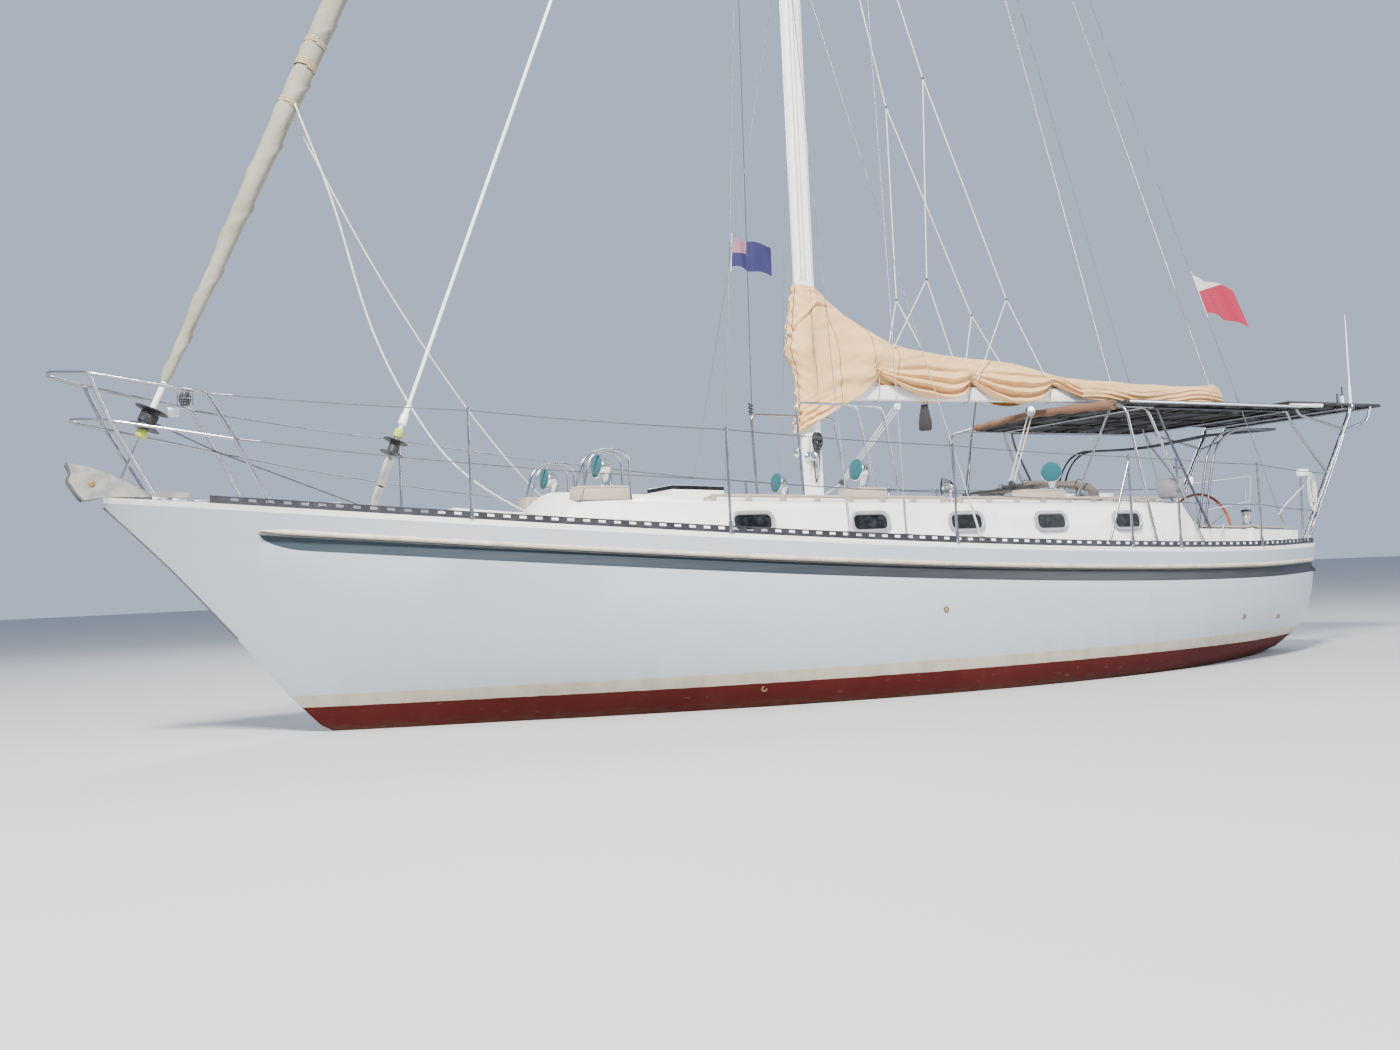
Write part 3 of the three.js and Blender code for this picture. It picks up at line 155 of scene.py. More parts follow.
class YachtSizes(bpy.types.PropertyGroup):
    """Sizes of the fittings that repeat"""

    hole_pitch: FloatProperty(
        name="Toe rail pitch", description="Distance from one slot to the next", default=0.127, unit="LENGTH"
    )
    rail_height: FloatProperty(
        name="Toe rail height", description="Height of the rail's web", default=0.058, unit="LENGTH"
    )
    tube_radius: FloatProperty(
        name="Stanchion radius", description="Outer radius of the stanchions", default=0.0127, unit="LENGTH"
    )
    lifeline_radius: FloatProperty(
        name="Lifeline radius", description="Radius of the guard wires", default=0.0045, unit="LENGTH"
    )


def paint():
    return bpy.context.scene.yacht_paint


def sizes():
    return bpy.context.scene.yacht_sizes


# Shape of the hull


def edge_value(x, column):
    """Half breadth (1) or height (2) of the deck edge at x, smooth between the stations."""
    rows = DECK_EDGE
    i = next((k for k, row in enumerate(rows) if row[0] <= x), len(rows) - 1)
    i = min(max(i, 1), len(rows) - 1)
    a, b = rows[i - 1], rows[i]

    def slope(p, q):
        return (rows[q][column] - rows[p][column]) / (rows[q][0] - rows[p][0])

    slope_a = slope(max(i - 2, 0), i)
    slope_b = slope(i - 1, min(i + 1, len(rows) - 1))
    span = b[0] - a[0]
    t = (x - a[0]) / span
    return (
        (2 * t**3 - 3 * t**2 + 1) * a[column]
        + (t**3 - 2 * t**2 + t) * span * slope_a
        + (3 * t**2 - 2 * t**3) * b[column]
        + (t**3 - t**2) * span * slope_b
    )


def half_breadth(x):
    return edge_value(x, 1)


def sheer(x):
    return edge_value(x, 2)


def deck_top(x, y):
    half = half_breadth(x)
    return sheer(x) + 0.07 * half / 2.0 * (1 - (y / half) ** 2)


def cabin_foot(x):
    return half_breadth(x) - 0.545


def cabin_shoulder(x):
    return cabin_foot(x) - 0.075


def roof_edge(x):
    along = (2.7 - x) / 6.4
    return 1.868 - 0.255 * along + 0.115 * along**2


def roof_top(x, y):
    return roof_edge(x) + 0.15 * (1 - (y / cabin_shoulder(x)) ** 2)


def surface_of(*names):
    """A search tree over the faces of CAD nodes, for setting pieces on them."""
    points, faces = [], []
    for name in names:
        mesh = frame["nodes"][name].data
        base = len(points)
        points += [v.co.copy() for v in mesh.vertices]
        faces += [[base + i for i in p.vertices] for p in mesh.polygons]
    return BVHTree.FromPolygons(points, faces)


def drop(tree, x, y, start=4.0):
    """Height of the first face below (x, y, start)."""
    hit = tree.ray_cast(Vector((x, y, start)), Vector((0, 0, -1)))[0]
    return hit.z if hit else 0.0


# Mesh helpers


def finish_piece(name, mesh, look, body=YACHT, angle=30):
    """Makes one object at the origin of a finished mesh, smooth up to an angle, and rides it on body.

    look: a name in LOOKS, or a material.
    """
    for polygon in mesh.polygons:
        polygon.use_smooth = True
    mesh.set_sharp_from_angle(angle=math.radians(angle))
    piece = bpy.data.objects.new(name, mesh)
    bpy.context.scene.collection.objects.link(piece)
    mesh.materials.append(finish(look) if isinstance(look, str) else look)
    if body:
        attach(piece, body)
    return piece


def mesh_of(bm, name, tidy=True):
    if tidy:
        bmesh.ops.remove_doubles(bm, verts=bm.verts, dist=1e-5)
        bmesh.ops.recalc_face_normals(bm, faces=bm.faces)
    mesh = bpy.data.meshes.new(name)
    bm.to_mesh(mesh)
    bm.free()
    return mesh


def smooth_copy(node, material, angle=30, body=YACHT):
    """A merged, smooth-shaded copy of a CAD node that stands for it."""
    bm = bmesh.new()
    bm.from_mesh(frame["nodes"][node].data)
    bmesh.ops.remove_doubles(bm, verts=bm.verts, dist=1e-5)
    bmesh.ops.dissolve_degenerate(bm, edges=bm.edges, dist=1e-6)
    mesh = bpy.data.meshes.new(node + "_skin")
    bm.to_mesh(mesh)
    bm.free()
    for layer in [a.name for a in mesh.attributes if a.name == "custom_normal"]:
        mesh.attributes.remove(mesh.attributes[layer])
    mesh.materials.clear()
    piece = finish_piece(node + "_skin", mesh, material, body, angle)
    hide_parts(node)
    return piece


def round_rods(bm, runs, radius, sides=8):
    """Adds round tubes along runs of points, capped, by sweeping a circle from corner to corner."""
    for run in runs:
        points = [Vector(p) for p in run]
        closed = (points[0] - points[-1]).length < 1e-6
        if closed:
            points.pop()
        count = len(points)
        first = (points[1] - points[0]).normalized()
        up = Vector((0, 0, 1)) if abs(first.z) < 0.9 else Vector((1, 0, 0))
        across = first.cross(up).normalized()
        rings = []
        heading = first
        for i, p in enumerate(points):
            before = points[i - 1] if i or closed else p
            after = points[(i + 1) % count] if i + 1 < count or closed else p
            a = (p - before).normalized() if (p - before).length > 1e-9 else (after - p).normalized()
            b = (after - p).normalized() if (after - p).length > 1e-9 else a
            tangent = (a + b).normalized()
            across = heading.rotation_difference(tangent) @ across
            across = (across - tangent * across.dot(tangent)).normalized()
            heading = tangent
            size = radius(i / max(count - 1, 1)) if callable(radius) else radius
            widen = 1 / max(math.sqrt((1 + a.dot(b)) / 2), 0.6)
            turn = Matrix((across, tangent.cross(across), tangent)).transposed().to_4x4()
            made = bmesh.ops.create_circle(
                bm, segments=sides, radius=size * (widen if 0 < i < count - 1 else 1),
                matrix=Matrix.Translation(p) @ turn,
            )
            rings.append(made["verts"])
        pairs = list(zip(rings, rings[1:])) + ([(rings[-1], rings[0])] if closed else [])
        for low, high in pairs:
            for k in range(sides):
                m = (k + 1) % sides
                bm.faces.new((low[k], low[m], high[m], high[k]))
        if not closed:
            bm.faces.new(rings[0][::-1])
            bm.faces.new(rings[-1])


def rods(name, runs, radius, look, body=YACHT, sides=8):
    bm = bmesh.new()
    round_rods(bm, runs, radius, sides)
    return finish_piece(name, mesh_of(bm, name, tidy=False), look, body, 40)


def bent(corners, radius=0.09, steps=5):
    """Points of straight runs joined by round bends."""
    corners = [Vector(c) for c in corners]
    out = [corners[0]]
    for before, corner, after in zip(corners, corners[1:], corners[2:]):
        reach = min(radius, (before - corner).length * 0.45, (after - corner).length * 0.45)
        start = corner + (before - corner).normalized() * reach
        end = corner + (after - corner).normalized() * reach
        for k in range(steps + 1):
            t = k / steps
            out.append(start * (1 - t) ** 2 + corner * 2 * t * (1 - t) + end * t * t)
    out.append(corners[-1])
    return out


def sag(a, b, depth, count=12):
    """Points from a to b that hang by depth at the middle."""
    a, b = Vector(a), Vector(b)
    return [
        a.lerp(b, k / count) - Vector((0, 0, depth * 4 * (k / count) * (1 - k / count)))
        for k in range(count + 1)
    ]


def oval(centre, right, up, count=16):
    """A closed loop round centre, whose half axes are the vectors right and up."""
    turns = [2 * math.pi * k / count for k in range(count + 1)]
    return [Vector(centre) + Vector(right) * math.sin(t) + Vector(up) * math.cos(t) for t in turns]


def divided(a, b, count=10):
    """Points of the straight line from a to b, close enough to bend in a blend."""
    a, b = Vector(a), Vector(b)
    return [a.lerp(b, k / count) for k in range(count + 1)]


def smooth_path(corners, count=8):
    """A smooth curve through corner points."""
    pts = [Vector(c) for c in corners]
    pts = [pts[0] * 2 - pts[1]] + pts + [pts[-1] * 2 - pts[-2]]
    out = []
    for a, b, c, d in zip(pts, pts[1:], pts[2:], pts[3:]):
        for k in range(count):
            t = k / count
            out.append(
                0.5 * (2 * b + (c - a) * t + (2 * a - 5 * b + 4 * c - d) * t * t
                    + (3 * b - a - 3 * c + d) * t**3)
            )
    out.append(pts[-2])
    return out


def add_box(bm, low, high, bevel=0.0, turn=None, segments=2):
    """Adds a box with rounded edges. turn: a matrix that is applied to it last."""
    low, high = Vector(low), Vector(high)
    middle, size = (low + high) / 2, high - low
    made = bmesh.ops.create_cube(bm, size=1,
        matrix=Matrix.Translation(middle) @ Matrix.Diagonal(size.to_4d()))
    verts = made["verts"]
    if bevel:
        edges = list({e for v in verts for e in v.link_edges})
        result = bmesh.ops.bevel(
            bm, geom=edges, offset=bevel, offset_type="OFFSET", segments=segments, profile=0.5,
            affect="EDGES", material=-1,
        )
        verts = list({v for f in result["faces"] for v in f.verts} | {v for v in verts if v.is_valid})
        verts = grown(verts)
    if turn is not None:
        bmesh.ops.transform(bm, matrix=turn, verts=verts)
    return verts


def grown(verts):
    """All vertices joined to the given ones by edges."""
    seen, todo = set(verts), list(verts)
    while todo:
        for edge in todo.pop().link_edges:
            for v in edge.verts:
                if v not in seen:
                    seen.add(v)
                    todo.append(v)
    return list(seen)


def boxes(name, specs, look, body=YACHT, bevel=0.004):
    bm = bmesh.new()
    for low, high in specs:
        add_box(bm, low, high, bevel)
    return finish_piece(name, mesh_of(bm, name), look, body)


def add_lathe(bm, start, axis, profile, steps=24):
    """Adds a turned form about the line from start along axis. profile: (distance along, radius)."""
    axis = Vector(axis).normalized()
    turn = Vector((0, 0, 1)).rotation_difference(axis).to_matrix().to_4x4()
    place = Matrix.Translation(Vector(start)) @ turn
    verts = [bm.verts.new(place @ Vector((radius, 0, along))) for along, radius in profile]
    edges = [bm.edges.new(pair) for pair in zip(verts, verts[1:])]
    bmesh.ops.spin(
        bm, geom=verts + edges, cent=Vector(start), axis=axis, dvec=Vector((0, 0, 0)),
        angle=2 * math.pi, steps=steps, use_merge=True, use_duplicate=False,
    )


def turned(name, specs, look, body=YACHT, steps=24, angle=35):
    """One piece of several turned forms, each given by its start, axis and profile."""
    bm = bmesh.new()
    for start, axis, profile in specs:
        add_lathe(bm, start, axis, profile, steps)
    return finish_piece(name, mesh_of(bm, name), look, body, angle)


def rounded_outline(width, height, radius, steps=5):
    """Corner points of a rectangle with round corners, about its middle."""
    out = []
    for sx, sy, start in ((1, -1, -90), (1, 1, 0), (-1, 1, 90), (-1, -1, 180)):
        for k in range(steps + 1):
            turn = math.radians(start + 90 * k / steps)
            x = sx * (width / 2 - radius) + radius * math.cos(turn)
            out.append((x, sy * (height / 2 - radius) + radius * math.sin(turn)))
    return out


# Materials


class Graph:
    """Short ways to place and link the nodes of a material or a node group."""

    def __init__(self, tree):
        self.tree = tree
        tree.nodes.clear()

    def add(self, kind, values=None, **settings):
        node = self.tree.nodes.new(kind)
        for key, value in settings.items():
            setattr(node, key, value)
        for key, value in (values or {}).items():
            socket = node.inputs[key]
            if isinstance(value, bpy.types.NodeSocket):
                self.tree.links.new(value, socket)
            else:
                socket.default_value = value
        return node

    def math(self, operation, a, b=0.0, clamp=False):
        return self.add("ShaderNodeMath", {0: a, 1: b}, operation=operation, use_clamp=clamp).outputs[0]

    def plus(self, a, b):
        return self.math("ADD", a, b)

    def times(self, a, b):
        return self.math("MULTIPLY", a, b)

    def mix(self, factor, a, b, blend="MIX"):
        node = self.add("ShaderNodeMix", data_type="RGBA", blend_type=blend)
        for key, value in ((0, factor), (6, a), (7, b)):
            if isinstance(value, bpy.types.NodeSocket):
                self.tree.links.new(value, node.inputs[key])
            elif key == 0:
                node.inputs[key].default_value = value
            else:
                node.inputs[key].default_value = (*value[:3], 1)
        return node.outputs[2]

    def ramp(self, value, stops):
        node = self.add("ShaderNodeValToRGB", {0: value})
        elements = node.color_ramp.elements
        while len(elements) < len(stops):
            elements.new(0.5)
        for element, (place, level) in zip(elements, stops):
            element.position = place
            element.color = (level, level, level, 1) if isinstance(level, (int, float)) else (*level, 1)
        return node.outputs[0]

    def object_place(self, scale=(1, 1, 1), turn=(0, 0, 0)):
        place = self.add("ShaderNodeTexCoord").outputs["Object"]
        return self.add("ShaderNodeMapping", {"Vector": place, "Scale": scale, "Rotation": turn}).outputs[0]

    def noise(self, vector, scale, detail=3.0, rough=0.5):
        return self.add(
            "ShaderNodeTexNoise", {"Vector": vector, "Scale": scale, "Detail": detail, "Roughness": rough}
        ).outputs[0]


def node_group(name, inputs, outputs, build):
    """Makes a shader node group once. inputs and outputs: (name, socket kind, default)."""
    if name in bpy.data.node_groups:
        return bpy.data.node_groups[name]
    group = bpy.data.node_groups.new(name, "ShaderNodeTree")
    graph = Graph(group)
    for label, kind, default in inputs:
        socket = group.interface.new_socket(label, in_out="INPUT", socket_type="NodeSocket" + kind)
        if default is not None:
            socket.default_value = default
    for label, kind in outputs:
        group.interface.new_socket(label, in_out="OUTPUT", socket_type="NodeSocket" + kind)
    source = graph.add("NodeGroupInput")
    target = graph.add("NodeGroupOutput")
    for label, value in build(graph, source.outputs).items():
        group.links.new(value, target.inputs[label])
    return group


def grime_group():
    """Blotches, and streaks that run down, as two masks, and a fine grain."""

    def build(g, given):
        stretched = g.add("ShaderNodeMapping", {"Vector": given["Vector"],
                "Scale": (1.0, 1.0, 0.12)}).outputs[0]
        streaks = g.ramp(g.noise(stretched, given["Scale"], 5.0, 0.6), [(0.45, 0.0), (0.8, 1.0)])
        blotches = g.ramp(g.noise(given["Vector"], given["Blotch Scale"], 4.0, 0.6),
            [(0.42, 0.0), (0.75, 1.0)])
        fine = g.noise(given["Vector"], 220.0, 2.0, 0.5)
        return {"Streaks": streaks, "Blotches": blotches, "Fine": fine}

    return node_group(
        "Weather Grime",
        [("Vector", "Vector", None), ("Scale", "Float", 6.0), ("Blotch Scale", "Float", 2.0)],
        [("Streaks", "Float"), ("Blotches", "Float"), ("Fine", "Float")],
        build,
    )


def weave_group():
    """Plain weave of canvas: the threads' height and a mottle of the yarn's shade."""

    def build(g, given):
        threads = given["Threads"]
        warp = g.add(
            "ShaderNodeTexWave", {"Vector": given["Vector"], "Scale": threads, "Distortion": 1.2},
            bands_direction="X"
        ).outputs[1]
        weft = g.add(
            "ShaderNodeTexWave", {"Vector": given["Vector"], "Scale": threads, "Distortion": 1.2},
            bands_direction="Z"
        ).outputs[1]
        height = g.times(warp, weft)
        mottle = g.noise(given["Vector"], 3.5, 4.0, 0.6)
        return {"Height": height, "Mottle": mottle}

    return node_group(
        "Canvas Weave",
        [("Vector", "Vector", None), ("Threads", "Float", 160.0)],
        [("Height", "Float"), ("Mottle", "Float")],
        build,
    )


def grain_group():
    """Weathered wood: long fibres along X."""

    def build(g, given):
        along = g.add("ShaderNodeMapping", {"Vector": given["Vector"], "Scale": (0.06, 1.0, 1.0)}).outputs[0]
        fibres = g.noise(along, given["Fibres"], 6.0, 0.7)
        bands = g.noise(along, g.times(given["Fibres"], 0.18), 3.0, 0.5)
        return {"Fibres": fibres, "Bands": bands}

    return node_group(
        "Teak Grain",
        [("Vector", "Vector", None), ("Fibres", "Float", 260.0)],
        [("Fibres", "Float"), ("Bands", "Float")],
        build,
    )


def new_material(name):
    """A material with a Principled shader, and its graph."""
    material = bpy.data.materials.new(name)
    material.use_nodes = True
    graph = Graph(material.node_tree)
    shader = graph.add("ShaderNodeBsdfPrincipled")
    output = graph.add("ShaderNodeOutputMaterial")
    graph.tree.links.new(shader.outputs[0], output.inputs[0])
    return material, graph, shader


def put(graph, shader, **sockets):
    """Sets or links the shader's sockets; underscores stand for spaces."""
    for key, value in sockets.items():
        socket = shader.inputs[key.replace("_", " ")]
        if isinstance(value, bpy.types.NodeSocket):
            graph.tree.links.new(value, socket)
        elif isinstance(value, (tuple, list)) or hasattr(value, "r"):
            socket.default_value = (*value[:3], 1)
        else:
            socket.default_value = value


def bump(graph, height, strength, distance):
    return graph.add("ShaderNodeBump", {"Height": height, "Strength": strength,
            "Distance": distance}).outputs[0]


def shade(color, factor):
    return tuple(c * factor for c in color[:3])


def use_group(graph, group, values):
    node = graph.add("ShaderNodeGroup", node_tree=group)
    for key, value in values.items():
        if isinstance(value, bpy.types.NodeSocket):
            graph.tree.links.new(value, node.inputs[key])
        else:
            node.inputs[key].default_value = value
    return node.outputs


def hull_paint():
    """White gelcoat, a cream band and worn red antifouling, by height above the water."""
    material, g, shader = new_material("hull_paint")
    place = g.object_place()
    p = paint()
    grime = use_group(g, grime_group(), {"Vector": place, "Scale": 5.0, "Blotch Scale": 1.3})
    split = g.add("ShaderNodeSeparateXYZ", {0: place})
    ripple = g.times(g.noise(place, 9.0, 3.0), 0.012)
    height = g.plus(split.outputs["Z"], ripple)
    topsides = g.mix(g.times(grime["Streaks"], 0.16), tuple(p.topsides), (0.32, 0.32, 0.30))
    topsides = g.mix(g.times(grime["Blotches"], 0.12), topsides, (0.34, 0.37, 0.40))
    low = g.times(g.ramp(split.outputs["Z"], [(0.3, 1.0), (0.55, 0.0)]), grime["Streaks"])
    topsides = g.mix(g.times(low, 0.35), topsides, (0.32, 0.29, 0.21))
    cream = g.mix(g.times(grime["Streaks"], 0.55), tuple(p.boot_top), (0.23, 0.19, 0.125))
    red = g.mix(g.times(grime["Blotches"], 0.6), tuple(p.antifouling), (0.090, 0.010, 0.008))
    worn = g.noise(g.object_place((1, 1, 4)), 7.0, 6.0, 0.65)
    red = g.mix(g.ramp(worn, [(0.62, 0.0), (0.70, 0.5)]), red, (0.15, 0.075, 0.06))
    scum = g.times(g.ramp(split.outputs["Z"], [(0.0, 1.0), (0.09, 0.0)]),
        g.ramp(worn, [(0.4, 0.0), (0.6, 1.0)]))
    red = g.mix(g.times(scum, 0.75), red, (0.05, 0.035, 0.02))
    top = p.antifouling_top
    cream_mask = g.math("LESS_THAN", height, top + p.boot_height)
    red_mask = g.math("LESS_THAN", height, top)
    color = g.mix(cream_mask, topsides, cream)
    color = g.mix(red_mask, color, red)
    rough = g.plus(g.times(red_mask, 0.5), 0.2)
    rough = g.plus(rough, g.times(grime["Fine"], 0.12))
    put(g, shader, Base_Color=color, Roughness=rough, Normal=bump(g, grime["Fine"], 0.08, 0.002),
        Coat_Weight=g.times(g.math("SUBTRACT", 1.0, red_mask), 0.3))
    shader.inputs["Coat Roughness"].default_value = 0.12
    shader.inputs["Specular IOR Level"].default_value = 0.2
    return material


def cove_paint():
    """Painted shade and reflection of the strake's hollow: blue-grey at the bow, dark and streaked further
    aft.
    """
    material, g, shader = new_material("cove_paint")
    place = g.object_place()
    along = g.add("ShaderNodeSeparateXYZ", {0: place}).outputs["X"]
    aft = g.ramp(g.math("DIVIDE", g.math("SUBTRACT", 5.2, along), 6.0, clamp=True), [(0.1, 0.0), (1.0, 1.0)])
    streaks = g.noise(g.object_place((0.25, 1.0, 9.0)), 5.0, 6.0, 0.65)
    # Painted reflection and shade of the hollow: blue-grey at the bow, darker further aft
    tone = g.mix(aft, (0.034, 0.050, 0.064), (0.024, 0.025, 0.029))
    tone = g.mix(g.times(g.ramp(streaks, [(0.45, 0.0), (0.75, 1.0)]), 0.35), tone, (0.07, 0.07, 0.073))
    put(g, shader, Base_Color=tone, Roughness=g.plus(g.times(streaks, 0.2), 0.35),
        Normal=bump(g, streaks, 0.1, 0.002))
    shader.inputs["Specular IOR Level"].default_value = 0.2
    return material


def gelcoat(name="gelcoat", tint=1.0, grit=0.0):
    """Aged white gelcoat with faint stains; grit is the height of its non-slip pattern."""
    material, g, shader = new_material(name)
    place = g.object_place()
    grime = use_group(g, grime_group(), {"Vector": place, "Scale": 9.0, "Blotch Scale": 2.6})
    color = g.mix(g.times(grime["Blotches"], 0.22), shade(paint().gelcoat, tint), (0.62, 0.60, 0.54))
    color = g.mix(g.times(grime["Streaks"], 0.25), color, (0.50, 0.46, 0.38))
    pattern = g.add("ShaderNodeTexVoronoi", {"Vector": place, "Scale": 190.0}).outputs[0]
    height = g.plus(g.times(pattern, grit), g.times(grime["Fine"], 0.3))
    put(g, shader, Base_Color=color, Roughness=g.plus(g.times(grime["Blotches"], 0.2), 0.3),
        Normal=bump(g, height, 0.25, 0.002))
    return material


# The default colour is darker and bluer than bare stainless: a painted darker, bluish reflection
def polished_steel(name="tube_steel", color=(0.40, 0.41, 0.44), rough=0.16, rust=0.30):
    """Stainless tube with faint tea staining."""
    material, g, shader = new_material(name)
    place = g.object_place()
    grime = use_group(g, grime_group(), {"Vector": place, "Scale": 22.0, "Blotch Scale": 9.0})
    tone = g.mix(g.times(grime["Blotches"], rust), color, (0.36, 0.27, 0.19))
    put(g, shader, Base_Color=tone, Metallic=1.0,
        Roughness=g.plus(g.times(grime["Blotches"], 0.25), rough),
        Normal=bump(g, grime["Fine"], 0.06, 0.001))
    return material


def plain_finish(name, color, rough, metallic=0.0, wear=(0.5, 0.5, 0.5), amount=0.2, grain=120.0, coat=0.0):
    """Paint, plastic or anodised metal with chalky wear and a fine grain."""
    material, g, shader = new_material(name)
    place = g.object_place()
    grime = use_group(g, grime_group(), {"Vector": place, "Scale": 14.0, "Blotch Scale": 7.0})
    tone = g.mix(g.times(grime["Blotches"], amount), color, wear)
    tone = g.mix(g.times(grime["Streaks"], amount * 0.6), tone, wear)
    fine = g.noise(place, grain, 3.0, 0.6)
    put(g, shader, Base_Color=tone, Metallic=metallic,
        Roughness=g.plus(g.times(fine, 0.2), rough - 0.1),
        Normal=bump(g, fine, 0.15, 0.0015), Coat_Weight=coat)
    return material


def cloth(name, color, dark, threads=160.0, mottle=0.5, sheen=0.05):
    """Woven cloth, faded unevenly, darker in random patches."""
    material, g, shader = new_material(name)
    place = g.object_place()
    weave = use_group(g, weave_group(), {"Vector": place, "Threads": threads})
    grime = use_group(g, grime_group(), {"Vector": place, "Scale": 4.0, "Blotch Scale": 2.2})
    tone = g.mix(g.times(g.ramp(weave["Mottle"], [(0.35, 0.0), (0.7, 1.0)]), mottle), color, dark)
    tone = g.mix(g.times(grime["Blotches"], 0.25), tone, shade(color, 1.15))
    tone = g.mix(g.times(weave["Height"], 0.15), tone, shade(color, 0.75))
    creases = g.noise(g.object_place((1.0, 1.0, 2.2)), 5.0, 5.0, 0.55)
    height = g.plus(g.times(weave["Height"], 0.08), creases)
    put(g, shader, Base_Color=tone, Roughness=0.92, Normal=bump(g, height, 0.45, 0.012))
    shader.inputs["Sheen Weight"].default_value = sheen
    return material


def rope(name, color, fleck, lay=420.0):
    """Braided line with a coloured fleck."""
    material, g, shader = new_material(name)
    place = g.object_place()
    braid = g.add(
        "ShaderNodeTexWave", {"Vector": place, "Scale": lay, "Distortion": 2.0}, bands_direction="DIAGONAL"
    ).outputs[1]
    patch = g.noise(place, 60.0, 3.0, 0.6)
    tone = g.mix(g.times(g.ramp(patch, [(0.5, 0.0), (0.6, 1.0)]), 0.7), color, fleck)
    tone = g.mix(g.times(braid, 0.25), tone, shade(color, 0.5))
    put(g, shader, Base_Color=tone, Roughness=0.85, Normal=bump(g, braid, 0.5, 0.002))
    return material


def bare_teak(name="teak", tint=1.0, lay=(0, 0, 0)):
    material, g, shader = new_material(name)
    base = shade(paint().teak, tint)
    grain = use_group(g, grain_group(), {"Vector": g.object_place(turn=lay), "Fibres": 260.0})
    tone = g.mix(g.ramp(grain["Fibres"], [(0.3, 0.0), (0.75, 1.0)]), shade(base, 0.72), shade(base, 1.28))
    tone = g.mix(g.times(grain["Bands"], 0.4), tone, (0.42, 0.40, 0.37))
    put(g, shader, Base_Color=tone, Roughness=0.8, Normal=bump(g, grain["Fibres"], 0.4, 0.002))
    return material


def dark_glass():
    material, g, shader = new_material("dark_glass")
    smudge = g.noise(g.object_place(), 18.0, 4.0, 0.6)
    tone = g.mix(g.ramp(smudge, [(0.45, 0.0), (0.8, 1.0)]), (0.006, 0.007, 0.009), (0.03, 0.032, 0.036))
    put(g, shader, Base_Color=tone, Roughness=g.plus(g.times(smudge, 0.2), 0.25))
    shader.inputs["Specular IOR Level"].default_value = 0.07
    return material


def solar_cells():
    """Dark blue-black cells with thin bus lines and a pale gap between modules."""
    material, g, shader = new_material("solar_cells")
    place = g.object_place()
    split = g.add("ShaderNodeSeparateXYZ", {0: place})

    def lines(value, pitch, width):
        at = g.math("FRACT", g.math("DIVIDE", value, pitch))
        return g.math("LESS_THAN", at, width)

    cell = g.math("MAXIMUM", lines(split.outputs["X"], 0.156, 0.02), lines(split.outputs["Y"], 0.156, 0.02))
    bus = g.times(lines(split.outputs["Y"], 0.052, 0.035), 0.5)
    mark = g.math("MAXIMUM", cell, bus)
    flakes = g.add("ShaderNodeTexVoronoi", {"Vector": place, "Scale": 60.0}).outputs["Color"]
    base = g.mix(0.12, (0.006, 0.008, 0.018), flakes, "MULTIPLY")
    tone = g.mix(g.times(mark, 0.45), base, (0.25, 0.26, 0.28))
    dust = g.noise(place, 6.0, 4.0, 0.6)
    tone = g.mix(g.times(dust, 0.06), tone, (0.5, 0.48, 0.44))
    put(g, shader, Base_Color=tone, Roughness=g.plus(g.times(dust, 0.15), 0.08), Coat_Weight=0.5)
    return material


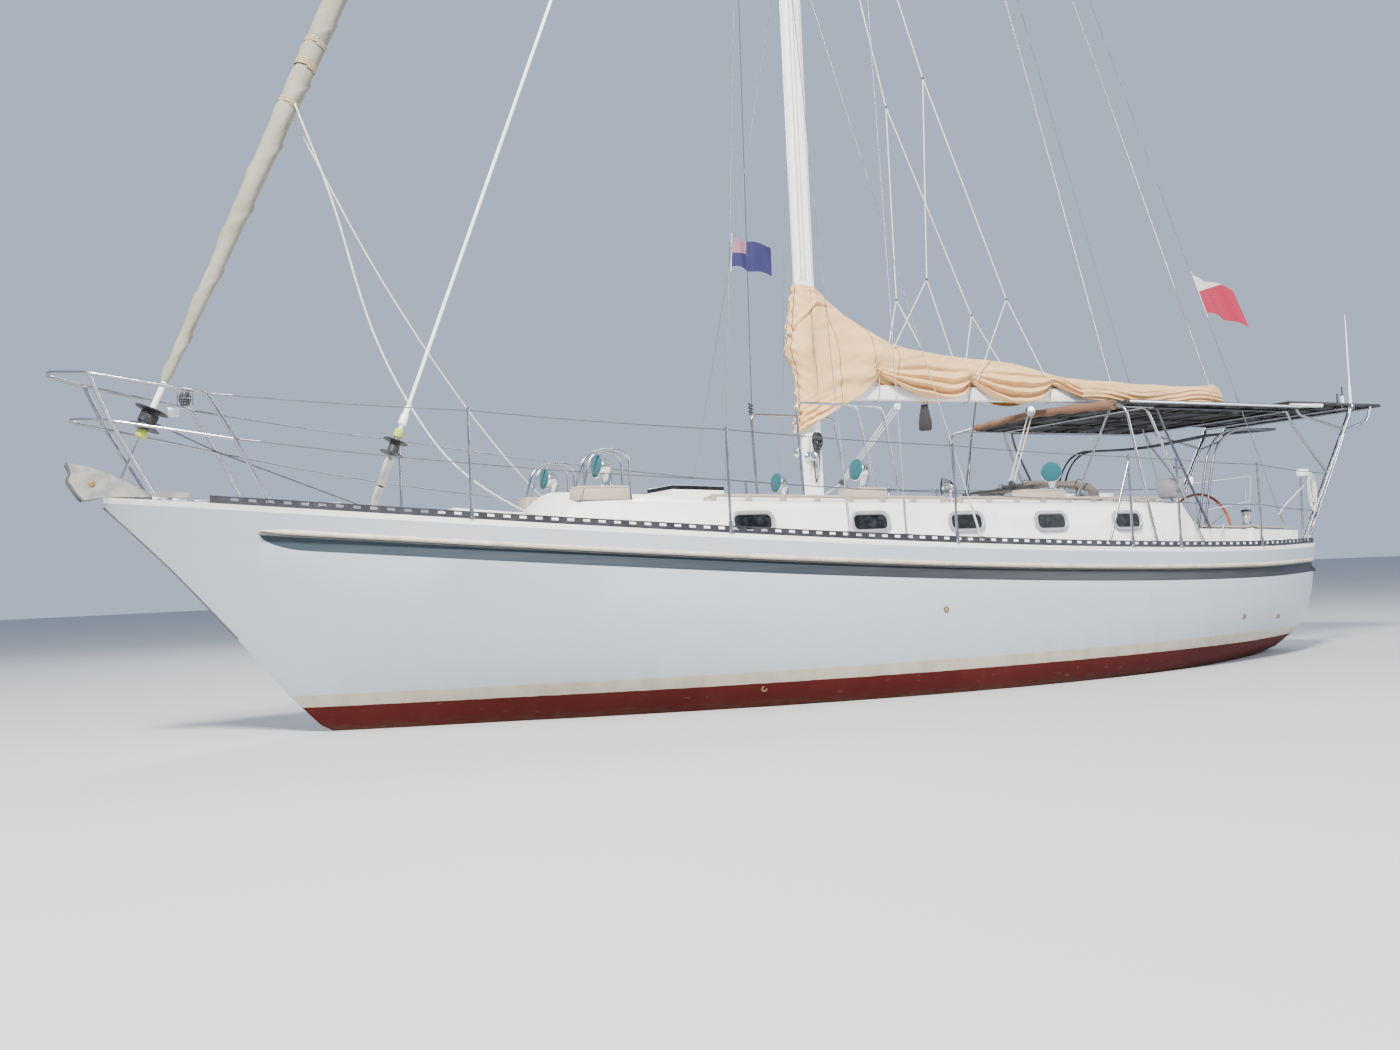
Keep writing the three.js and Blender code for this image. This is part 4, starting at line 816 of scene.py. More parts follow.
# Of each look: the record's material slot, the function that makes it, and what that is given
LOOKS = {
    "hull": ("hull_paint", hull_paint),
    # The cove's finish is painted shade and reflection
    "cove": ("hull_paint", cove_paint),
    "deck": ("deck_gelcoat", gelcoat, "deck_gelcoat", 0.97, 0.6),
    "cabin": ("deck_gelcoat", gelcoat, "cabin_gelcoat", 1.0, 0.0),
    "tube": ("tube_steel", polished_steel),
    "wire": ("wire_steel", polished_steel, "wire_steel", (0.42, 0.43, 0.45), 0.32, 0.15),
    # Near-black steel of the awning hoops: painted shade of the tubes under the roof
    "hoop": ("tube_steel", polished_steel, "shaded_steel", (0.10, 0.105, 0.12), 0.28, 0.1),
    "dark_wire": ("wire_steel", polished_steel, "guard_wire", (0.13, 0.135, 0.15), 0.4, 0.1),
    "cast": ("tube_steel", polished_steel, "cast_steel", (0.42, 0.41, 0.38), 0.42, 0.5),
    "chrome": ("winch_chrome", polished_steel, "chrome", (0.70, 0.71, 0.73), 0.08, 0.08),
    "rail": ("toe_rail_alloy", plain_finish, "toe_rail_alloy", (0.026, 0.025, 0.031), 0.42, 0.3,
             (0.10, 0.10, 0.11), 0.35),
    "spar": ("spar_white", plain_finish, "spar_white", (0.80, 0.80, 0.79), 0.3, 0.0, (0.52, 0.50, 0.45), 0.18,
             120.0, 0.2),
    "black": ("black_plastic", plain_finish, "black_plastic", (0.012, 0.012, 0.013), 0.5, 0.0,
              (0.10, 0.10, 0.10), 0.3),
    "grey": ("black_plastic", plain_finish, "grey_alloy", (0.33, 0.33, 0.37), 0.45, 0.4, (0.2, 0.2, 0.2),
        0.3),
    "alloy": ("tube_steel", plain_finish, "bright_alloy", (0.55, 0.57, 0.60), 0.3, 0.8, (0.35, 0.35, 0.35),
        0.25),
    "rubber": ("black_plastic", plain_finish, "strake_rubber", (0.045, 0.05, 0.056), 0.7, 0.0,
               (0.17, 0.16, 0.14), 0.4),
    "strake": ("hull_paint", plain_finish, "strake_moulding", (0.56, 0.50, 0.40), 0.6, 0.0,
               (0.22, 0.18, 0.12), 0.6),
    "bottom": ("antifouling", plain_finish, "antifouling", "antifouling", 0.85, 0.0, (0.30, 0.10, 0.08), 0.4),
    "bronze": ("bronze", plain_finish, "bronze", (0.30, 0.20, 0.09), 0.5, 0.9, (0.12, 0.17, 0.12), 0.4),
    "iron": ("engine_iron", plain_finish, "engine_iron", (0.16, 0.17, 0.18), 0.6, 0.2, (0.3, 0.28, 0.25),
        0.3),
    "leather": ("wheel_rim", plain_finish, "wheel_leather", (0.42, 0.085, 0.018), 0.55, 0.0,
                (0.20, 0.05, 0.02), 0.35, 300.0),
    "lime": ("black_plastic", plain_finish, "lime_tape", (0.42, 0.52, 0.05), 0.6, 0.0, (0.2, 0.2, 0.1), 0.3),
    "white": ("spar_white", plain_finish, "white_plastic", (0.76, 0.76, 0.74), 0.45, 0.0, (0.5, 0.48, 0.42),
        0.25),
    # Dark brown of the cover's seams, also the painted shade along the boot's laced opening
    "seam": ("cover_canvas", plain_finish, "cover_seam", (0.16, 0.085, 0.04), 0.8, 0.0, (0.3, 0.2, 0.1), 0.3),
    "rib": ("tube_steel", plain_finish, "roof_rib", (0.07, 0.07, 0.075), 0.5, 0.2, (0.14, 0.13, 0.12), 0.4),
    "slats": ("black_plastic", plain_finish, "roof_underside", (0.008, 0.008, 0.009), 0.6, 0.0,
              (0.045, 0.04, 0.038), 0.4),
    "cells": ("solar_panel", solar_cells),
    "glass": ("smoked_acrylic", dark_glass),
    "teak": ("teak", bare_teak),
    "teak_cap": ("teak", bare_teak, "teak_cap", 0.8),
    "canvas": ("cover_canvas", cloth, "cover_canvas", "canvas", (0.50, 0.28, 0.125)),
    "hood": ("cover_canvas", cloth, "hood_canvas", (0.115, 0.095, 0.085), (0.06, 0.05, 0.045), 160.0, 0.6),
    "wrap": ("cover_canvas", cloth, "bow_wrap", (0.17, 0.085, 0.045), (0.09, 0.045, 0.025), 160.0, 0.5),
    "headsail": ("furled_cloth", cloth, "headsail_sleeve", "headsail", (0.155, 0.14, 0.10), 140.0, 0.6),
    "teal": ("cover_canvas", cloth, "cowl_cloth", "cowl_cover", (0.002, 0.055, 0.07), 200.0, 0.5),
    "bag": ("black_plastic", cloth, "black_bag", (0.018, 0.018, 0.020), (0.04, 0.04, 0.045), 200.0, 0.4),
    "line_white": ("wire_steel", rope, "white_line", (0.66, 0.63, 0.55), (0.45, 0.42, 0.36)),
    "line_black": ("black_plastic", rope, "black_line", (0.020, 0.021, 0.024), (0.10, 0.10, 0.11)),
    "line_tan": ("cover_canvas", rope, "tan_line", (0.50, 0.40, 0.26), (0.25, 0.17, 0.10)),
    "line_blue": ("wire_steel", rope, "fleck_line", (0.50, 0.50, 0.50), (0.05, 0.10, 0.30)),
}
FINISHES = {}


def finish(look):
    """The material of that look, made once. A colour given by name is one of the user's settings."""
    if look not in FINISHES:
        maker, *given = LOOKS[look][1:]
        if len(given) > 1 and isinstance(given[1], str):
            given[1] = tuple(getattr(paint(), given[1]))
        FINISHES[look] = maker(*given)
    return FINISHES[look]


class YACHT_OT_paint_nodes(bpy.types.Operator):
    """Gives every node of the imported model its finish, and smooths the large ones"""

    bl_idname = "yacht.paint_nodes"
    bl_label = "Paint the packed model"
    bl_options = {"REGISTER", "UNDO"}

    def execute(self, context):
        slots = {s["node"]: s["material_slot"] for s in frame["record"]["subparts"]}
        finishes = {
            "hull_paint": "hull",
            "deck_gelcoat": "cabin",
            "smoked_acrylic": "glass",
            "winch_chrome": "chrome",
            "toe_rail_alloy": "rail",
            "tube_steel": "tube",
            "roller_steel": "cast",
            "black_plastic": "black",
            "spar_white": "spar",
            "wire_steel": "wire",
            "furled_cloth": "headsail",
            "cover_canvas": "canvas",
            "wheel_rim": "leather",
            "antifouling": "bottom",
            "bronze": "bronze",
            "engine_iron": "iron",
            "teak": "teak",
            "solar_panel": "cells",
        }
        for node, piece in frame["nodes"].items():
            material = finish(finishes[slots[node]])
            piece.data.materials.clear()
            piece.data.materials.append(material)
        bodies = {n: b for b, names in frame["record"]["behaviour"]["bodies"].items() for n in names}
        smoothed = {
            "hull": 22, "deck": 30, "coachroof": 30, "cockpit_coaming": 30, "mast": 40,
            "ballast_keel": 40, "rudder": 40, "rudder_skeg": 40, "propeller": 40, "steering_pedestal": 40,
            "genoa_drum": 35, "staysail_drum": 35, "staysail_foil": 40, "boom": 40, "winch_port": 35,
            "winch_starboard": 35, "bow_roller_sheave": 35, "gooseneck": 40,
        }
        for node, angle in smoothed.items():
            material = finish("deck") if node == "deck" else frame["nodes"][node].data.materials[0]
            smooth_copy(node, material, angle, bodies[node])
        return {"FINISHED"}


class YACHT_OT_toe_rails(bpy.types.Operator):
    """Slotted toe rails, stanchions and lifelines"""

    bl_idname = "yacht.toe_rails"
    bl_label = "Toe rails and lifelines"
    bl_options = {"REGISTER", "UNDO"}

    def execute(self, context):
        tube = sizes().tube_radius
        for side, word in SIDES:
            web = self.web(side, word)
            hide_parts(f"toe_rail_{word}")
            feet = [Vector((x, (half_breadth(x) - 0.018) * side, sheer(x) + 0.008)) for x in STANCHION_X]
            posts = [[f, f + Vector((0, 0, STANCHION_HEIGHT))] for f in feet]
            brace_top = feet[3] + Vector((0, 0, 0.84))
            brace_foot = Vector((-2.33, (half_breadth(-2.33) - 0.03) * side, sheer(-2.33) + 0.02))
            rods(f"stanchions_{word}", posts + [[brace_top, brace_foot]], tube, "tube", sides=12)
            bases = [(f, (0, 0, 1), [(-0.004, 0), (-0.004, 0.034), (0.006, 0.034), (0.012, 0.02),
                        (0.095, 0.019), (0.095, 0)]) for f in feet]
            caps = [(f + Vector((0, 0, STANCHION_HEIGHT)), (0, 0, 1),
                    [(-0.03, 0), (-0.03, 0.016), (0.004, 0.016), (0.012, 0.008), (0.013, 0)]) for f in feet]
            turned(f"stanchion_bases_{word}", bases + caps, "tube", steps=14)
            self.lifelines(feet, side, word)
        return {"FINISHED"}

    def web(self, side, word):
        """The slotted web, cut from a grid whose columns are the slots' ends."""
        pitch, height = sizes().hole_pitch, sizes().rail_height
        marks = [5.75, 5.60]
        while marks[-1] - pitch > -6.36:
            marks += [marks[-1] - 0.44 * pitch, marks[-1] - pitch]
        marks += [-6.40, -6.42] if len(marks) % 2 else [-6.42]
        rises = (0.0, 0.49 * height, 0.86 * height, height)
        last = len(marks) - 1
        bm = bmesh.new()
        made = bmesh.ops.create_grid(bm, x_segments=last, y_segments=3, size=0.5)
        holes = []
        for face in bm.faces:
            middle = face.calc_center_median()
            column, row = math.floor((middle.x + 0.5) * last), math.floor((middle.y + 0.5) * 3)
            if row == 1 and column % 2 and column < last - 2:
                holes.append(face)
        for v in made["verts"]:
            at = marks[round((v.co.x + 0.5) * last)]
            rise = rises[round((v.co.y + 0.5) * 3)]
            v.co = Vector((at, (half_breadth(at) - 0.009) * side, sheer(at) + rise))
        bmesh.ops.delete(bm, geom=holes, context="FACES")
        bmesh.ops.recalc_face_normals(bm, faces=bm.faces)
        bmesh.ops.solidify(bm, geom=bm.faces[:], thickness=0.006)
        piece = finish_piece(f"toe_rail_web_{word}", mesh_of(bm, "toe_rail_web"), "rail")
        stations = [5.75 - 0.12 * k for k in range(102)]
        bead = [Vector((x, (half_breadth(x) - 0.012) * side, sheer(x) + height)) for x in stations
            if x > -6.42]
        flange = [Vector((x, (half_breadth(x) - 0.022) * side, sheer(x) + 0.005)) for x in stations
            if x > -6.42]
        rods(f"toe_rail_edges_{word}", [bead, flange], 0.0055, "rail", sides=6)
        return piece

    def lifelines(self, feet, side, word):
        radius = sizes().lifeline_radius
        upper_start, lower_start = Vector((5.765, 0.502 * side, 2.795)), Vector((5.56, 0.533 * side, 2.433))
        arch_upper, arch_lower = Vector((-6.83, 1.09 * side, 2.08)), Vector((-6.55, 1.09 * side, 1.64))
        upper = [upper_start] + [f + Vector((0, 0, STANCHION_HEIGHT - 0.014)) for f in feet] + [arch_upper]
        lower = [lower_start] + [f + Vector((0, 0, STANCHION_HEIGHT * 0.5)) for f in feet] + [arch_lower]
        runs = []
        for line in (upper, lower):
            run = [line[0]]
            for a, b in zip(line, line[1:]):
                run += sag(a, b, 0.006 * (a - b).length, 6)[1:]
            runs.append(run)
        rods(f"lifelines_{word}", runs, radius, "dark_wire", sides=6)
        ends = []
        for line in (upper, lower):
            toward = (line[1] - line[0]).normalized()
            ends.append([line[0] + toward * 0.04, line[0] + toward * 0.2])
        rods(f"lifeline_screws_{word}", ends, 0.007, "dark_wire")


class YACHT_OT_tubework(bpy.types.Operator):
    """Pulpit, rails beside the mast, roof frame and stern arch, in round tube"""

    bl_idname = "yacht.tubework"
    bl_label = "Tube frames"
    bl_options = {"REGISTER", "UNDO"}

    # Corners of the port side, radius of the tube and of its bends; a run that ends on the
    # centreline is carried on to starboard
    PULPIT = [
        ([(5.29, 0.545, None), (5.56, 0.533, 2.433), (5.767, 0.502, 2.804), (6.599, 0.351, 2.956),
          (6.87, 0.11, 2.99), (6.885, 0, 2.99)], 0.0158, 0.06),
        ([(6.11, 0.215, None), (6.45, 0.297, 2.594), (6.599, 0.351, 2.956)], 0.0158, 0.06),
        ([(5.56, 0.533, 2.433), (6.45, 0.297, 2.594), (6.715, 0.09, 2.625), (6.728, 0, 2.625)], 0.0145, 0.06),
    ]
    MAST_RAIL = [
        ([(0.19, 0.45, "roof"), (0.23, 0.45, 2.862), (-0.39, 0.45, 2.85), (-0.49, 0.45, 2.83),
                (-0.71, 0.45, "roof")],
         0.0138, 0.09),
        ([(-0.38, 0.45, 2.85), (-0.81, 0.45, 2.838), (-0.98, 0.45, "roof")], 0.0138, 0.09),
    ]
    ROOF = [
        ([(-3.43, 1.58, None), (-3.2, 1.45, 2.79), (-3.215, 0.7, 2.85), (-3.22, 0, 2.862)], 0.0145, 0.13),
        ([(-4.54, 1.225, None), (-3.86, 1.175, 2.70), (-3.82, 1.145, 2.81), (-3.82, 0, 2.81)], 0.0145, 0.05),
        ([(-3.205, 1.15, 2.812), (-3.5, 1.15, 2.81), (-6.12, 1.15, 2.81)], 0.0145, 0.06),
        ([(-6.1, 1.16, 2.81), (-6.1, 0, 2.81)], 0.0145, 0.05),
        ([(-3.3, 1.15, 2.806), (-2.96, 0.90, "roof")], 0.0115, 0.05),
    ]
    ARCH = [
        ([(-6.31, 1.09, None), (-7.3, 1.09, 2.79), (-7.34, 1.09, 2.895), (-7.34, 0.9, 2.895)], 0.0255, 0.09),
        ([(-6.395, 1.09, None), (-7.15, 1.09, 2.5), (-7.225, 1.09, 2.68)], 0.0215, 0.09),
        ([(-7.19, 1.09, 2.62), (-6.4, 1.09, 2.78), (-6.33, 1.09, 2.899)], 0.0155, 0.06),
        ([(-7.19, 1.09, 2.60), (-7.64, 1.09, 2.73), (-7.72, 1.09, 2.899)], 0.0155, 0.06),
        ([(-6.835, 1.09, 2.09), (-6.26, 1.09, 2.66), (-6.165, 1.09, 2.842)], 0.0155, 0.09),
        ([(-6.33, 1.09, 2.892), (-6.33, 0, 2.892)], 0.016, 0.05),
        ([(-7.34, 1.09, 2.892), (-7.34, 0, 2.892)], 0.016, 0.05),
        ([(-7.72, 1.09, 2.892), (-7.72, 0, 2.892)], 0.016, 0.05),
    ]

    def execute(self, context):
        for name, table, nodes in (
            ("pulpit_tubes", self.PULPIT, ["pulpit"]),
            ("mast_rail_tubes", self.MAST_RAIL, ["mast_rail_port", "mast_rail_starboard"]),
            ("roof_tubes", self.ROOF, ["roof_frame"]),
            ("arch_tubes", self.ARCH, ["stern_arch"]),
        ):
            bm = bmesh.new()
            feet = []
            for corners, radius, bend in table:
                for run in self.both_sides([self.placed(c) for c in corners]):
                    round_rods(bm, [bent(run, bend, 6)], radius, 14)
                for (x, y, z) in (corners[0], corners[-1]):
                    if z in (None, "roof"):
                        feet.append((x, y, z, radius))
            for x, y, z, radius in feet:
                top = self.placed((x, y, z)).z + 0.012
                for side in (1, -1):
                    flange = [(-0.004, 0), (-0.004, radius * 2.3), (0.005, radius * 2.3),
                        (0.012, radius * 1.3), (0.03, radius * 1.2), (0.03, 0)]
                    add_lathe(bm, (x, y * side, top), (0, 0, 1), flange, 16)
            piece = finish_piece(name, mesh_of(bm, name), "tube", angle=45)
            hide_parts(*nodes)
        return {"FINISHED"}

    @staticmethod
    def placed(corner):
        x, y, z = corner
        if z is None:
            z = deck_top(x, y) - 0.012
        elif z == "roof":
            z = roof_top(x, y) - 0.012
        return Vector((x, y, z))

    @staticmethod
    def both_sides(run):
        over = [Vector((p.x, -p.y, p.z)) for p in run]
        if abs(run[-1].y) < 1e-6:
            return [run[:-1] + over[:-1][::-1]]
        return [run, over]


class YACHT_OT_hull_trim(bpy.types.Operator):
    """Moulding above the cove, a strip of painted shade in the cove, the strake's dark insert that also
    paints the shadow gap below the moulding, and the drains
    """

    bl_idname = "yacht.hull_trim"
    bl_label = "Hull trim"
    bl_options = {"REGISTER", "UNDO"}

    def execute(self, context):
        hull = surface_of("hull")
        for side, word in SIDES:
            upper, lower = [], []
            for k in range(118):
                x = 5.39 - 0.1 * k
                z = sheer(x) - 0.192
                y = self.side_at(hull, x, z + 0.006, side)
                upper.append(Vector((x, (y - 0.004) * side, z)))
                lower.append(Vector((x, (y - 0.012) * side, z - 0.027)))
            rods(f"strake_moulding_{word}", [upper], lambda t: 0.022 * min(1, 0.25 + 60 * t), "strake",
                sides=10)
            # Dark rubber insert, which also paints the shadow gap under the moulding
            rods(f"strake_insert_{word}", [lower], 0.011, "rubber")
            self.cove(hull, side, word)
            stem = [Vector((x, 0.006 * side, z)) for x, z in self.stem_line(hull, side)]
            rods(f"stem_guard_{word}", [stem], 0.006, "rubber", sides=6)
        drains = []
        for x, z in ((1.35, 0.17), (-0.35, 0.78), (-4.4, 0.5), (-5.2, 0.46)):
            y = self.side_at(hull, x, z, 1)
            drains.append(((x, y - 0.01, z), (0, 1, 0),
                    [(0, 0), (0, 0.03), (0.016, 0.028), (0.018, 0.016), (0.004, 0.014), (0.004, 0)]))
        turned("hull_drains", drains, "bronze", steps=16)
        return {"FINISHED"}

    def cove(self, hull, side, word):
        """A thin strip over the hollow below the moulding, with its rounded front end, that carries the
        hollow's painted shade and reflection.
        """
        bm = bmesh.new()
        made = bmesh.ops.create_grid(bm, x_segments=260, y_segments=7, size=0.5)
        for v in made["verts"]:
            share, across = v.co.x + 0.5, v.co.y + 0.5
            x = 5.385 - 11.78 * share**1.15
            deep = 0.128 * math.sqrt(max(1 - max((x - 5.03) / 0.36, 0) ** 2, 0.0))
            z = sheer(x) - 0.203 - deep * across
            v.co = Vector((x, (self.side_at(hull, x, z, side) + 0.0015) * side, z))
        bmesh.ops.solidify(bm, geom=bm.faces[:], thickness=0.001)
        finish_piece(f"cove_{word}", mesh_of(bm, "cove", tidy=False), "cove", angle=60)

    @staticmethod
    def stem_line(tree, side):
        """Points down the upper half of the stem."""
        out = []
        for k in range(12):
            z = 1.93 - 0.10 * k
            hit = tree.ray_cast(Vector((8, 0.004 * side, z)), Vector((-1, 0, 0)))[0]
            out.append((hit.x + 0.001, z))
        return out

    @staticmethod
    def side_at(tree, x, z, side):
        hit = tree.ray_cast(Vector((x, 4.0 * side, z)), Vector((0, -side, 0)))[0]
        return abs(hit.y) if hit else half_breadth(x)


class YACHT_OT_ports(bpy.types.Operator):
    """Frames and glass of the cabin's ports"""

    bl_idname = "yacht.ports"
    bl_label = "Ports"
    bl_options = {"REGISTER", "UNDO"}

    def execute(self, context):
        frames, panes = bmesh.new(), bmesh.new()
        for x, length in PORTS:
            for side, _ in SIDES:
                y = (cabin_foot(x) + cabin_shoulder(x)) / 2
                heading = math.atan2(cabin_foot(x + 0.2) - cabin_foot(x - 0.2), 0.4)
                z = roof_edge(x) - PORT_DROP
                place = (
                    Matrix.Diagonal((1, side, 1, 1))
                    @ Matrix.Translation((x, y, z))
                    @ Matrix.Rotation(heading, 4, "Z")
                    @ Matrix.Rotation(math.radians(self.lean(x)), 4, "X")
                    @ Matrix.Rotation(math.radians(90), 4, "X")
                )
                self.ring(frames, place, length)
                self.pane(panes, place, length)
        finish_piece("port_frames", mesh_of(frames, "port_frames"), "grey", angle=40)
        finish_piece("port_glass", mesh_of(panes, "port_glass"), "glass")
        return {"FINISHED"}

    @staticmethod
    def lean(x):
        height = roof_edge(x) - deck_top(x, cabin_foot(x))
        return math.degrees(math.atan2(0.075, height))

    @staticmethod
    def ring(bm, place, length):
        """A rounded frame that stands proud of the wall, with a recess for the glass."""
        outer = rounded_outline(length + 0.05, PORT_HEIGHT + 0.05, 0.085, 7)
        face = bm.faces.new([bm.verts.new(place @ Vector((u, v, 0.006))) for u, v in outer])
        made = bmesh.ops.extrude_face_region(bm, geom=[face])
        moved = [g for g in made["geom"] if isinstance(g, bmesh.types.BMVert)]
        away = (place.to_3x3() @ Vector((0, 0, -1))).normalized()
        bmesh.ops.translate(bm, verts=moved, vec=away * 0.018)
        top = next(g for g in made["geom"] if isinstance(g, bmesh.types.BMFace))
        for thickness, out in ((0.010, 0.006), (0.018, 0.0), (0.008, -0.008), (0.004, -0.008)):
            bmesh.ops.inset_region(bm, faces=[top], thickness=thickness)
            bmesh.ops.translate(bm, verts=top.verts[:], vec=away * out)

    @staticmethod
    def pane(bm, place, length):
        inner = rounded_outline(length - 0.026, PORT_HEIGHT - 0.026, 0.05, 7)
        face = bm.faces.new([bm.verts.new(place @ Vector((u, v, 0.0))) for u, v in inner])
        made = bmesh.ops.extrude_face_region(bm, geom=[face])
        moved = [g for g in made["geom"] if isinstance(g, bmesh.types.BMVert)]
        away = (place.to_3x3() @ Vector((0, 0, -1))).normalized()
        bmesh.ops.translate(bm, verts=moved, vec=away * 0.006)


class YACHT_OT_dorades(bpy.types.Operator):
    """Ventilator boxes with their cowls, cloth covers and guard hoops"""

    bl_idname = "yacht.dorades"
    bl_label = "Ventilators"
    bl_options = {"REGISTER", "UNDO"}

    def execute(self, context):
        spots = [
            ("fore", 2.48, 0.65, 0.48, 2.40),
            ("mast", -0.30, 0.76, 0.42, -0.33),
            ("aft", -2.50, 0.85, 0.54, -2.70),
        ]
        for name, x, y, length, cowl_x in spots:
            for side, word in SIDES:
                node = f"{name}_dorade_{word}"
                roof = roof_top(x, y)
                box_top = roof + 0.105
                fore, aft = x + length / 2, x - length / 2
                bm = bmesh.new()
                for x0, x1, half, low, high, bevel in (
                    (aft, fore, 0.095, roof - 0.02, box_top - 0.009, 0.006),
                    (aft - 0.006, fore + 0.006, 0.1, box_top - 0.018, box_top, 0.004),
                    (aft - 0.012, aft + 0.012, 0.101, roof - 0.02, box_top - 0.018, 0.004),
                    (fore - 0.012, fore + 0.012, 0.101, roof - 0.02, box_top - 0.018, 0.004),
                ):
                    add_box(bm, (x0, (y - half) * side, low), (x1, (y + half) * side, high), bevel)
                box = finish_piece(f"{node}_box", mesh_of(bm, node), "teak")
                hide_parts(node)
                self.cowl(node, cowl_x, y * side, roof, math.radians(42) * side if name == "aft" else 0.0)
        self.guards()
        return {"FINISHED"}

    def cowl(self, node, x, y, roof, turn):
        """A bent cowl on its collar, its mouth closed by a cloth cover. turn: heading of the mouth."""
        ahead = Vector((math.cos(turn), math.sin(turn), 0))
        foot = Vector((x, y, roof + 0.10))
        mouth = foot + ahead * 0.045 + Vector((0, 0, 0.185))
        neck = bent([foot, foot + Vector((0, 0, 0.155)), mouth + ahead * 0.01], 0.08, 6)
        rods(f"{node}_neck", [neck], lambda t: 0.046 + 0.045 * t * t, "chrome", sides=20)
        axis = ahead + Vector((0, 0, 0.10))
        collar = (foot, (0, 0, 1), [(0, 0), (0, 0.068), (0.012, 0.068), (0.02, 0.052), (0.02, 0)])
        rim = (mouth, axis, [(-0.02, 0.0), (-0.02, 0.075), (0.02, 0.098), (0.045, 0.112), (0.052, 0.112),
                (0.056, 0.105), (0.05, 0.10), (0.05, 0)])
        turned(f"{node}_rim", [collar, rim], "chrome", steps=32)
        cover = (mouth, axis, [(0.050, 0.106), (0.064, 0.104), (0.072, 0.094), (0.077, 0.06), (0.078, 0.0)])
        turned(f"{node}_cover", [cover], "teal", steps=32)

    @staticmethod
    def guards():
        runs = []
        for side, _ in SIDES:
            for offset in (-0.085, 0.085):
                y = (0.65 + offset) * side
                runs.append(
                    bent([
                        (2.21, y, roof_top(2.21, abs(y)) - 0.01), (2.22, y, 2.28), (2.30, y, 2.345),
                        (2.50, y, 2.345), (2.60, y, 2.26), (2.70, y, roof_top(2.70, abs(y)) - 0.01),
                    ], 0.07, 5)
                )
        rods("cowl_guards", runs, 0.0115, "tube", sides=10)


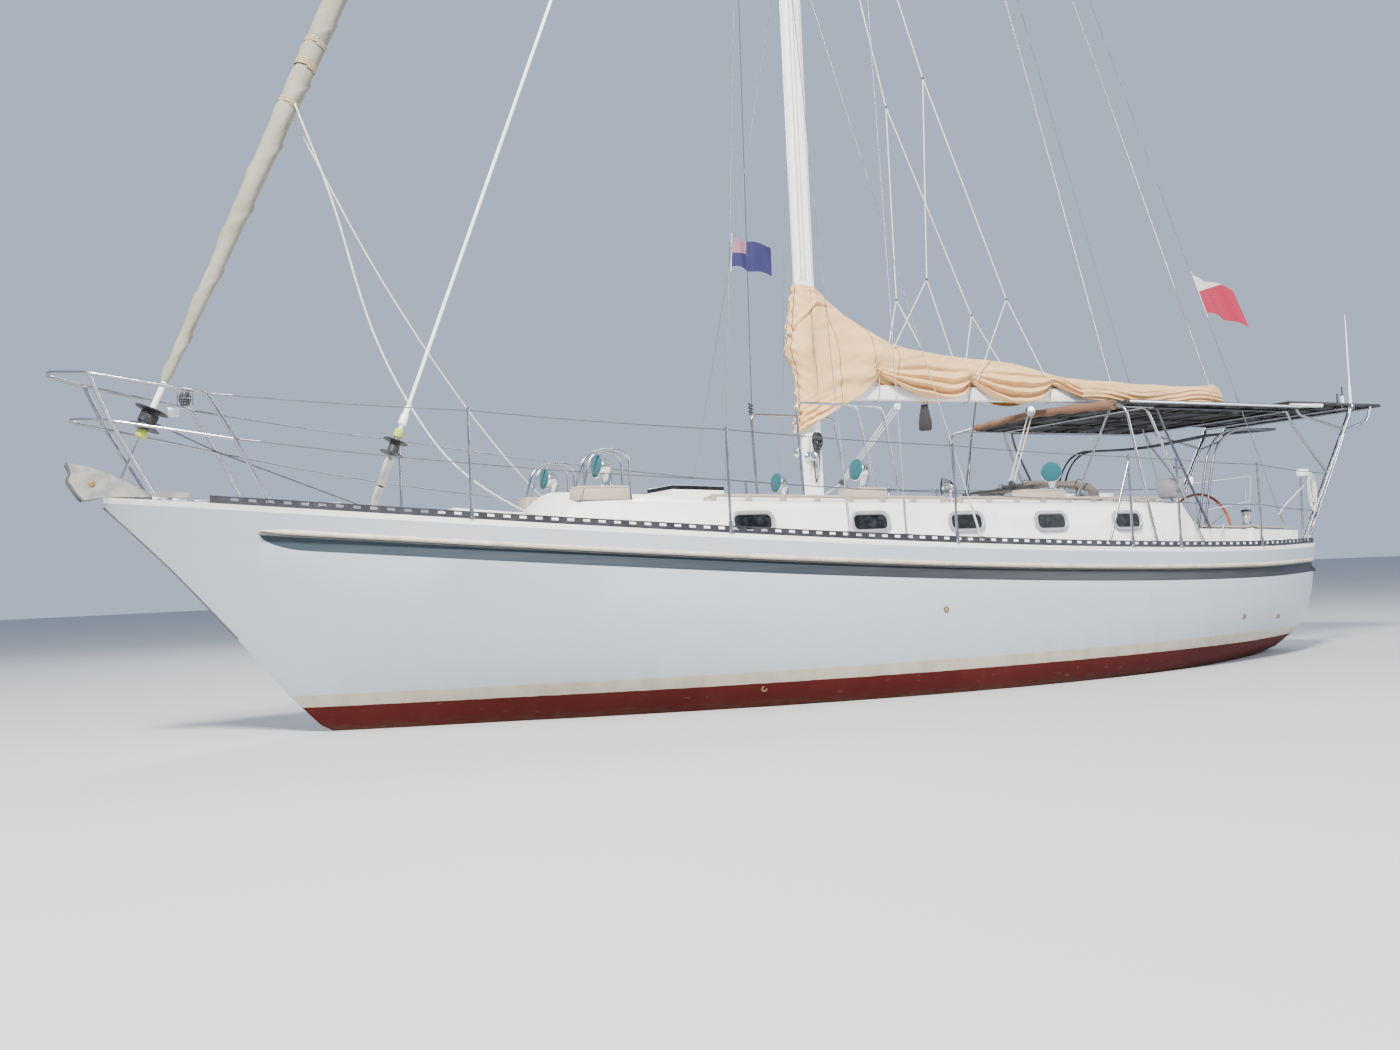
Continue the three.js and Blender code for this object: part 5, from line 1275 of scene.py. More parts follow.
class YACHT_OT_sail_cover(bpy.types.Operator):
    """The cover over the boom, its boot round the mast, lacing and ties"""

    bl_idname = "yacht.sail_cover"
    bl_label = "Sail cover"
    bl_options = {"REGISTER", "UNDO"}

    PIVOT = Vector((-0.405, 0, 3.045))
    HEADING = math.radians(6)
    # Distance abaft the pin and height: the fore flap's hem, the ties, the top edge, the belly's half width
    FLAP = [(0.1, 2.86), (0.3, 2.97), (0.45, 3.06), (0.55, 3.14), (0.62, 3.25)]
    TIED = [(0.62, 3.25), (1.75, 3.205), (2.82, 3.165), (3.2, 3.0), (5.3, 2.965)]
    # Depth of the hem's sag between two ties and how it leans towards the aft one
    SAGS = [(0.25, 0.9, 0.5), (0.255, 0.8, 0.7), (0.0, 1, 1), (0.02, 1, 1)]
    TOP = [(0.1, 4.01), (0.26, 3.875), (0.47, 3.755), (0.64, 3.66), (0.82, 3.58), (1.0, 3.535), (1.19, 3.50),
           (1.72, 3.447), (2.34, 3.395), (2.62, 3.345), (2.86, 3.28), (3.06, 3.245), (3.35, 3.222),
           (3.99, 3.195),
           (4.42, 3.178), (4.95, 3.168), (5.12, 3.18), (5.21, 3.205), (5.28, 3.155)]
    BELLY = [(0.1, 0.10), (0.3, 0.125), (0.6, 0.155), (1.2, 0.17), (1.75, 0.155), (2.3, 0.17), (2.82, 0.145),
             (3.3, 0.13), (3.92, 0.11), (4.5, 0.105), (5.0, 0.095), (5.28, 0.085)]
    TIES = (0.62, 1.75, 2.82)
    # Port offset and height of a tie below the boom
    UNDERSIDE = [(0.062, 2.99), (0.045, 2.955), (-0.045, 2.955), (-0.062, 2.99)]
    MAST = Vector((-0.215, 0, 0))
    # Half breadth and half length of the mast's section, and how far aft round it the boot reaches
    MAST_HALF = (0.1075, 0.0725)
    BOOT_END = math.radians(115)
    # Where the boot ends and where the boom's cloth begins, as shares of one side's run
    BOOT_SHARE, BOOM_SHARE = 0.13, 0.19
    # Where the cloth changes from the mast's body to the boom's
    HINGE = {"start": (-0.34, 0, 3.4), "end": (-0.56, 0.02, 3.4)}

    @staticmethod
    def level(rows, at):
        for (a, low), (b, high) in zip(rows, rows[1:]):
            if at <= b:
                return low + (high - low) * min(max((at - a) / (b - a), 0), 1)
        return rows[-1][1]

    def hem_at(self, at):
        """Height of the hem, and how far the cloth sags there: 0 at a tie, 1 midway."""
        if at <= self.FLAP[-1][0]:
            return self.level(self.FLAP, at), 0.0
        for (a, _), (b, _), (deep, rise, fall) in zip(self.TIED, self.TIED[1:], self.SAGS):
            if at <= b:
                share = (at - a) / (b - a)
                lowest = rise / (rise + fall)
                hang = share**rise * (1 - share) ** fall / (lowest**rise * (1 - lowest) ** fall)
                return self.level(self.TIED, at) - deep * hang, hang if deep > 0.1 else 0.35
        return self.TIED[-1][1], 0.35

    def boom_point(self, at, v, side, proud=0.0):
        """Point of the cloth beside the boom: v runs from the hem, 0, to the top edge, 1."""
        (hem, hang), top = self.hem_at(at), self.level(self.TOP, at)
        width = self.level(self.BELLY, at)
        if at < 0.68:
            width += 0.014
        belly = hem + 0.34 * (top - hem)
        if v < 0.3:
            q = v / 0.3
            z, y = hem + (belly - hem) * q, width * (0.78 + 0.22 * math.sin(q * math.pi / 2))
        else:
            turn = (v - 0.3) / 0.7 * math.pi / 2
            z, y = belly + (top - belly) * math.sin(turn) ** 0.92, width * max(math.cos(turn), 0) ** 0.8
        fold = self.swag(at, z, hang, side)
        across = min((at - tie for tie in self.TIES), key=abs)
        up = max(z - self.level(self.TIED, at), 0)
        y *= 1 - 0.34 * math.exp(-((across / 0.075) ** 2)) * math.exp(-up / 0.13)
        long_wave = noise.noise(Vector((at * 1.5, z * 8.0, side * 3.1)))
        small = noise.noise(Vector((at * 7.0, z * 15.0, side * 5.3 + 4)))
        y += (fold + 0.034 * long_wave + 0.007 * small) * min(y / 0.06, 1) + proud
        z += (0.012 * noise.noise(Vector((at * 3.1, 2.2, side)))) * v
        return self.on_boom(at, y * side, z)

    def on_boom(self, at, y, z):
        """The point that lies at abaft the boom's pin and y to port of the boom."""
        local = Vector((-at, y, 0))
        local.rotate(Euler((0, 0, -self.HEADING)))
        return Vector((self.PIVOT.x + local.x, local.y, z))

    def swag(self, at, z, hang, side):
        """Depth of the folds that fan out from each tie and hang between the ties."""
        if at < self.TIES[0]:
            reach = math.hypot(at - self.TIES[0], z - self.TIED[0][1])
            angle = math.atan2(z - self.TIED[0][1], self.TIES[0] - at)
            return 0.012 * math.exp(-reach / 0.12) * math.sin(13 * angle)
        span = next((k for k, (b, _) in enumerate(self.TIED[1:]) if at <= b), 3)
        room = 0.07 + 0.34 * hang
        q = (z - self.level(self.TIED, at) + self.SAGS[span][0] * hang) / room
        q += 0.10 * noise.noise(Vector((at * 1.9, z * 1.5, side + 7))) + 0.03 * noise.noise(Vector((at * 7,
                    z * 5, side)))
        depth = 0.125 * room * math.exp(-max(q - 0.15, 0) / 0.6)
        if span == 3:
            depth *= 0.15 + 0.75 * max(noise.noise(Vector((at * 1.3, z * 2.0, side + 2.5))) + 0.35, 0)
            q += 0.35 * noise.noise(Vector((at * 1.1, 5.0, side)))
        phase = 2 * math.pi * (4.2 * q - 0.6 * q * q)
        return depth * (math.sin(phase) + 0.4 * math.sin(phase + 0.9) ** 2)

    def mast_point(self, turn, v, side, proud=0.0):
        """Point of the boot: turn is the angle from the bow round the mast."""
        share = turn / self.BOOT_END
        z = 2.62 + 0.14 * share**2 + (4.165 - 0.03 * share - 2.62 - 0.14 * share**2) * v
        swell = 0.080 * math.exp(-(((z - 3.47) / 0.15) ** 2)) + 0.035 * math.exp(-(((z - 3.75) / 0.2) ** 2))
        clear = 0.044 + swell * max(math.cos(turn), 0) ** 0.4
        clear -= 0.028 * min(max((z - 4.06) / 0.10, 0), 1)
        clear += 0.016 * math.exp(-(((z - 2.68) / 0.10) ** 2))
        for level in (2.80, 4.07):
            clear -= 0.016 * math.exp(-(((z - level) / 0.022) ** 2))
        swirl = noise.noise(Vector((math.cos(turn) * 1.6, side * math.sin(turn) * 1.6, z * 1.9)))
        front = math.exp(-turn / 0.9)
        patch = 0.5 + 0.9 * noise.noise(Vector((turn * 1.4, z * 3.1, side * 2.0)))
        crease = math.sin(2 * math.pi * (z + 0.10 * turn + 0.03 * swirl) / 0.125)
        clear += 0.026 * crease * front * max(patch, 0.15)
        gathered = math.exp(-(((z - 2.74) / 0.17) ** 2))
        clear += 0.021 * gathered * math.sin(2 * math.pi * (z - 0.085 * turn + 0.02 * swirl) / 0.068)
        sweep = z - (3.615 + 0.33 * share)
        clear += 0.022 * math.exp(-(((sweep - 0.030) / 0.024) ** 2))
        clear -= 0.020 * math.exp(-((sweep / 0.014) ** 2))
        clear += 0.018 * swirl + proud
        along, across = math.cos(turn), math.sin(turn)
        round_off = (abs(along) ** 2.6 + abs(across) ** 2.6) ** (1 / 2.6)
        long, wide = self.MAST_HALF
        x = self.MAST.x + (long + clear) * along / round_off
        return Vector((x, (wide + clear) * across / round_off * side, z))

    def cloth_point(self, s, v, proud=0.0):
        """Point of the whole cover: s from -1 at the starboard end over 0 ahead of the mast to 1."""
        side = 1 if s >= 0 else -1
        s = abs(s)
        if s < self.BOOT_SHARE:
            return self.mast_point(s / self.BOOT_SHARE * self.BOOT_END, v, side, proud)
        first, last = 0.16, self.TOP[-1][0]
        if s > self.BOOM_SHARE:
            along = (s - self.BOOM_SHARE) / (1 - self.BOOM_SHARE)
            return self.boom_point(first + along * (last - first), v, side, proud)
        t = (s - self.BOOT_SHARE) / (self.BOOM_SHARE - self.BOOT_SHARE)
        t = t * t * (3 - 2 * t)
        return self.mast_point(self.BOOT_END, v, side, proud).lerp(self.boom_point(first, v, side, proud), t)

    def execute(self, context):
        columns, rows = 400, 84
        bm = bmesh.new()
        made = bmesh.ops.create_grid(bm, x_segments=columns, y_segments=rows, size=1)
        for v in made["verts"]:
            v.co = self.cloth_point(v.co.x, (v.co.y + 1) / 2)
        edge = [v for v in bm.verts if v.is_boundary and v.co.x < -0.62]
        top = [v for v in edge if v.co.z > self.level(self.TOP, self.PIVOT.x - v.co.x) - 0.06]
        bmesh.ops.remove_doubles(bm, verts=top, dist=0.012)
        bmesh.ops.recalc_face_normals(bm, faces=bm.faces)
        bmesh.ops.solidify(bm, geom=bm.faces[:], thickness=0.004)
        cover = finish_piece("mainsail_cover", mesh_of(bm, "mainsail_cover", tidy=False), "canvas", None,
            angle=60)
        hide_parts("sail_cover", "mast_boot")
        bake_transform(cover, YACHT, "boom", **self.HINGE)
        self.stuffing()
        self.lacing()
        self.ties()
        return {"FINISHED"}

    def stuffing(self):
        """Folded sail that closes the cover's underside beside the boom."""
        bm = bmesh.new()
        made = bmesh.ops.create_grid(bm, x_segments=90, y_segments=8, size=1)
        for v in made["verts"]:
            at = 0.2 + (v.co.x + 1) / 2 * 2.95
            hem = max(self.hem_at(at)[0] + 0.03, 3.135)
            width = self.level(self.BELLY, at) * 0.80
            z = hem + 0.008 * noise.noise(Vector((at * 8, v.co.y * 4, 1)))
            v.co = self.on_boom(at, width * v.co.y, z)
        bmesh.ops.solidify(bm, geom=bm.faces[:], thickness=0.005)
        finish_piece("sail_stuffing", mesh_of(bm, "sail_stuffing", tidy=False), "canvas", "boom", angle=60)

    def lacing(self):
        turns = []
        for k in range(15):
            for j in range(6):
                q = j / 6
                s = (q - 0.5) * 0.036 * (1 if k % 2 else -1)
                turns.append(self.cloth_point(s, 0.97 - 0.062 * (k + q), 0.005))
        # Dark lines down both edges of the laced opening, on the hems: painted shade in the gap
        flap = [[self.cloth_point(s, 0.99 - 0.95 * k / 60, 0.001) for k in range(61)] for s in (-0.02, 0.02)]
        rods("boot_lacing", [turns], 0.0038, "line_white", sides=6)
        rods("boot_edges", flap, 0.006, "seam", sides=6)
        seams = [self.on_mast(((95, 4.10), (97, 3.82), (98, 3.50), (104, 3.20), (106, 2.93)))]
        for rows in (((0.16, 0.90), (0.165, 0.70), (0.18, 0.42), (0.182, 0.24), (0.185, 0.03)),
                     ((0.225, 0.97), (0.235, 0.86), (0.25, 0.63), (0.252, 0.30), (0.262, 0.03)),
                     ((0.285, 0.93), (0.297, 0.62), (0.292, 0.16))):
            path = smooth_path([(s, v, 0) for s, v in rows], 8)
            seams.append([self.cloth_point(p.x, p.y, 0.002) for p in path])
        dark = rods("cover_seams", seams, 0.0032, "seam", None, sides=6)
        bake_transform(dark, YACHT, "boom", **self.HINGE)

    def on_mast(self, rows):
        """Points on the boot's port side, given as angle from the bow and height."""
        out = []
        for degrees, z in rows:
            turn = math.radians(degrees)
            v = min(range(200), key=lambda k: abs(self.mast_point(turn, k / 200, 1).z - z)) / 200
            out.append(self.mast_point(turn, v, 1, 0.002))
        return smooth_path(out, 6)

    def ties(self):
        loops = []
        for at in self.TIES:
            run = [self.boom_point(at, 0.06 - 0.06 * k / 3, 1, 0.004) for k in range(4)]
            run += [self.on_boom(at, y, z) for y, z in self.UNDERSIDE]
            run += [self.boom_point(at, 0.02 * k, -1, 0.004) for k in range(4)]
            loops.append(run)
        for k in range(3):
            at = 5.10 + 0.045 * k
            loops.append([self.boom_point(at, v / 10, 1, 0.004) for v in range(0, 11)] +
                         [self.boom_point(at, v / 10, -1, 0.004) for v in range(9, -1, -1)])
        rods("cover_ties", loops, 0.005, "line_tan", "boom", sides=6)


class YACHT_OT_headsails(bpy.types.Operator):
    """Sleeve of the furled genoa, lashings, furler details and sheets"""

    bl_idname = "yacht.headsails"
    bl_label = "Furled headsails"
    bl_options = {"REGISTER", "UNDO"}

    # Ends of the two stays, and the genoa's axis with two directions across it
    FOOT, HEAD = Vector((6.4, 0, 2.075)), Vector((0.002, 0, 16.85))
    INNER_FOOT, INNER_HEAD = Vector((4.38, 0, 1.845)), Vector((-0.1115, 0, 13.45))
    AXIS = (HEAD - FOOT).normalized()
    INNER_AXIS = (INNER_HEAD - INNER_FOOT).normalized()
    ACROSS = Vector((0, 1, 0))
    THIRD = AXIS.cross(ACROSS)
    # Distance up the stay and radius of the furled sail
    ROLL = [(0.96, 0.030), (1.0, 0.042), (1.5, 0.052), (2.6, 0.078), (4.2, 0.098), (6.5, 0.102), (9.0, 0.092),
            (11.5, 0.072), (13.6, 0.048), (14.6, 0.030)]
    # From the clew to the side deck
    PORT_SHEET = [(4.93, 0.112, 5.37), (4.68, 0.25, 4.54), (4.43, 0.5, 3.37), (4.14, 0.8, 2.57),
                  (3.82, 1.02, 2.09), (3.26, 1.12, 1.735), (2.9, 1.2, 1.69)]
    STARBOARD_SHEET = [(4.93, -0.112, 5.37), (4.1, -0.36, 3.98), (3.1, -0.74, 2.72), (2.2, -1.08, 1.90),
                       (1.6, -1.25, 1.62)]

    def radius(self, distance):
        for (a, low), (b, high) in zip(self.ROLL, self.ROLL[1:]):
            if distance <= b:
                return low + (high - low) * (distance - a) / (b - a)
        return self.ROLL[-1][1]

    def round_stay(self, distance, turn, size):
        """The point at that distance up the genoa's stay, that angle round it and that far off it."""
        out = self.ACROSS * math.cos(turn) + self.THIRD * math.sin(turn)
        return self.FOOT + self.AXIS * distance + out * size

    def execute(self, context):
        steps, low, high = 420, self.ROLL[0][0], self.ROLL[-1][0]
        reach = [low + (high - low) * k / steps for k in range(steps + 1)]
        profile = [(low, 0.0)] + [(at, self.radius(at)) for at in reach] + [(high, 0.0)]
        bm = bmesh.new()
        add_lathe(bm, self.FOOT, self.AXIS, profile, 36)
        for v in bm.verts:
            offset = v.co - self.FOOT
            distance = offset.dot(self.AXIS)
            out = offset - self.AXIS * distance
            if out.length < 1e-4:
                continue
            turn = math.atan2(out.dot(self.THIRD), out.dot(self.ACROSS)) / (2 * math.pi)
            lap, second = (turn - distance / 0.62) % 1, (turn - distance / 0.97 + 0.4) % 1
            step = 0.016 * math.exp(-lap / 0.11) - 0.005 * math.exp(-second / 0.07)
            wave = 0.006 * noise.noise(Vector((out.x * 14, distance * 3, out.y * 14)))
            for lash in (3.62, 4.0, 4.23):
                step -= 0.014 * math.exp(-(((distance - lash) / 0.035) ** 2))
            v.co = v.co + out.normalized() * (step + wave - 0.004)
        sleeve = finish_piece("genoa_sleeve", mesh_of(bm, "genoa_sleeve"), "headsail", "genoa", angle=60)
        foil = [self.FOOT + self.AXIS * 0.7225, self.FOOT + self.AXIS * 0.975]
        rods("genoa_foil", [foil], 0.024, "spar", "genoa", sides=16)
        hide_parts("genoa_roll")
        self.lashings()
        self.links()
        self.drums()
        self.furling_line()
        self.sheets()
        return {"FINISHED"}

    def lashings(self):
        runs = []
        for start, turns in ((3.60, 3), (3.98, 4), (4.21, 3)):
            places = [(start + 0.016 * k / 14, k / 14 * 2 * math.pi) for k in range(turns * 14 + 1)]
            runs.append([self.round_stay(at, turn, self.radius(at) - 0.002) for at, turn in places])
        tail = self.round_stay(4.28, math.pi / 2, -0.09)
        runs.append([tail, tail + Vector((-0.05, 0.02, -0.10)), tail + Vector((-0.03, 0.03, -0.24))])
        rods("genoa_lashings", runs, 0.007, "line_tan", "genoa")

    def links(self):
        """Toggles and plates that hold both stays to the deck."""
        links = []
        for k in (-1, 1):
            for low, high, apart in ((0.08, 0.27, 0.026), (0.30, 0.50, 0.0182)):
                foot = self.FOOT + Vector((0, apart * k, 0))
                links.append([foot + self.AXIS * low, foot + self.AXIS * high])
        rods("furler_links", links, 0.009, "tube", sides=10)
        tang = bmesh.new()
        turn = Vector((0, 0, 1)).rotation_difference(self.INNER_AXIS).to_matrix().to_4x4()
        place = Matrix.Translation(self.INNER_FOOT) @ turn
        for low, high, wide in ((0.02, 0.27, 0.028), (0.25, 0.53, 0.034)):
            for k in (-1, 1):
                add_box(tang, (-wide, 0.022 * k - 0.004, low), (wide, 0.022 * k + 0.004, high), 0.003, place)
        finish_piece("staysail_tangs", mesh_of(tang, "staysail_tangs"), "cast")

    def drums(self):
        """Flanges of both drums, the bands of lime tape and the line that is wound on."""
        for foot, axis, rows, body in (
            (self.FOOT, self.AXIS, ((0.545, 0.122), (0.698, 0.132)), "genoa"),
            (self.INNER_FOOT, self.INNER_AXIS, ((0.566, 0.104), (0.682, 0.108)), "staysail_furler"),
        ):
            flanges = []
            for at, wide in rows:
                edge = [(0, 0.04), (0, wide), (0.004, wide + 0.003), (0.009, wide), (0.009, 0.04)]
                flanges.append((foot + axis * at, axis, edge))
            turned(f"{body}_flanges", flanges, "black", body, steps=32)
        tape = [(0, 0), (0, 0.036), (0.012, 0.045), (0.058, 0.045), (0.070, 0.034), (0.070, 0)]
        turned("furler_tape", [(self.FOOT + self.AXIS * 0.46, self.AXIS, tape)], "lime", steps=16)
        tape = [(0, 0.0175), (0, 0.036), (0.012, 0.042), (0.068, 0.042), (0.08, 0.032), (0.08, 0.0175)]
        place = self.INNER_FOOT + self.INNER_AXIS * 0.725
        turned("staysail_tape", [(place, self.INNER_AXIS, tape)], "lime", "staysail_furler", steps=16)
        wound = [self.round_stay(0.585 + 0.013 * k / 20, k / 20 * 2 * math.pi, 0.069)
            for k in range(7 * 20 + 1)]
        rods("furling_turns", [wound], 0.0062, "line_black", "genoa", sides=6)

    def furling_line(self):
        drum = self.FOOT + self.AXIS * 0.63
        run = [drum + Vector((0, -0.07, 0)), Vector((5.56, -0.515, 2.44)), Vector((3.72, -1.05, 1.80))]
        for x in (2.8, 1.7, 0.5, -0.5, -1.6, -2.6, -3.6, -4.4):
            run.append(Vector((x, 0.055 - half_breadth(x), sheer(x) + 0.055)))
        rods("furling_line", [run], 0.0055, "line_black", sides=6)

    def sheets(self):
        runs = []
        for side, corners in ((1, self.PORT_SHEET), (-1, self.STARBOARD_SHEET)):
            run = smooth_path(corners, 8)
            for x in (1.0, 0.0, -1.0, -2.0, -3.2, -4.3):
                y = half_breadth(x) - 0.21
                run.append(Vector((x, y * side, deck_top(x, y) + 0.012)))
            runs.append(run + [Vector((-4.95, 1.13 * side, 1.50))])
        rods("genoa_sheets", runs, 0.0085, "line_white")


class YACHT_OT_running_rigging(bpy.types.Operator):
    """Lazy jacks, topping lifts, vang, mainsheet, halyards, hanks and flags"""

    bl_idname = "yacht.running_rigging"
    bl_label = "Running rigging"
    bl_options = {"REGISTER", "UNDO"}

    # Of each side's lazy jacks: the mast, the upper, fore and aft rings, and the ends of the four legs
    JACKS = [
        ((-0.33, 0.085, 10.9), (-1.601, 0.40, 6.416), (-1.553, 0.35, 4.241), (-2.562, 0.44, 4.069),
         (-1.15, 0.20, 3.46), (-1.94, 0.26, 3.38), (-2.17, 0.36, 3.18), (-3.06, 0.44, 3.24)),
        ((-0.33, -0.085, 10.9), (-1.514, -0.16, 6.28), (-1.477, -0.10, 4.107), (-2.466, -0.04, 3.979),
         (-1.25, -0.02, 3.46), (-1.75, 0.06, 3.40), (-2.25, 0.06, 3.36), (-2.80, 0.14, 3.27)),
    ]
    # x, y, lower and upper end of each halyard beside the mast
    HALYARDS = ((-0.135, 0.084, 2.18, 16.4), (-0.18, 0.088, 2.10, 15.9), (-0.26, 0.088, 2.25, 16.2),
                (-0.20, -0.088, 2.2, 16.4), (-0.30, -0.084, 2.1, 15.0))
    MAST_WINCH = [(0, 0), (0, 0.052), (0.012, 0.052), (0.024, 0.036), (0.07, 0.034), (0.088, 0.045),
                  (0.10, 0.036), (0.104, 0)]
    TRAVELLER_X = -2.70

    def execute(self, context):
        legs, rings = [], []
        for mast, top, fore, aft, *ends in self.JACKS:
            legs += [(mast, top), (top, fore), (top, aft), *zip((fore, fore, aft, aft), ends)]
            rings += [top, fore, aft]
        jacks = rods("lazy_jacks", [divided(a, b) for a, b in legs], 0.0070, "line_white", None, sides=6)
        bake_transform(jacks, YACHT, "boom", start=(-0.33, 0, 10.9), end=(-0.5, 0.0, 10.3))
        lifts = [((-0.46, 0.05, 16.80), (-4.124, 0.391, 3.10)), ((-0.46, 0.03, 16.80), (-5.56, 0.545, 3.13))]
        topping = rods("topping_lifts", [divided(a, b) for a, b in lifts], 0.0065, "wire", None, sides=6)
        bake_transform(topping, YACHT, "boom", start=(-0.45, 0, 16.8), end=(-0.62, 0.0, 16.2))
        ring = [(-0.02, 0), (-0.012, 0.010), (0, 0.013), (0.012, 0.010), (0.02, 0)]
        turned("jack_rings", [(p, (0, 0, 1), ring) for p in rings], "black", "boom", steps=10)
        self.mast_lines()
        self.vang()
        self.mainsheet()
        self.bag()
        self.flags()
        return {"FINISHED"}

    def mast_lines(self):
        runs = []
        for x, y, low, high in self.HALYARDS:
            runs.append([(x, y, 4.22), (x, y * 0.99, high)])
            if y > 0:
                runs.append([(x, y, low), (x, y, 2.56)])
        rods("mast_halyards", runs, 0.0065, "line_white", sides=6)
        cleats = bmesh.new()
        for z, y in ((2.26, 0.0735), (2.44, 0.0735), (2.32, -0.0735)):
            side = 1 if y > 0 else -1
            for x0, x1, near, far, half, bevel in (
                (-0.235, -0.195, 0, 0.03, 0.016, 0.003), (-0.225, -0.205, 0.026, 0.042, 0.09, 0.007),
            ):
                y0, y1 = sorted((y + near * side, y + far * side))
                add_box(cleats, (x0, y0, z - half), (x1, y1, z + half), bevel)
        finish_piece("mast_cleats", mesh_of(cleats, "mast_cleats"), "alloy")
        winches = [((-0.13, 0.0725, 2.36), (0, 1, 0), self.MAST_WINCH),
            ((-0.14, -0.0725, 2.42), (0, -1, 0), self.MAST_WINCH)]
        turned("mast_winches", winches, "chrome", steps=20)
        loops = []
        for k in range(9):
            wide, x = 0.040 + 0.006 * math.sin(k * 2.1), -0.215 + 0.016 * math.sin(k * 1.7)
            high, low = 2.60 + 0.01 * math.sin(k), 2.47 - 0.035 * (k % 3)
            middle = (x, 0.112 + 0.006 * (k % 4), (high + low) / 2)
            loops.append(oval(middle, (wide, 0, 0), (0, 0, (high - low) / 2)))
        for k in range(4):
            loops.append(oval((-0.215, 0.121, 2.53 + 0.012 * k), (0, 0.022, 0), (0.052, 0, 0), 12))
        loops.append(smooth_path([(-0.20, 0.12, 2.50), (-0.16, 0.13, 2.3), (-0.19, 0.11, 2.10),
                    (-0.23, 0.11, 2.3), (-0.22, 0.12, 2.5)], 6))
        rods("black_hank", loops, 0.0065, "line_black")
        halyard = divided((-0.28, -1.16, 7.75), (0.215, -0.452, 2.875), 6)
        rods("signal_halyard", [halyard], 0.005, "line_black", sides=6)
        knot = [(0.225 + 0.022 * math.cos(j * 0.9), -0.452 + 0.024 * math.sin(j * 0.9), 2.855 + 0.006 * j)
            for j in range(22)]
        rods("rail_knot", [knot], 0.008, "line_black", sides=6)

    def vang(self):
        head, foot = Vector((-1.30, 0.115, 2.945)), Vector((-0.52, 0.03, 2.06))
        axis = (foot - head).normalized()
        side = axis.cross(Vector((0, 1, 0))).normalized()
        strands = []
        for k in (-1, 0, 1):
            strands.append([head + axis * 0.11 + side * 0.030 * k, foot - axis * 0.11 + side * 0.022 * k])
        strops = [[head + Vector((0, 0, 0.01)), head + axis * 0.02],
            [foot - axis * 0.02, Vector((-0.345, 0.0, 1.965))]]
        vang = rods("vang_tackle", [divided(a, b, 6) for a, b in strands + strops], 0.0042, "line_white",
            None)
        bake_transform(vang, YACHT, "boom", start=(-0.36, 0, 2.0), end=(-1.28, 0.115, 2.94))
        self.block("vang_block", head + axis * 0.06, axis, 0.036, "white", "boom", hole=True)
        self.block("vang_foot_block", foot - axis * 0.05, axis, 0.032, "black", YACHT)

    @staticmethod
    def block(name, middle, axis, size, look, body, hole=False):
        """A rope block: two cheeks on a sheave."""
        axis = Vector(axis).normalized()
        across = Vector((0, 1, 0)) if abs(axis.y) < 0.8 else Vector((1, 0, 0))
        across = (across - axis * across.dot(axis)).normalized()
        cheeks = []
        for k in (-1, 1):
            cheeks.append((middle + across * 0.012 * k, across * k,
                    [(0, 0), (0, size), (0.006, size * 0.94), (0.009, size * 0.5), (0.012, size * 0.3),
                        (0.012, 0)]))
        cheeks.append((middle - across * 0.010, across,
                [(0, 0), (0, size * 0.9), (0.004, size * 0.7), (0.016, size * 0.7), (0.02, size * 0.9),
                    (0.02, 0)]))
        turned(name, cheeks, look, body, steps=20)

    def mainsheet(self):
        head = Vector((-2.975, 0.268, 2.93))
        feet = [Vector((-2.62, 0.30, 2.05)), Vector((-2.78, 0.12, 2.02))]
        self.block("mainsheet_block", head - Vector((0, 0, 0.07)), (0, 0, 1), 0.060, "alloy", "boom")
        runs = []
        for k, foot in enumerate(feet):
            for offset in (-0.028, 0.028):
                runs.append(divided(head + Vector((offset, 0, -0.09)), foot + Vector((offset, 0, 0.03)), 8))
            self.block(f"traveller_block_{k + 1}", foot, (0, 0, 1), 0.034, "black", YACHT)
        sheet = rods("mainsheet", runs, 0.0042, "line_white", None)
        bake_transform(sheet, YACHT, "boom", start=tuple(feet[0]), end=tuple(head))
        bar = bmesh.new()
        x, top = self.TRAVELLER_X, roof_top(self.TRAVELLER_X, 0.5)
        add_box(bar, (x - 0.025, -0.62, top + 0.115), (x + 0.025, 0.62, top + 0.15), 0.006)
        for y in (-0.58, 0.58):
            foot = roof_top(x, abs(y)) - 0.02
            add_box(bar, (x - 0.035, y - 0.04, foot), (x + 0.035, y + 0.04, top + 0.118), 0.008)
        for y in (0.30, 0.12):
            add_box(bar, (x - 0.04, y - 0.045, top + 0.148), (x + 0.04, y + 0.045, top + 0.18), 0.008)
            add_box(bar, (x - 0.012, y - 0.012, top + 0.17), (x + 0.012, y + 0.012, 2.03), 0.003)
        finish_piece("traveller", mesh_of(bar, "traveller"), "black")

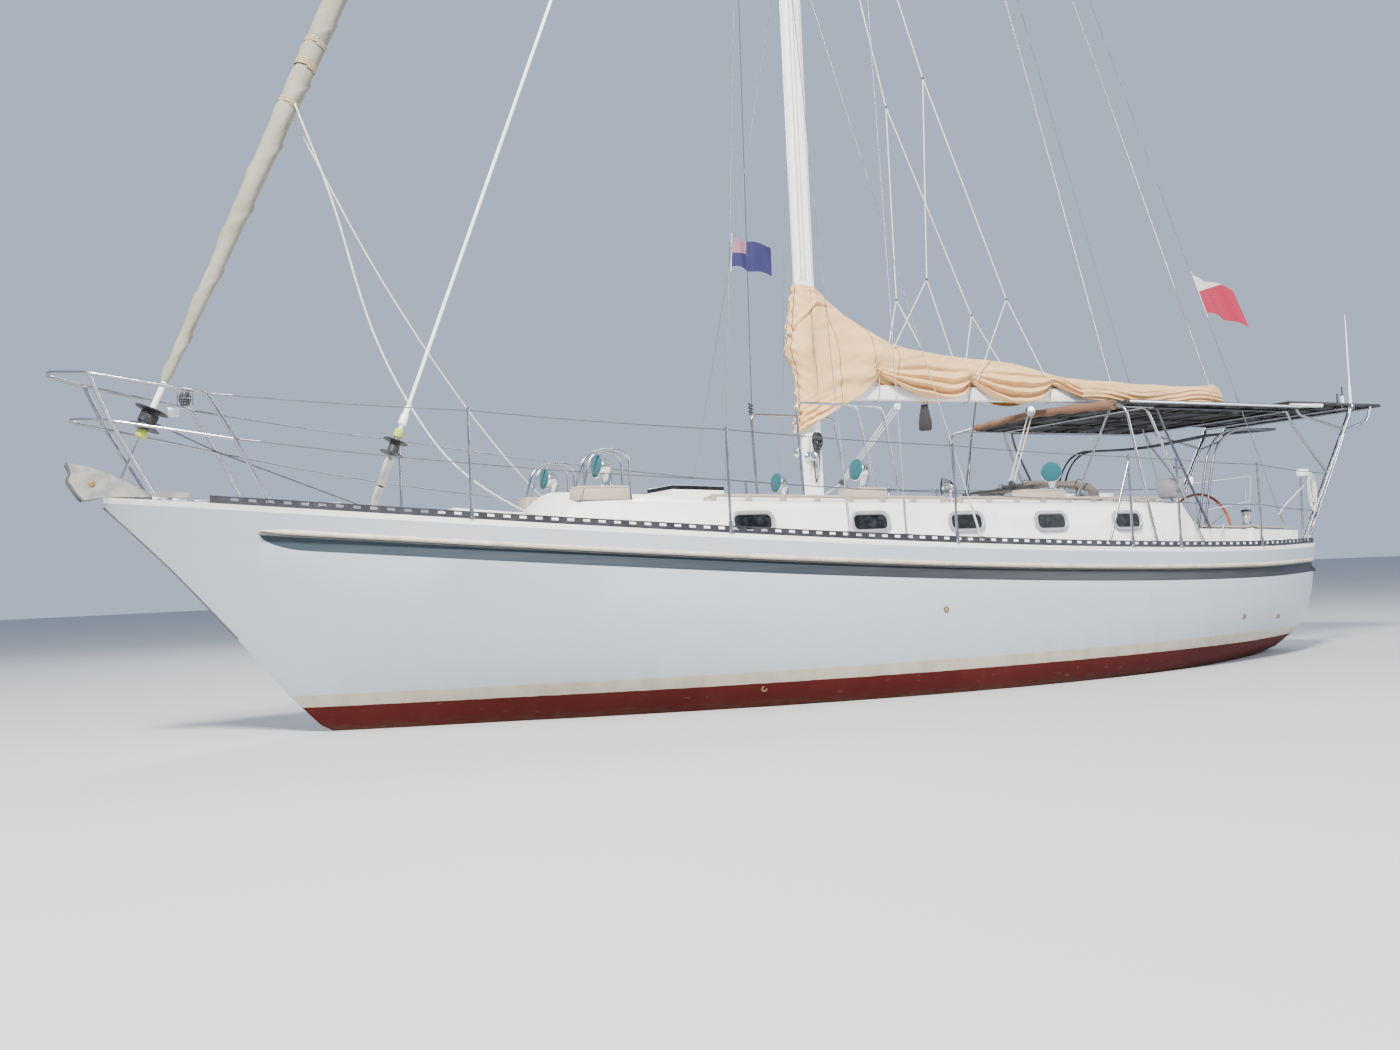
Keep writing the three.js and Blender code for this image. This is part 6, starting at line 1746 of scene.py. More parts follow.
    def bag(self):
        """Black rope bag below the boom, and the reefing line beside it."""
        bm = bmesh.new()
        middle = Vector((-1.61, 0.127, 2.80))
        profile = [(-0.155, 0.0), (-0.155, 0.055), (-0.14, 0.070), (-0.06, 0.072), (0.03, 0.058),
            (0.09, 0.042), (0.115, 0.038), (0.125, 0.045), (0.128, 0.0)]
        add_lathe(bm, middle, (0, 0, 1), profile, 28)
        for v in bm.verts:
            v.co.x += 0.006 * noise.noise(v.co * 11)
            v.co.y += 0.008 * noise.noise(v.co * 13 + Vector((3, 0, 0)))
        finish_piece("rope_bag", mesh_of(bm, "rope_bag"), "bag", "boom", angle=50)
        strings = [[(-1.61, 0.127, 2.92), (-1.60, 0.127, 2.975)],
            [(-1.64, 0.127, 2.92), (-1.66, 0.127, 2.975)]]
        rods("bag_strings", strings, 0.004, "line_black", "boom", sides=6)
        strut = [Vector((-2.262, 0.20, 2.955)), Vector((-1.979, 0.265, 1.90))]
        line = rods("reef_line", [divided(*strut)], 0.008, "line_black", None)
        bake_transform(line, YACHT, "boom", start=tuple(strut[1]), end=tuple(strut[0]))

    def flags(self):
        for name, top, low, reach, colors, stay in (
            ("courtesy_flag", (-0.187, -1.405, 5.02), (-0.176, -1.435, 4.70), (-0.46, 0.10, -0.05), "navy",
             "cap_shroud_starboard"),
            ("stern_flag", (-5.205, 0.694, 4.45), (-5.365, 0.716, 4.02), (-0.62, 0.06, -0.10), "red",
             "backstay_port"),
        ):
            top, low, reach = Vector(top), Vector(low), Vector(reach)
            bm = bmesh.new()
            made = bmesh.ops.create_grid(bm, x_segments=44, y_segments=26, size=0.5)
            for v in made["verts"]:
                u, w = v.co.x + 0.5, v.co.y + 0.5
                wave = 0.035 * math.sin(u * 8.5 + w * 1.4) * min(u * 3, 1)
                sink = -0.05 * u * u + 0.012 * math.sin(u * 11 + 2 * w)
                v.co = low.lerp(top, w) + reach * u + Vector((0.0, wave, sink))
            bmesh.ops.solidify(bm, geom=bm.faces[:], thickness=0.0012)
            dyed = flag_cloth(name, top, low, reach, colors)
            flag = finish_piece(name, mesh_of(bm, name, tidy=False), dyed, angle=70)
            along = (top - low).normalized()
            rods(f"{name}_hoist", [[low - along * 0.06, top + along * 0.06]], 0.006, "line_white", sides=6)


class YACHT_OT_deck_gear(bpy.types.Operator):
    """Handrails, cabin trim, hatch rims, tracks, cleats and the coaming's cap"""

    bl_idname = "yacht.deck_gear"
    bl_label = "Deck gear"
    bl_options = {"REGISTER", "UNDO"}

    def execute(self, context):
        self.handrails()
        self.cabin_trim()
        self.hatches()
        self.tracks()
        self.coaming_cap()
        self.foredeck()
        self.ropes()
        return {"FINISHED"}

    def handrails(self):
        bm = bmesh.new()
        runs = []
        for side, _ in SIDES:
            for start, end in ((1.45, -0.95), (-1.15, -3.95)):
                count = round((start - end) / 0.33)
                y_at = [cabin_shoulder(start + (end - start) * k / count) - 0.16 for k in range(count + 1)]
                points = []
                for k, y in enumerate(y_at):
                    x = start + (end - start) * k / count
                    z = roof_top(x, y)
                    points.append(Vector((x, y * side, z + 0.052)))
                    add_box(bm, (x - 0.035, y * side - 0.012, z - 0.01),
                        (x + 0.035, y * side + 0.012, z + 0.052), 0.008)
                lead = Vector((points[0].x + 0.09, points[0].y, points[0].z - 0.035))
                tail = Vector((points[-1].x - 0.09, points[-1].y, points[-1].z - 0.035))
                runs.append([lead, *points, tail])
        round_rods(bm, runs, 0.015, 10)
        finish_piece("handrails", mesh_of(bm, "handrails"), "teak_cap", angle=45)

    def cabin_trim(self):
        """A bead where the cabin side meets the deck, and stay wires' deck plates."""
        runs = []
        for side, _ in SIDES:
            run = []
            for k in range(58):
                x = 1.9 - 0.1 * k
                if x > -4.0:
                    y = cabin_foot(x) + 0.004
                    run.append(Vector((x, y * side, deck_top(x, y) + 0.006)))
            runs.append(run)
        rods("cabin_bead", runs, 0.008, "strake", sides=6)
        plates = []
        for x in (0.49, -0.08, -0.89):
            for side, _ in SIDES:
                y = (half_breadth(x) - 0.15) * side
                z = deck_top(x, abs(y))
                plates.append(((x - 0.06, y - 0.022, z - 0.004), (x + 0.06, y + 0.022, z + 0.008)))
        boxes("chainplate_covers", plates, "tube", bevel=0.003)

    def hatches(self):
        """Alloy rims on both hatch lids, so that they read as framed acrylic."""
        for name in ("fore_hatch", "saloon_hatch"):
            low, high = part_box(name)
            body = next(b for b, names in frame["record"]["behaviour"]["bodies"].items() if name in names)
            tree = surface_of(name)
            x0, y0, x1, y1 = low.x + 0.012, low.y + 0.012, high.x - 0.012, high.y - 0.012
            corners = [(x0, y0), (x1, y0), (x1, y1), (x0, y1)]
            loop = []
            for (ax, ay), (bx, by) in zip(corners, corners[1:] + corners[:1]):
                for k in range(6):
                    x, y = ax + (bx - ax) * k / 6, ay + (by - ay) * k / 6
                    loop.append(Vector((x, y, drop(tree, x, y) - 0.004)))
            loop.append(loop[0].copy())
            rods(f"{name}_rim", [loop], 0.011, "alloy", body)

    def tracks(self):
        specs = []
        bm = bmesh.new()
        for side, _ in SIDES:
            run = []
            for k in range(31):
                x = -0.9 - 0.1 * k
                y = half_breadth(x) - 0.16
                run.append(Vector((x, y * side, deck_top(x, y) + 0.012)))
            round_rods(bm, [run], 0.013, 6)
            for x in (-1.6, -3.1):
                y = (half_breadth(x) - 0.16) * side
                z = deck_top(x, abs(y))
                specs.append(((x - 0.06, y - 0.02, z + 0.01), (x + 0.06, y + 0.02, z + 0.05)))
            for x in (4.9, -5.7):
                y = (half_breadth(x) - 0.14) * side
                z = deck_top(x, abs(y))
                for k in (-0.05, 0.05):
                    specs.append(((x + k - 0.014, y - 0.014, z - 0.006),
                            (x + k + 0.014, y + 0.014, z + 0.045)))
                specs.append(((x - 0.13, y - 0.014, z + 0.038), (x + 0.13, y + 0.014, z + 0.062)))
        for low, high in specs:
            add_box(bm, low, high, 0.006)
        finish_piece("sheet_tracks", mesh_of(bm, "sheet_tracks"), "alloy")

    def coaming_cap(self):
        tree = surface_of("cockpit_coaming")
        for side, word in SIDES:
            bm = bmesh.new()
            made = bmesh.ops.create_grid(bm, x_segments=30, y_segments=1, size=0.5)
            for v in made["verts"]:
                x = -4.55 - (v.co.x + 0.5) * 1.60
                middle = self.wall_middle(tree, x, side)
                v.co = Vector((x, middle + 0.066 * v.co.y * 2, drop(tree, x, middle) + 0.020))
            bmesh.ops.recalc_face_normals(bm, faces=bm.faces)
            bmesh.ops.solidify(bm, geom=bm.faces[:], thickness=0.020)
            edges = [e for e in bm.edges if e.calc_length() > 0.03]
            bmesh.ops.bevel(bm, geom=edges, offset=0.004, segments=2, profile=0.5, affect="EDGES",
                material=-1)
            finish_piece(f"coaming_cap_{word}", mesh_of(bm, "coaming_cap"), "teak_cap")

    @staticmethod
    def wall_middle(tree, x, side):
        hits = [y / 100 for y in range(60, 160) if drop(tree, x, y / 100 * side) > 1.38]
        return (sum(hits) / len(hits) if hits else 1.1) * side

    def foredeck(self):
        """Low windlass with its drum and foot switch, and the bow chocks."""
        x, z = 4.80, deck_top(4.80, 0)
        bm = bmesh.new()
        add_box(bm, (x - 0.13, -0.10, z - 0.004), (x + 0.11, 0.10, z + 0.052), 0.02, None, 3)
        add_lathe(bm, (x + 0.02, 0, z + 0.048), (0, 0, 1),
            [(0, 0), (0, 0.075), (0.012, 0.078), (0.02, 0.05), (0.036, 0.046), (0.044, 0.066), (0.052, 0.06),
                (0.055, 0)], 24)
        add_lathe(bm, (x - 0.30, -0.12, z - 0.004), (0, 0, 1),
            [(0, 0), (0, 0.04), (0.014, 0.038), (0.024, 0.022), (0.026, 0)], 20)
        finish_piece("windlass", mesh_of(bm, "windlass"), "black")
        chocks = []
        for side, _ in SIDES:
            for at in (5.80, 5.96, 6.10):
                y = (half_breadth(at) - 0.045) * side
                top = deck_top(at, abs(y))
                chocks.append(((at - 0.055, y - 0.016, top - 0.004), (at + 0.055, y + 0.016, top + 0.022)))
        boxes("bow_chocks", chocks, "alloy", bevel=0.007)

    def ropes(self):
        """Rope tails and coils lying on the cabin top."""
        runs = []
        for y, start in ((0.32, -0.45), (0.40, -0.55), (-0.34, -0.45)):
            run = []
            for k in range(22):
                x = start - 0.155 * k
                run.append(Vector((x, y + 0.02 * math.sin(k * 0.7), roof_top(x, abs(y)) + 0.008)))
            runs.append(run)
        rods("deck_lines", runs, 0.0055, "line_blue", sides=6)
        loops = []
        rng = random.Random(4)
        for k in range(16):
            cx, cy = -3.36 + rng.uniform(-0.05, 0.05), 0.62 + rng.uniform(-0.05, 0.05)
            rx, ry, lift = rng.uniform(0.10, 0.17), rng.uniform(0.06, 0.11), 0.010 + 0.0085 * k
            tilt = rng.uniform(-0.02, 0.03)
            loop = []
            for j in range(21):
                turn = j / 20 * 2 * math.pi
                x, y = cx + rx * math.cos(turn), cy + ry * math.sin(turn)
                loop.append((x, y, roof_top(x, y) + lift + tilt * math.cos(turn)))
            loops.append(loop)
        rods("rope_coil", loops, 0.0065, "line_blue", sides=6)


class YACHT_OT_cockpit(bpy.types.Operator):
    """Wheel, winch handle, instrument pod and other gear of the cockpit"""

    bl_idname = "yacht.cockpit"
    bl_label = "Cockpit gear"
    bl_options = {"REGISTER", "UNDO"}

    def execute(self, context):
        self.wheel()
        handle = [(-5.40, 1.077, 1.66), (-5.40, 1.077, 1.70), (-5.395, 1.085, 1.72), (-5.385, 1.10, 1.92)]
        rods("winch_handle", [bent(handle, 0.02, 3)], 0.011, "chrome", "winch_port", sides=12)
        for side, word in SIDES:
            turned(f"winch_jaws_{word}", [((-5.40, 1.077 * side, 1.640), (0, 0, 1),
                        [(0, 0.020), (0, 0.060), (0.006, 0.066), (0.010, 0.052), (0.016, 0.052),
                            (0.020, 0.066), (0.024, 0.060), (0.030, 0.030), (0.030, 0.0)])], "black",
                f"winch_{word}", steps=28)
        self.pod()
        self.hoops()
        return {"FINISHED"}

    def wheel(self):
        centre = Vector((-5.83, 0, 1.42))
        bm = bmesh.new()
        round_rods(bm, [oval(centre, (0, 0.5, 0), (0, 0, 0.5), 72)], 0.0165, 12)
        rim = finish_piece("wheel_rim_leather", mesh_of(bm, "wheel_rim"), "leather", "wheel", angle=60)
        stitches = []
        for k in range(150):
            turn = k / 150 * 2 * math.pi
            place = centre + Vector((0, math.sin(turn), math.cos(turn))) * 0.4845
            stitches.append([place + Vector((-0.004, 0, 0)), place + Vector((0.004, 0, 0))])
        rods("wheel_stitches", stitches, 0.0012, "line_tan", "wheel", sides=4)
        ways = [Vector((0, math.sin(math.radians(60 * k)), math.cos(math.radians(60 * k)))) for k in range(6)]
        spokes = [[centre + way * 0.03, centre + way * 0.49] for way in ways]
        rods("wheel_spokes", spokes, 0.007, "chrome", "wheel", sides=10)
        turned("wheel_hub", [(centre - Vector((0.03, 0, 0)), (1, 0, 0),
                    [(-0.012, 0.0148), (-0.012, 0.028), (0.0, 0.05), (0.05, 0.05), (0.06, 0.03),
                        (0.06, 0.0148)])], "chrome", "wheel", steps=28)
        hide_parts("steering_wheel")

    def pod(self):
        bm = bmesh.new()
        tilt = Matrix.Translation((-4.32, 0.98, 1.93)) @ Matrix.Rotation(math.radians(12), 4, "Y")
        add_box(bm, (-0.05, -0.17, -0.11), (0.05, 0.17, 0.11), 0.03, tilt, 4)
        finish_piece("instrument_pod", mesh_of(bm, "instrument_pod"), "grey")
        bm = bmesh.new()
        for k in (-0.08, 0.08):
            add_box(bm, (-0.056, k - 0.055, -0.055), (-0.048, k + 0.055, 0.055), 0.006, tilt)
        finish_piece("pod_screens", mesh_of(bm, "pod_screens"), "glass")
        rods("pod_bracket", [[(-4.29, 1.07, 1.90), (-4.25, 1.205, 1.90)],
                [(-4.32, 0.93, 1.86), (-4.46, 1.21, 1.44)]], 0.012, "tube", sides=10)
        guards = [[(-4.50, 1.15, 1.97), (-5.45, 1.13, 2.05)], [(-4.60, 1.15, 1.66), (-5.42, 1.13, 1.76)],
            [(-5.45, 1.13, 2.05), (-5.36, 1.13, 1.46)]]
        rods("helm_guard", guards, 0.006, "alloy", sides=10)
        knob = [(-0.066, 0), (-0.054, 0.019), (-0.02, 0.027), (0.02, 0.027), (0.054, 0.019), (0.066, 0)]
        turned("guard_end", [((-4.45, 1.15, 1.985), (-0.15, 0, 1), knob)], "white", steps=18)

    def hoops(self):
        """Second tubes beside the roof's legs, their braces, and the bent hoops abaft them, in near-black
        steel that paints the shade under the roof.
        """
        runs = []
        for side, _ in SIDES:
            runs.append(bent([(-4.66, 1.20 * side, 1.46), (-4.02, 1.19 * side, 2.62),
                        (-3.96, 1.17 * side, 2.80)], 0.1, 5))
            runs.append([(-4.13, 1.205 * side, 2.14), (-4.28, 1.21 * side, 2.14)])
            runs.append(bent([(-3.96, 1.17 * side, 2.80), (-4.6, 1.16 * side, 2.805),
                        (-6.0, 1.16 * side, 2.805)], 0.1, 3))
            for shift in (0.0, 0.10):
                aft = -6.16 + shift
                arc = [(-4.60 + shift, 1.17 * side, 1.46), (-4.90 + shift, 1.15 * side, 2.56),
                    (aft, 1.12 * side, 2.61), (aft, -0.01 * side, 2.66)]
                runs.append(bent(arc, 0.42, 8))
        # Near-black steel: painted shade of the tubes under the roof
        rods("awning_hoops", runs, 0.0135, "hoop", sides=12)


class YACHT_OT_solar_roof(bpy.types.Operator):
    """Panels of the roof and of the arch, with frames, ribs and dark undersides"""

    bl_idname = "yacht.solar_roof"
    bl_label = "Solar roof"
    bl_options = {"REGISTER", "UNDO"}

    def execute(self, context):
        self.roof()
        self.arch()
        return {"FINISHED"}

    @staticmethod
    def frame_of(bm, low, high, wide=0.035):
        (x0, y0, z0), (x1, y1, z1) = low, high
        add_box(bm, (x0, y0, z0), (x1, y0 + wide, z1), 0.004)
        add_box(bm, (x0, y1 - wide, z0), (x1, y1, z1), 0.004)
        add_box(bm, (x0, y0 + wide - 0.002, z0), (x0 + wide, y1 - wide + 0.002, z1), 0.004)
        add_box(bm, (x1 - wide, y0 + wide - 0.002, z0), (x1, y1 - wide + 0.002, z1), 0.004)

    def roof(self):
        frames, cells, backs, ribs = bmesh.new(), bmesh.new(), bmesh.new(), bmesh.new()
        columns = [(-4.81, -3.44), (-6.19, -4.82)]
        rows = [(-1.295, -0.655), (-0.645, -0.005), (0.005, 0.645), (0.655, 1.295)]
        for x0, x1 in columns:
            for y0, y1 in rows:
                gap = x0 < -6 and (abs(y0) > 0.6 or abs(y1) > 0.66)
                self.frame_of(frames, (x0, y0, 2.822), (x1, y1, 2.867), 0.03)
                if gap:
                    spans = [(x0 + 0.028, -5.88, y0 + 0.028, y1 - 0.028),
                        (-5.74, x1 - 0.028, y0 + 0.028, y1 - 0.028)]
                    rest = (0.86, y1 - 0.028) if y0 > 0 else (y0 + 0.028, -0.86)
                    spans.append((-5.88, -5.74, *rest))
                else:
                    spans = [(x0 + 0.028, x1 - 0.028, y0 + 0.028, y1 - 0.028)]
                for a, b, c, d in spans:
                    add_box(cells, (a, c, 2.854), (b, d, 2.862))
                    add_box(backs, (a, c, 2.846), (b, d, 2.8535))
                for k in range(3):
                    x = x0 + 0.22 + k * (x1 - x0 - 0.44) / 2
                    if gap and -5.90 < x < -5.72:
                        continue
                    add_box(ribs, (x - 0.011, y0 + 0.03, 2.826), (x + 0.011, y1 - 0.03, 2.8455), 0.003)
        top = finish_piece("roof_cells", mesh_of(cells, "roof_cells"), "cells")
        finish_piece("roof_frames", mesh_of(frames, "roof_frames"), "slats")
        edges = [[(-3.44, 1.279 * side, 2.846), (-6.19, 1.279 * side, 2.846)] for side in (1, -1)]
        rods("roof_edges", edges, 0.0205, "alloy", sides=14)
        finish_piece("roof_backs", mesh_of(backs, "roof_backs"), "slats")
        finish_piece("roof_ribs", mesh_of(ribs, "roof_ribs"), "rib")
        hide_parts("solar_roof")

    def arch(self):
        frames, cells, backs, ribs = bmesh.new(), bmesh.new(), bmesh.new(), bmesh.new()
        for x0, x1 in ((-7.10, -6.262), (-7.948, -7.11)):
            for y0, y1 in ((-1.078, -0.005), (0.005, 1.078)):
                self.frame_of(frames, (x0, y0, 2.910), (x1, y1, 2.946), 0.03)
                add_box(cells, (x0 + 0.028, y0 + 0.028, 2.933), (x1 - 0.028, y1 - 0.028, 2.941))
                add_box(backs, (x0 + 0.028, y0 + 0.028, 2.925), (x1 - 0.028, y1 - 0.028, 2.9325))
                for k in range(3):
                    y = y0 + 0.2 + k * (y1 - y0 - 0.4) / 2
                    add_box(ribs, (x0 + 0.03, y - 0.011, 2.911), (x1 - 0.03, y + 0.011, 2.924), 0.003)
        top = finish_piece("arch_cells", mesh_of(cells, "arch_cells"), "cells")
        finish_piece("arch_frames", mesh_of(frames, "arch_frames"), "slats")
        finish_piece("arch_backs", mesh_of(backs, "arch_backs"), "slats")
        finish_piece("arch_ribs", mesh_of(ribs, "arch_ribs"), "rib")
        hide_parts("arch_panel")


class YACHT_OT_soft_gear(bpy.types.Operator):
    """Folded sprayhood and the wrap of the front bow"""

    bl_idname = "yacht.soft_gear"
    bl_label = "Folded sprayhood and wraps"
    bl_options = {"REGISTER", "UNDO"}

    def execute(self, context):
        path = smooth_path([
            (-3.205, 0.97, 1.80), (-3.19, 0.955, 1.88), (-3.165, 0.92, 1.95), (-3.13, 0.75, 2.0),
            (-3.12, 0.5, 2.03), (-3.10, 0.2, 2.05),
            (-3.10, -0.2, 2.05), (-3.12, -0.5, 2.03), (-3.13, -0.75, 2.0), (-3.165, -0.92, 1.95),
            (-3.19, -0.955, 1.88), (-3.205, -0.97, 1.80),
        ], 14)
        bm = bmesh.new()
        round_rods(bm, [path], lambda t: 0.050 + 0.004 * math.sin(t * 70), 28)
        for v in bm.verts:
            run = v.co.y * 9
            fold = 0.008 * math.sin(run * 1.3 + v.co.z * 60) + 0.007 * noise.noise(v.co * 9)
            nearest = min(path, key=lambda p: (p - v.co).length_squared)
            out = v.co - nearest
            if out.length > 0.01:
                angle = math.atan2(out.x, out.z)
                v.co += out.normalized() * (fold + 0.006 * math.sin(5 * angle + run))
                v.co.z = nearest.z + (v.co.z - nearest.z) * 0.8 - 0.008
        hood = finish_piece("folded_hood_cloth", mesh_of(bm, "folded_hood", tidy=False), "hood", angle=60)
        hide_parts("folded_sprayhood")
        straps = []
        for y in (-0.8, -0.45, 0.0, 0.45, 0.8):
            centre = min(path, key=lambda p: abs(p.y - y))
            straps.append(oval(centre, (0, 0, 0.062), (0.062, 0, 0)))
        rods("hood_straps", straps, 0.005, "line_black", sides=6)
        bow = smooth_path([(-3.195, 1.30, 2.80), (-3.20, 1.1, 2.815), (-3.215, 0.6, 2.845),
                (-3.22, 0.2, 2.861), (-3.22, -0.2, 2.861), (-3.215, -0.6, 2.845), (-3.205, -0.95, 2.825)], 14)
        bm = bmesh.new()
        round_rods(bm, [bow], lambda t: 0.049 - 0.013 * t + 0.004 * math.sin(t * 46), 18)
        for v in bm.verts:
            v.co.z += 0.012 * noise.noise(v.co * 6)
        wrap = finish_piece("bow_wrap", mesh_of(bm, "bow_wrap", tidy=False), "wrap", angle=60)
        return {"FINISHED"}


class YACHT_OT_stern_gear(bpy.types.Operator):
    """Aerials, lamp, box and hanging lines of the stern arch"""

    bl_idname = "yacht.stern_gear"
    bl_label = "Stern gear"
    bl_options = {"REGISTER", "UNDO"}

    def execute(self, context):
        aerials = [
            ((-7.40, 1.06, 2.90), (0, 0, 1), [(0, 0), (0, 0.016), (0.25, 0.016), (0.27, 0.011), (0.30, 0.011),
                    (1.14, 0.004), (1.15, 0)]),
            ((-7.335, 1.0, 2.88), (0, 0, 1), [(0, 0), (0, 0.019), (0.165, 0.019), (0.17, 0)]),
            ((-7.55, -0.7, 2.947), (0, 0, 1), [(0, 0), (0, 0.02), (0.03, 0.02), (0.035, 0.036), (0.06, 0.05),
                    (0.075, 0.036), (0.085, 0)]),
        ]
        turned("aerials", aerials, "white", steps=18)
        caps = [
            ((-7.335, 1.0, 3.045), (0, 0, 1), [(0, 0), (0, 0.022), (0.012, 0.022), (0.016, 0.009),
                    (0.095, 0.008), (0.10, 0.018), (0.11, 0)]),
            ((-7.24, 1.0, 2.90), (0, 0, 1), [(0, 0), (0, 0.016), (0.06, 0.016), (0.066, 0.011),
                    (0.165, 0.010), (0.17, 0)]),
        ]
        turned("aerial_caps", caps, "black", steps=14)
        tube = [(-6.22, 1.12, 2.885), (-6.78, 1.12, 2.895)]
        rods("white_tube", [tube], 0.022, "white", sides=16)
        boxes("aerial_feet", [((-7.43, 1.055, 2.87), (-7.37, 1.095, 2.93)),
                ((-6.30, 1.085, 2.86), (-6.26, 1.13, 2.91)), ((-6.74, 1.085, 2.87), (-6.70, 1.13, 2.91))],
            "tube")
        boxes("outboard_box", [((-6.40, 1.115, 2.045), (-6.25, 1.175, 2.13)),
                ((-6.26, 1.10, 2.07), (-6.52, 1.13, 2.10))], "white", bevel=0.012)
        rods("outboard_bracket", [[(-6.28, 1.15, 2.03), (-6.30, 1.12, 1.42)]], 0.012, "tube", sides=10)
        loops = []
        rng = random.Random(7)
        for k in range(7):
            x, y = -6.42 + rng.uniform(-0.05, 0.05), 1.135 + 0.006 * k
            wide, low = rng.uniform(0.035, 0.07), rng.uniform(1.62, 1.74)
            half = (2.06 - low) / 2
            loops.append(oval((x - 0.10 * half, y, 2.06 - half), (wide, 0, 0), (0.10 * half, 0, half)))
        loops.append(smooth_path([(-6.32, 1.15, 1.93), (-6.12, 1.15, 1.80), (-5.98, 1.15, 1.71),
                    (-5.86, 1.15, 1.60)], 6))
        rods("stern_hank", loops, 0.0075, "line_white", sides=6)
        return {"FINISHED"}


class YACHT_OT_bow_gear(bpy.types.Operator):
    """Lantern and lamp on the pulpit, and the roller's lips and bolts"""

    bl_idname = "yacht.bow_gear"
    bl_label = "Bow gear"
    bl_options = {"REGISTER", "UNDO"}

    def execute(self, context):
        lamp = [(0, 0), (0, 0.030), (0.010, 0.038), (0.026, 0.038), (0.032, 0.046), (0.080, 0.046),
            (0.088, 0.034), (0.104, 0.030), (0.11, 0)]
        turned("pulpit_lantern", [((5.92, 0.495, 2.695), (0, 0, 1), lamp)], "black")
        cage = []
        for k in range(6):
            out = Vector((math.cos(k * math.pi / 3), math.sin(k * math.pi / 3), 0)) * 0.056
            cage.append([Vector((5.92, 0.495, 2.70)) + out, Vector((5.92, 0.495, 2.80)) + out])
        cage.append(oval((5.92, 0.495, 2.75), (0, 0.056, 0), (0.056, 0, 0)))
        cage.append([(5.92, 0.495, 2.79), (5.92, 0.476, 2.832)])
        rods("lantern_cage", cage, 0.0035, "tube", sides=6)
        boxes("far_lamp", [((5.86, -0.53, 2.735), (5.955, -0.47, 2.815)),
                ((5.895, -0.505, 2.81), (5.92, -0.475, 2.835))], "alloy", bevel=0.008)
        edge = [(6.762, 2.282), (6.738, 2.21), (6.756, 2.15), (6.725, 2.09), (6.688, 2.03), (6.652, 1.988)]
        lips = [smooth_path([(x, 0.089 * side, z) for x, z in edge], 5) for side in (1, -1)]
        rods("roller_lips", lips, 0.010, "rubber")
        bolts = []
        for side, _ in SIDES:
            bolts.append(((6.583, 0.088 * side, 2.115), (0, side, 0),
                    [(0, 0), (0, 0.030), (0.004, 0.030), (0.006, 0.018), (0.014, 0.017), (0.014, 0)]))
        turned("roller_bolts", bolts, "bronze", steps=12)
        return {"FINISHED"}


def flag_cloth(name, top, low, reach, colors):
    """Dyed bunting in two plain fields."""
    material, g, shader = new_material(name)
    place = g.object_place()
    along = reach.normalized()
    up = (top - low).normalized()
    length = (top - low).length

    def share(way, span):
        """How far along way, from the low corner of the hoist, as a share of span."""
        dot = g.add("ShaderNodeVectorMath", {0: place, 1: way}, operation="DOT_PRODUCT").outputs["Value"]
        return g.math("DIVIDE", g.math("SUBTRACT", dot, low.dot(way)), span)

    run, rise = share(along, reach.length), share(up, length)
    weave = use_group(g, weave_group(), {"Vector": place, "Threads": 320.0})
    if colors == "navy":
        field, block = (0.014, 0.015, 0.085), (0.30, 0.13, 0.19)
        mask = g.times(g.math("LESS_THAN", run, 0.36), g.math("GREATER_THAN", rise, 0.5))
    else:
        field, block = (0.34, 0.012, 0.045), (0.62, 0.57, 0.56)
        slanted = g.plus(rise, g.times(run, 0.12))
        mask = g.times(g.math("LESS_THAN", run, 0.62), g.math("GREATER_THAN", slanted, 0.56))
    tone = g.mix(mask, field, block)
    tone = g.mix(g.times(weave["Mottle"], 0.25), tone, shade(field, 0.6))
    put(g, shader, Base_Color=tone, Roughness=0.85, Normal=bump(g, weave["Height"], 0.3, 0.001))
    return material


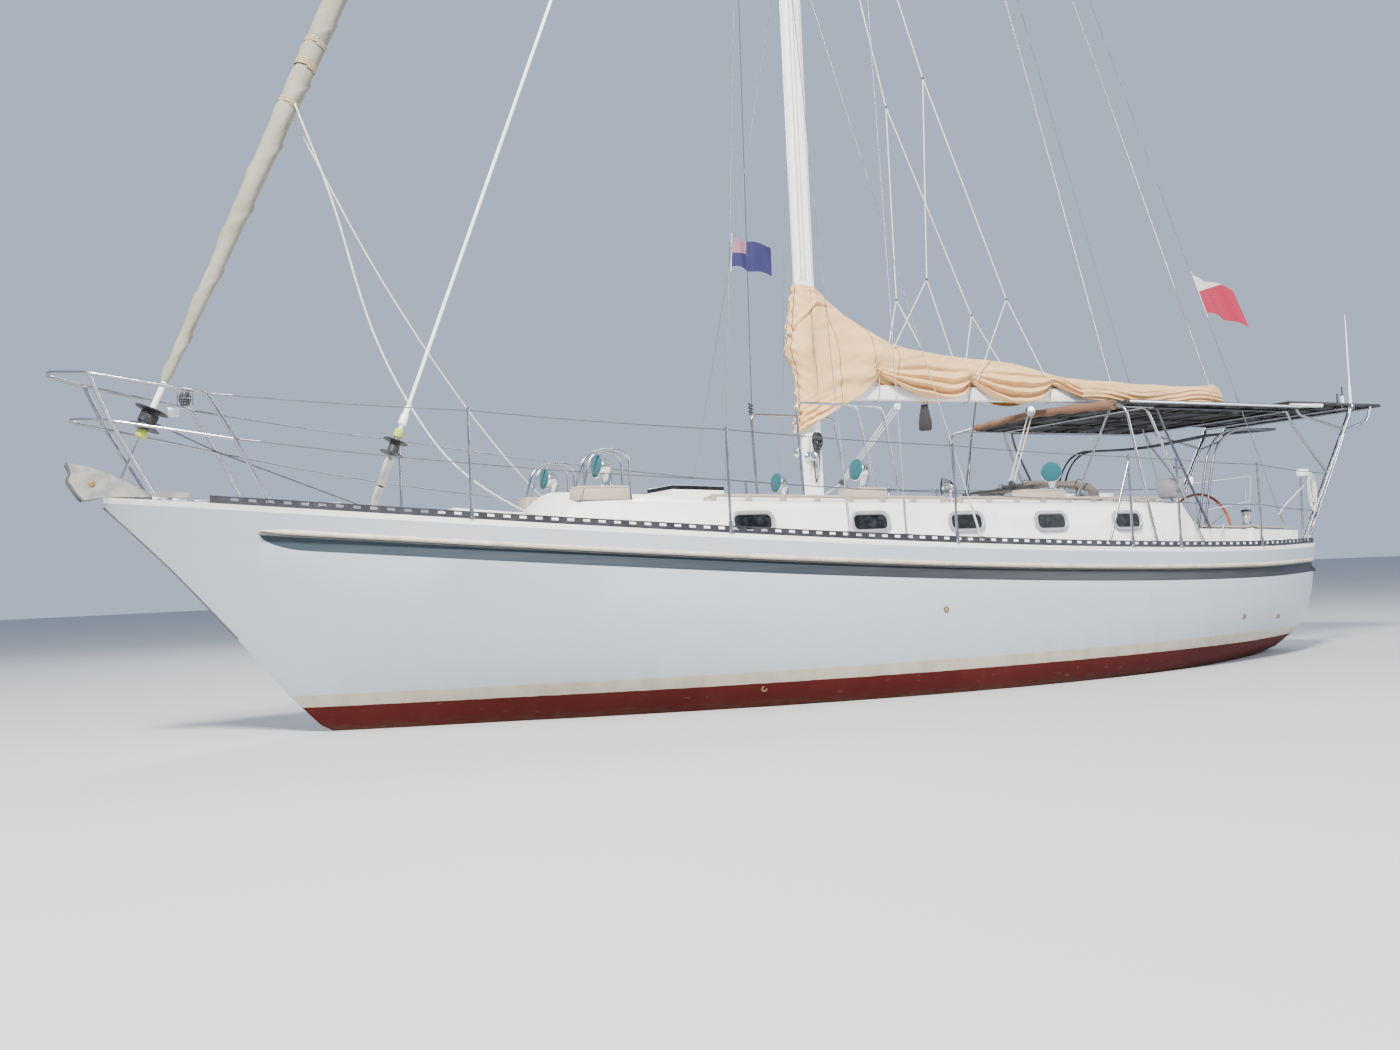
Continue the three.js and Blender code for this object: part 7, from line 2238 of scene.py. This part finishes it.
class YACHT_OT_stage(bpy.types.Operator):
    """Pale floor at the waterline, soft lights and the camera"""

    bl_idname = "yacht.stage"
    bl_label = "Stage"
    bl_options = {"REGISTER", "UNDO"}

    def execute(self, context):
        scene = bpy.context.scene
        material, g, shader = new_material("stage_floor")
        put(g, shader, Base_Color=(0.40, 0.41, 0.42), Roughness=0.75)
        bm = bmesh.new()
        bmesh.ops.create_grid(bm, x_segments=1, y_segments=1, size=150)
        mesh = mesh_of(bm, "floor")
        mesh.materials.append(material)
        floor = bpy.data.objects.new("floor", mesh)
        scene.collection.objects.link(floor)
        world = bpy.data.worlds.new("studio")
        world.use_nodes = True
        world.node_tree.nodes["Background"].inputs[0].default_value = (0.62, 0.74, 0.96, 1)
        world.node_tree.nodes["Background"].inputs[1].default_value = 0.80
        scene.world = world
        self.light("key", (13.0, 14.0, 19.0), (0, 0, 1.5), 4.5, 22500, (1.0, 0.965, 0.91))
        self.light("fill", (-14.0, 12.0, 8.0), (-2, 0, 1), 8.0, 2300, (0.92, 0.96, 1.0))
        self.light("back", (-4.0, -16.0, 14.0), (0, 0, 2), 8.0, 2800, (1.0, 1.0, 1.0))
        self.camera(scene)
        return {"FINISHED"}

    @staticmethod
    def light(name, place, target, size, power, color):
        data = bpy.data.lights.new(name, "AREA")
        data.shape = "DISK"
        data.size = size
        data.energy = power
        data.color = color
        lamp = bpy.data.objects.new(name, data)
        lamp.location = place
        lamp.rotation_euler = (Vector(target) - Vector(place)).to_track_quat("-Z", "Y").to_euler()
        bpy.context.scene.collection.objects.link(lamp)

    @staticmethod
    def camera(scene):
        yaw, pitch, roll = CAMERA_TURN
        ahead = Vector((-math.sin(yaw) * math.cos(pitch), -math.cos(yaw) * math.cos(pitch), math.sin(pitch)))
        level = Vector((-math.cos(yaw), math.sin(yaw), 0))
        upright = level.cross(ahead)
        right = level * math.cos(roll) + upright * math.sin(roll)
        up = upright * math.cos(roll) - level * math.sin(roll)
        data = bpy.data.cameras.new("camera")
        data.sensor_fit = "HORIZONTAL"
        data.sensor_width = 36.0
        data.lens = CAMERA_FOCUS / FRAME_WIDTH * 36.0
        data.clip_end = 400
        camera = bpy.data.objects.new("camera", data)
        camera.matrix_world = Matrix.Translation(CAMERA_PLACE) @ Matrix((right, up,
                -ahead)).transposed().to_4x4()
        scene.collection.objects.link(camera)
        scene.camera = camera


OPERATORS = [
    YACHT_OT_paint_nodes,
    YACHT_OT_toe_rails,
    YACHT_OT_tubework,
    YACHT_OT_hull_trim,
    YACHT_OT_ports,
    YACHT_OT_dorades,
    YACHT_OT_sail_cover,
    YACHT_OT_headsails,
    YACHT_OT_running_rigging,
    YACHT_OT_deck_gear,
    YACHT_OT_cockpit,
    YACHT_OT_solar_roof,
    YACHT_OT_soft_gear,
    YACHT_OT_stern_gear,
    YACHT_OT_bow_gear,
    YACHT_OT_stage,
]


class YACHT_PT_panel(bpy.types.Panel):
    """Lists the yacht's settings and operators"""

    bl_idname = "YACHT_PT_panel"
    bl_label = "Yacht"
    bl_space_type = "VIEW_3D"
    bl_region_type = "UI"
    bl_category = "Yacht"

    def draw(self, context):
        layout = self.layout
        for group in (context.scene.yacht_paint, context.scene.yacht_sizes):
            column = layout.column()
            for key in group.bl_rna.properties.keys():
                if key not in ("rna_type", "name"):
                    column.prop(group, key)
        for operator in OPERATORS:
            layout.operator(operator.bl_idname)


CLASSES = [YachtPaint, YachtSizes, *OPERATORS, YACHT_PT_panel]


def register():
    for cls in CLASSES:
        bpy.utils.register_class(cls)
    bpy.types.Scene.yacht_paint = PointerProperty(type=YachtPaint)
    bpy.types.Scene.yacht_sizes = PointerProperty(type=YachtSizes)


def unregister():
    del bpy.types.Scene.yacht_sizes
    del bpy.types.Scene.yacht_paint
    for cls in reversed(CLASSES):
        bpy.utils.unregister_class(cls)


def main():
    register()
    for operator in OPERATORS:
        group, call = operator.bl_idname.split(".")
        getattr(getattr(bpy.ops, group), call)()


if __name__ == "__main__":
    main()
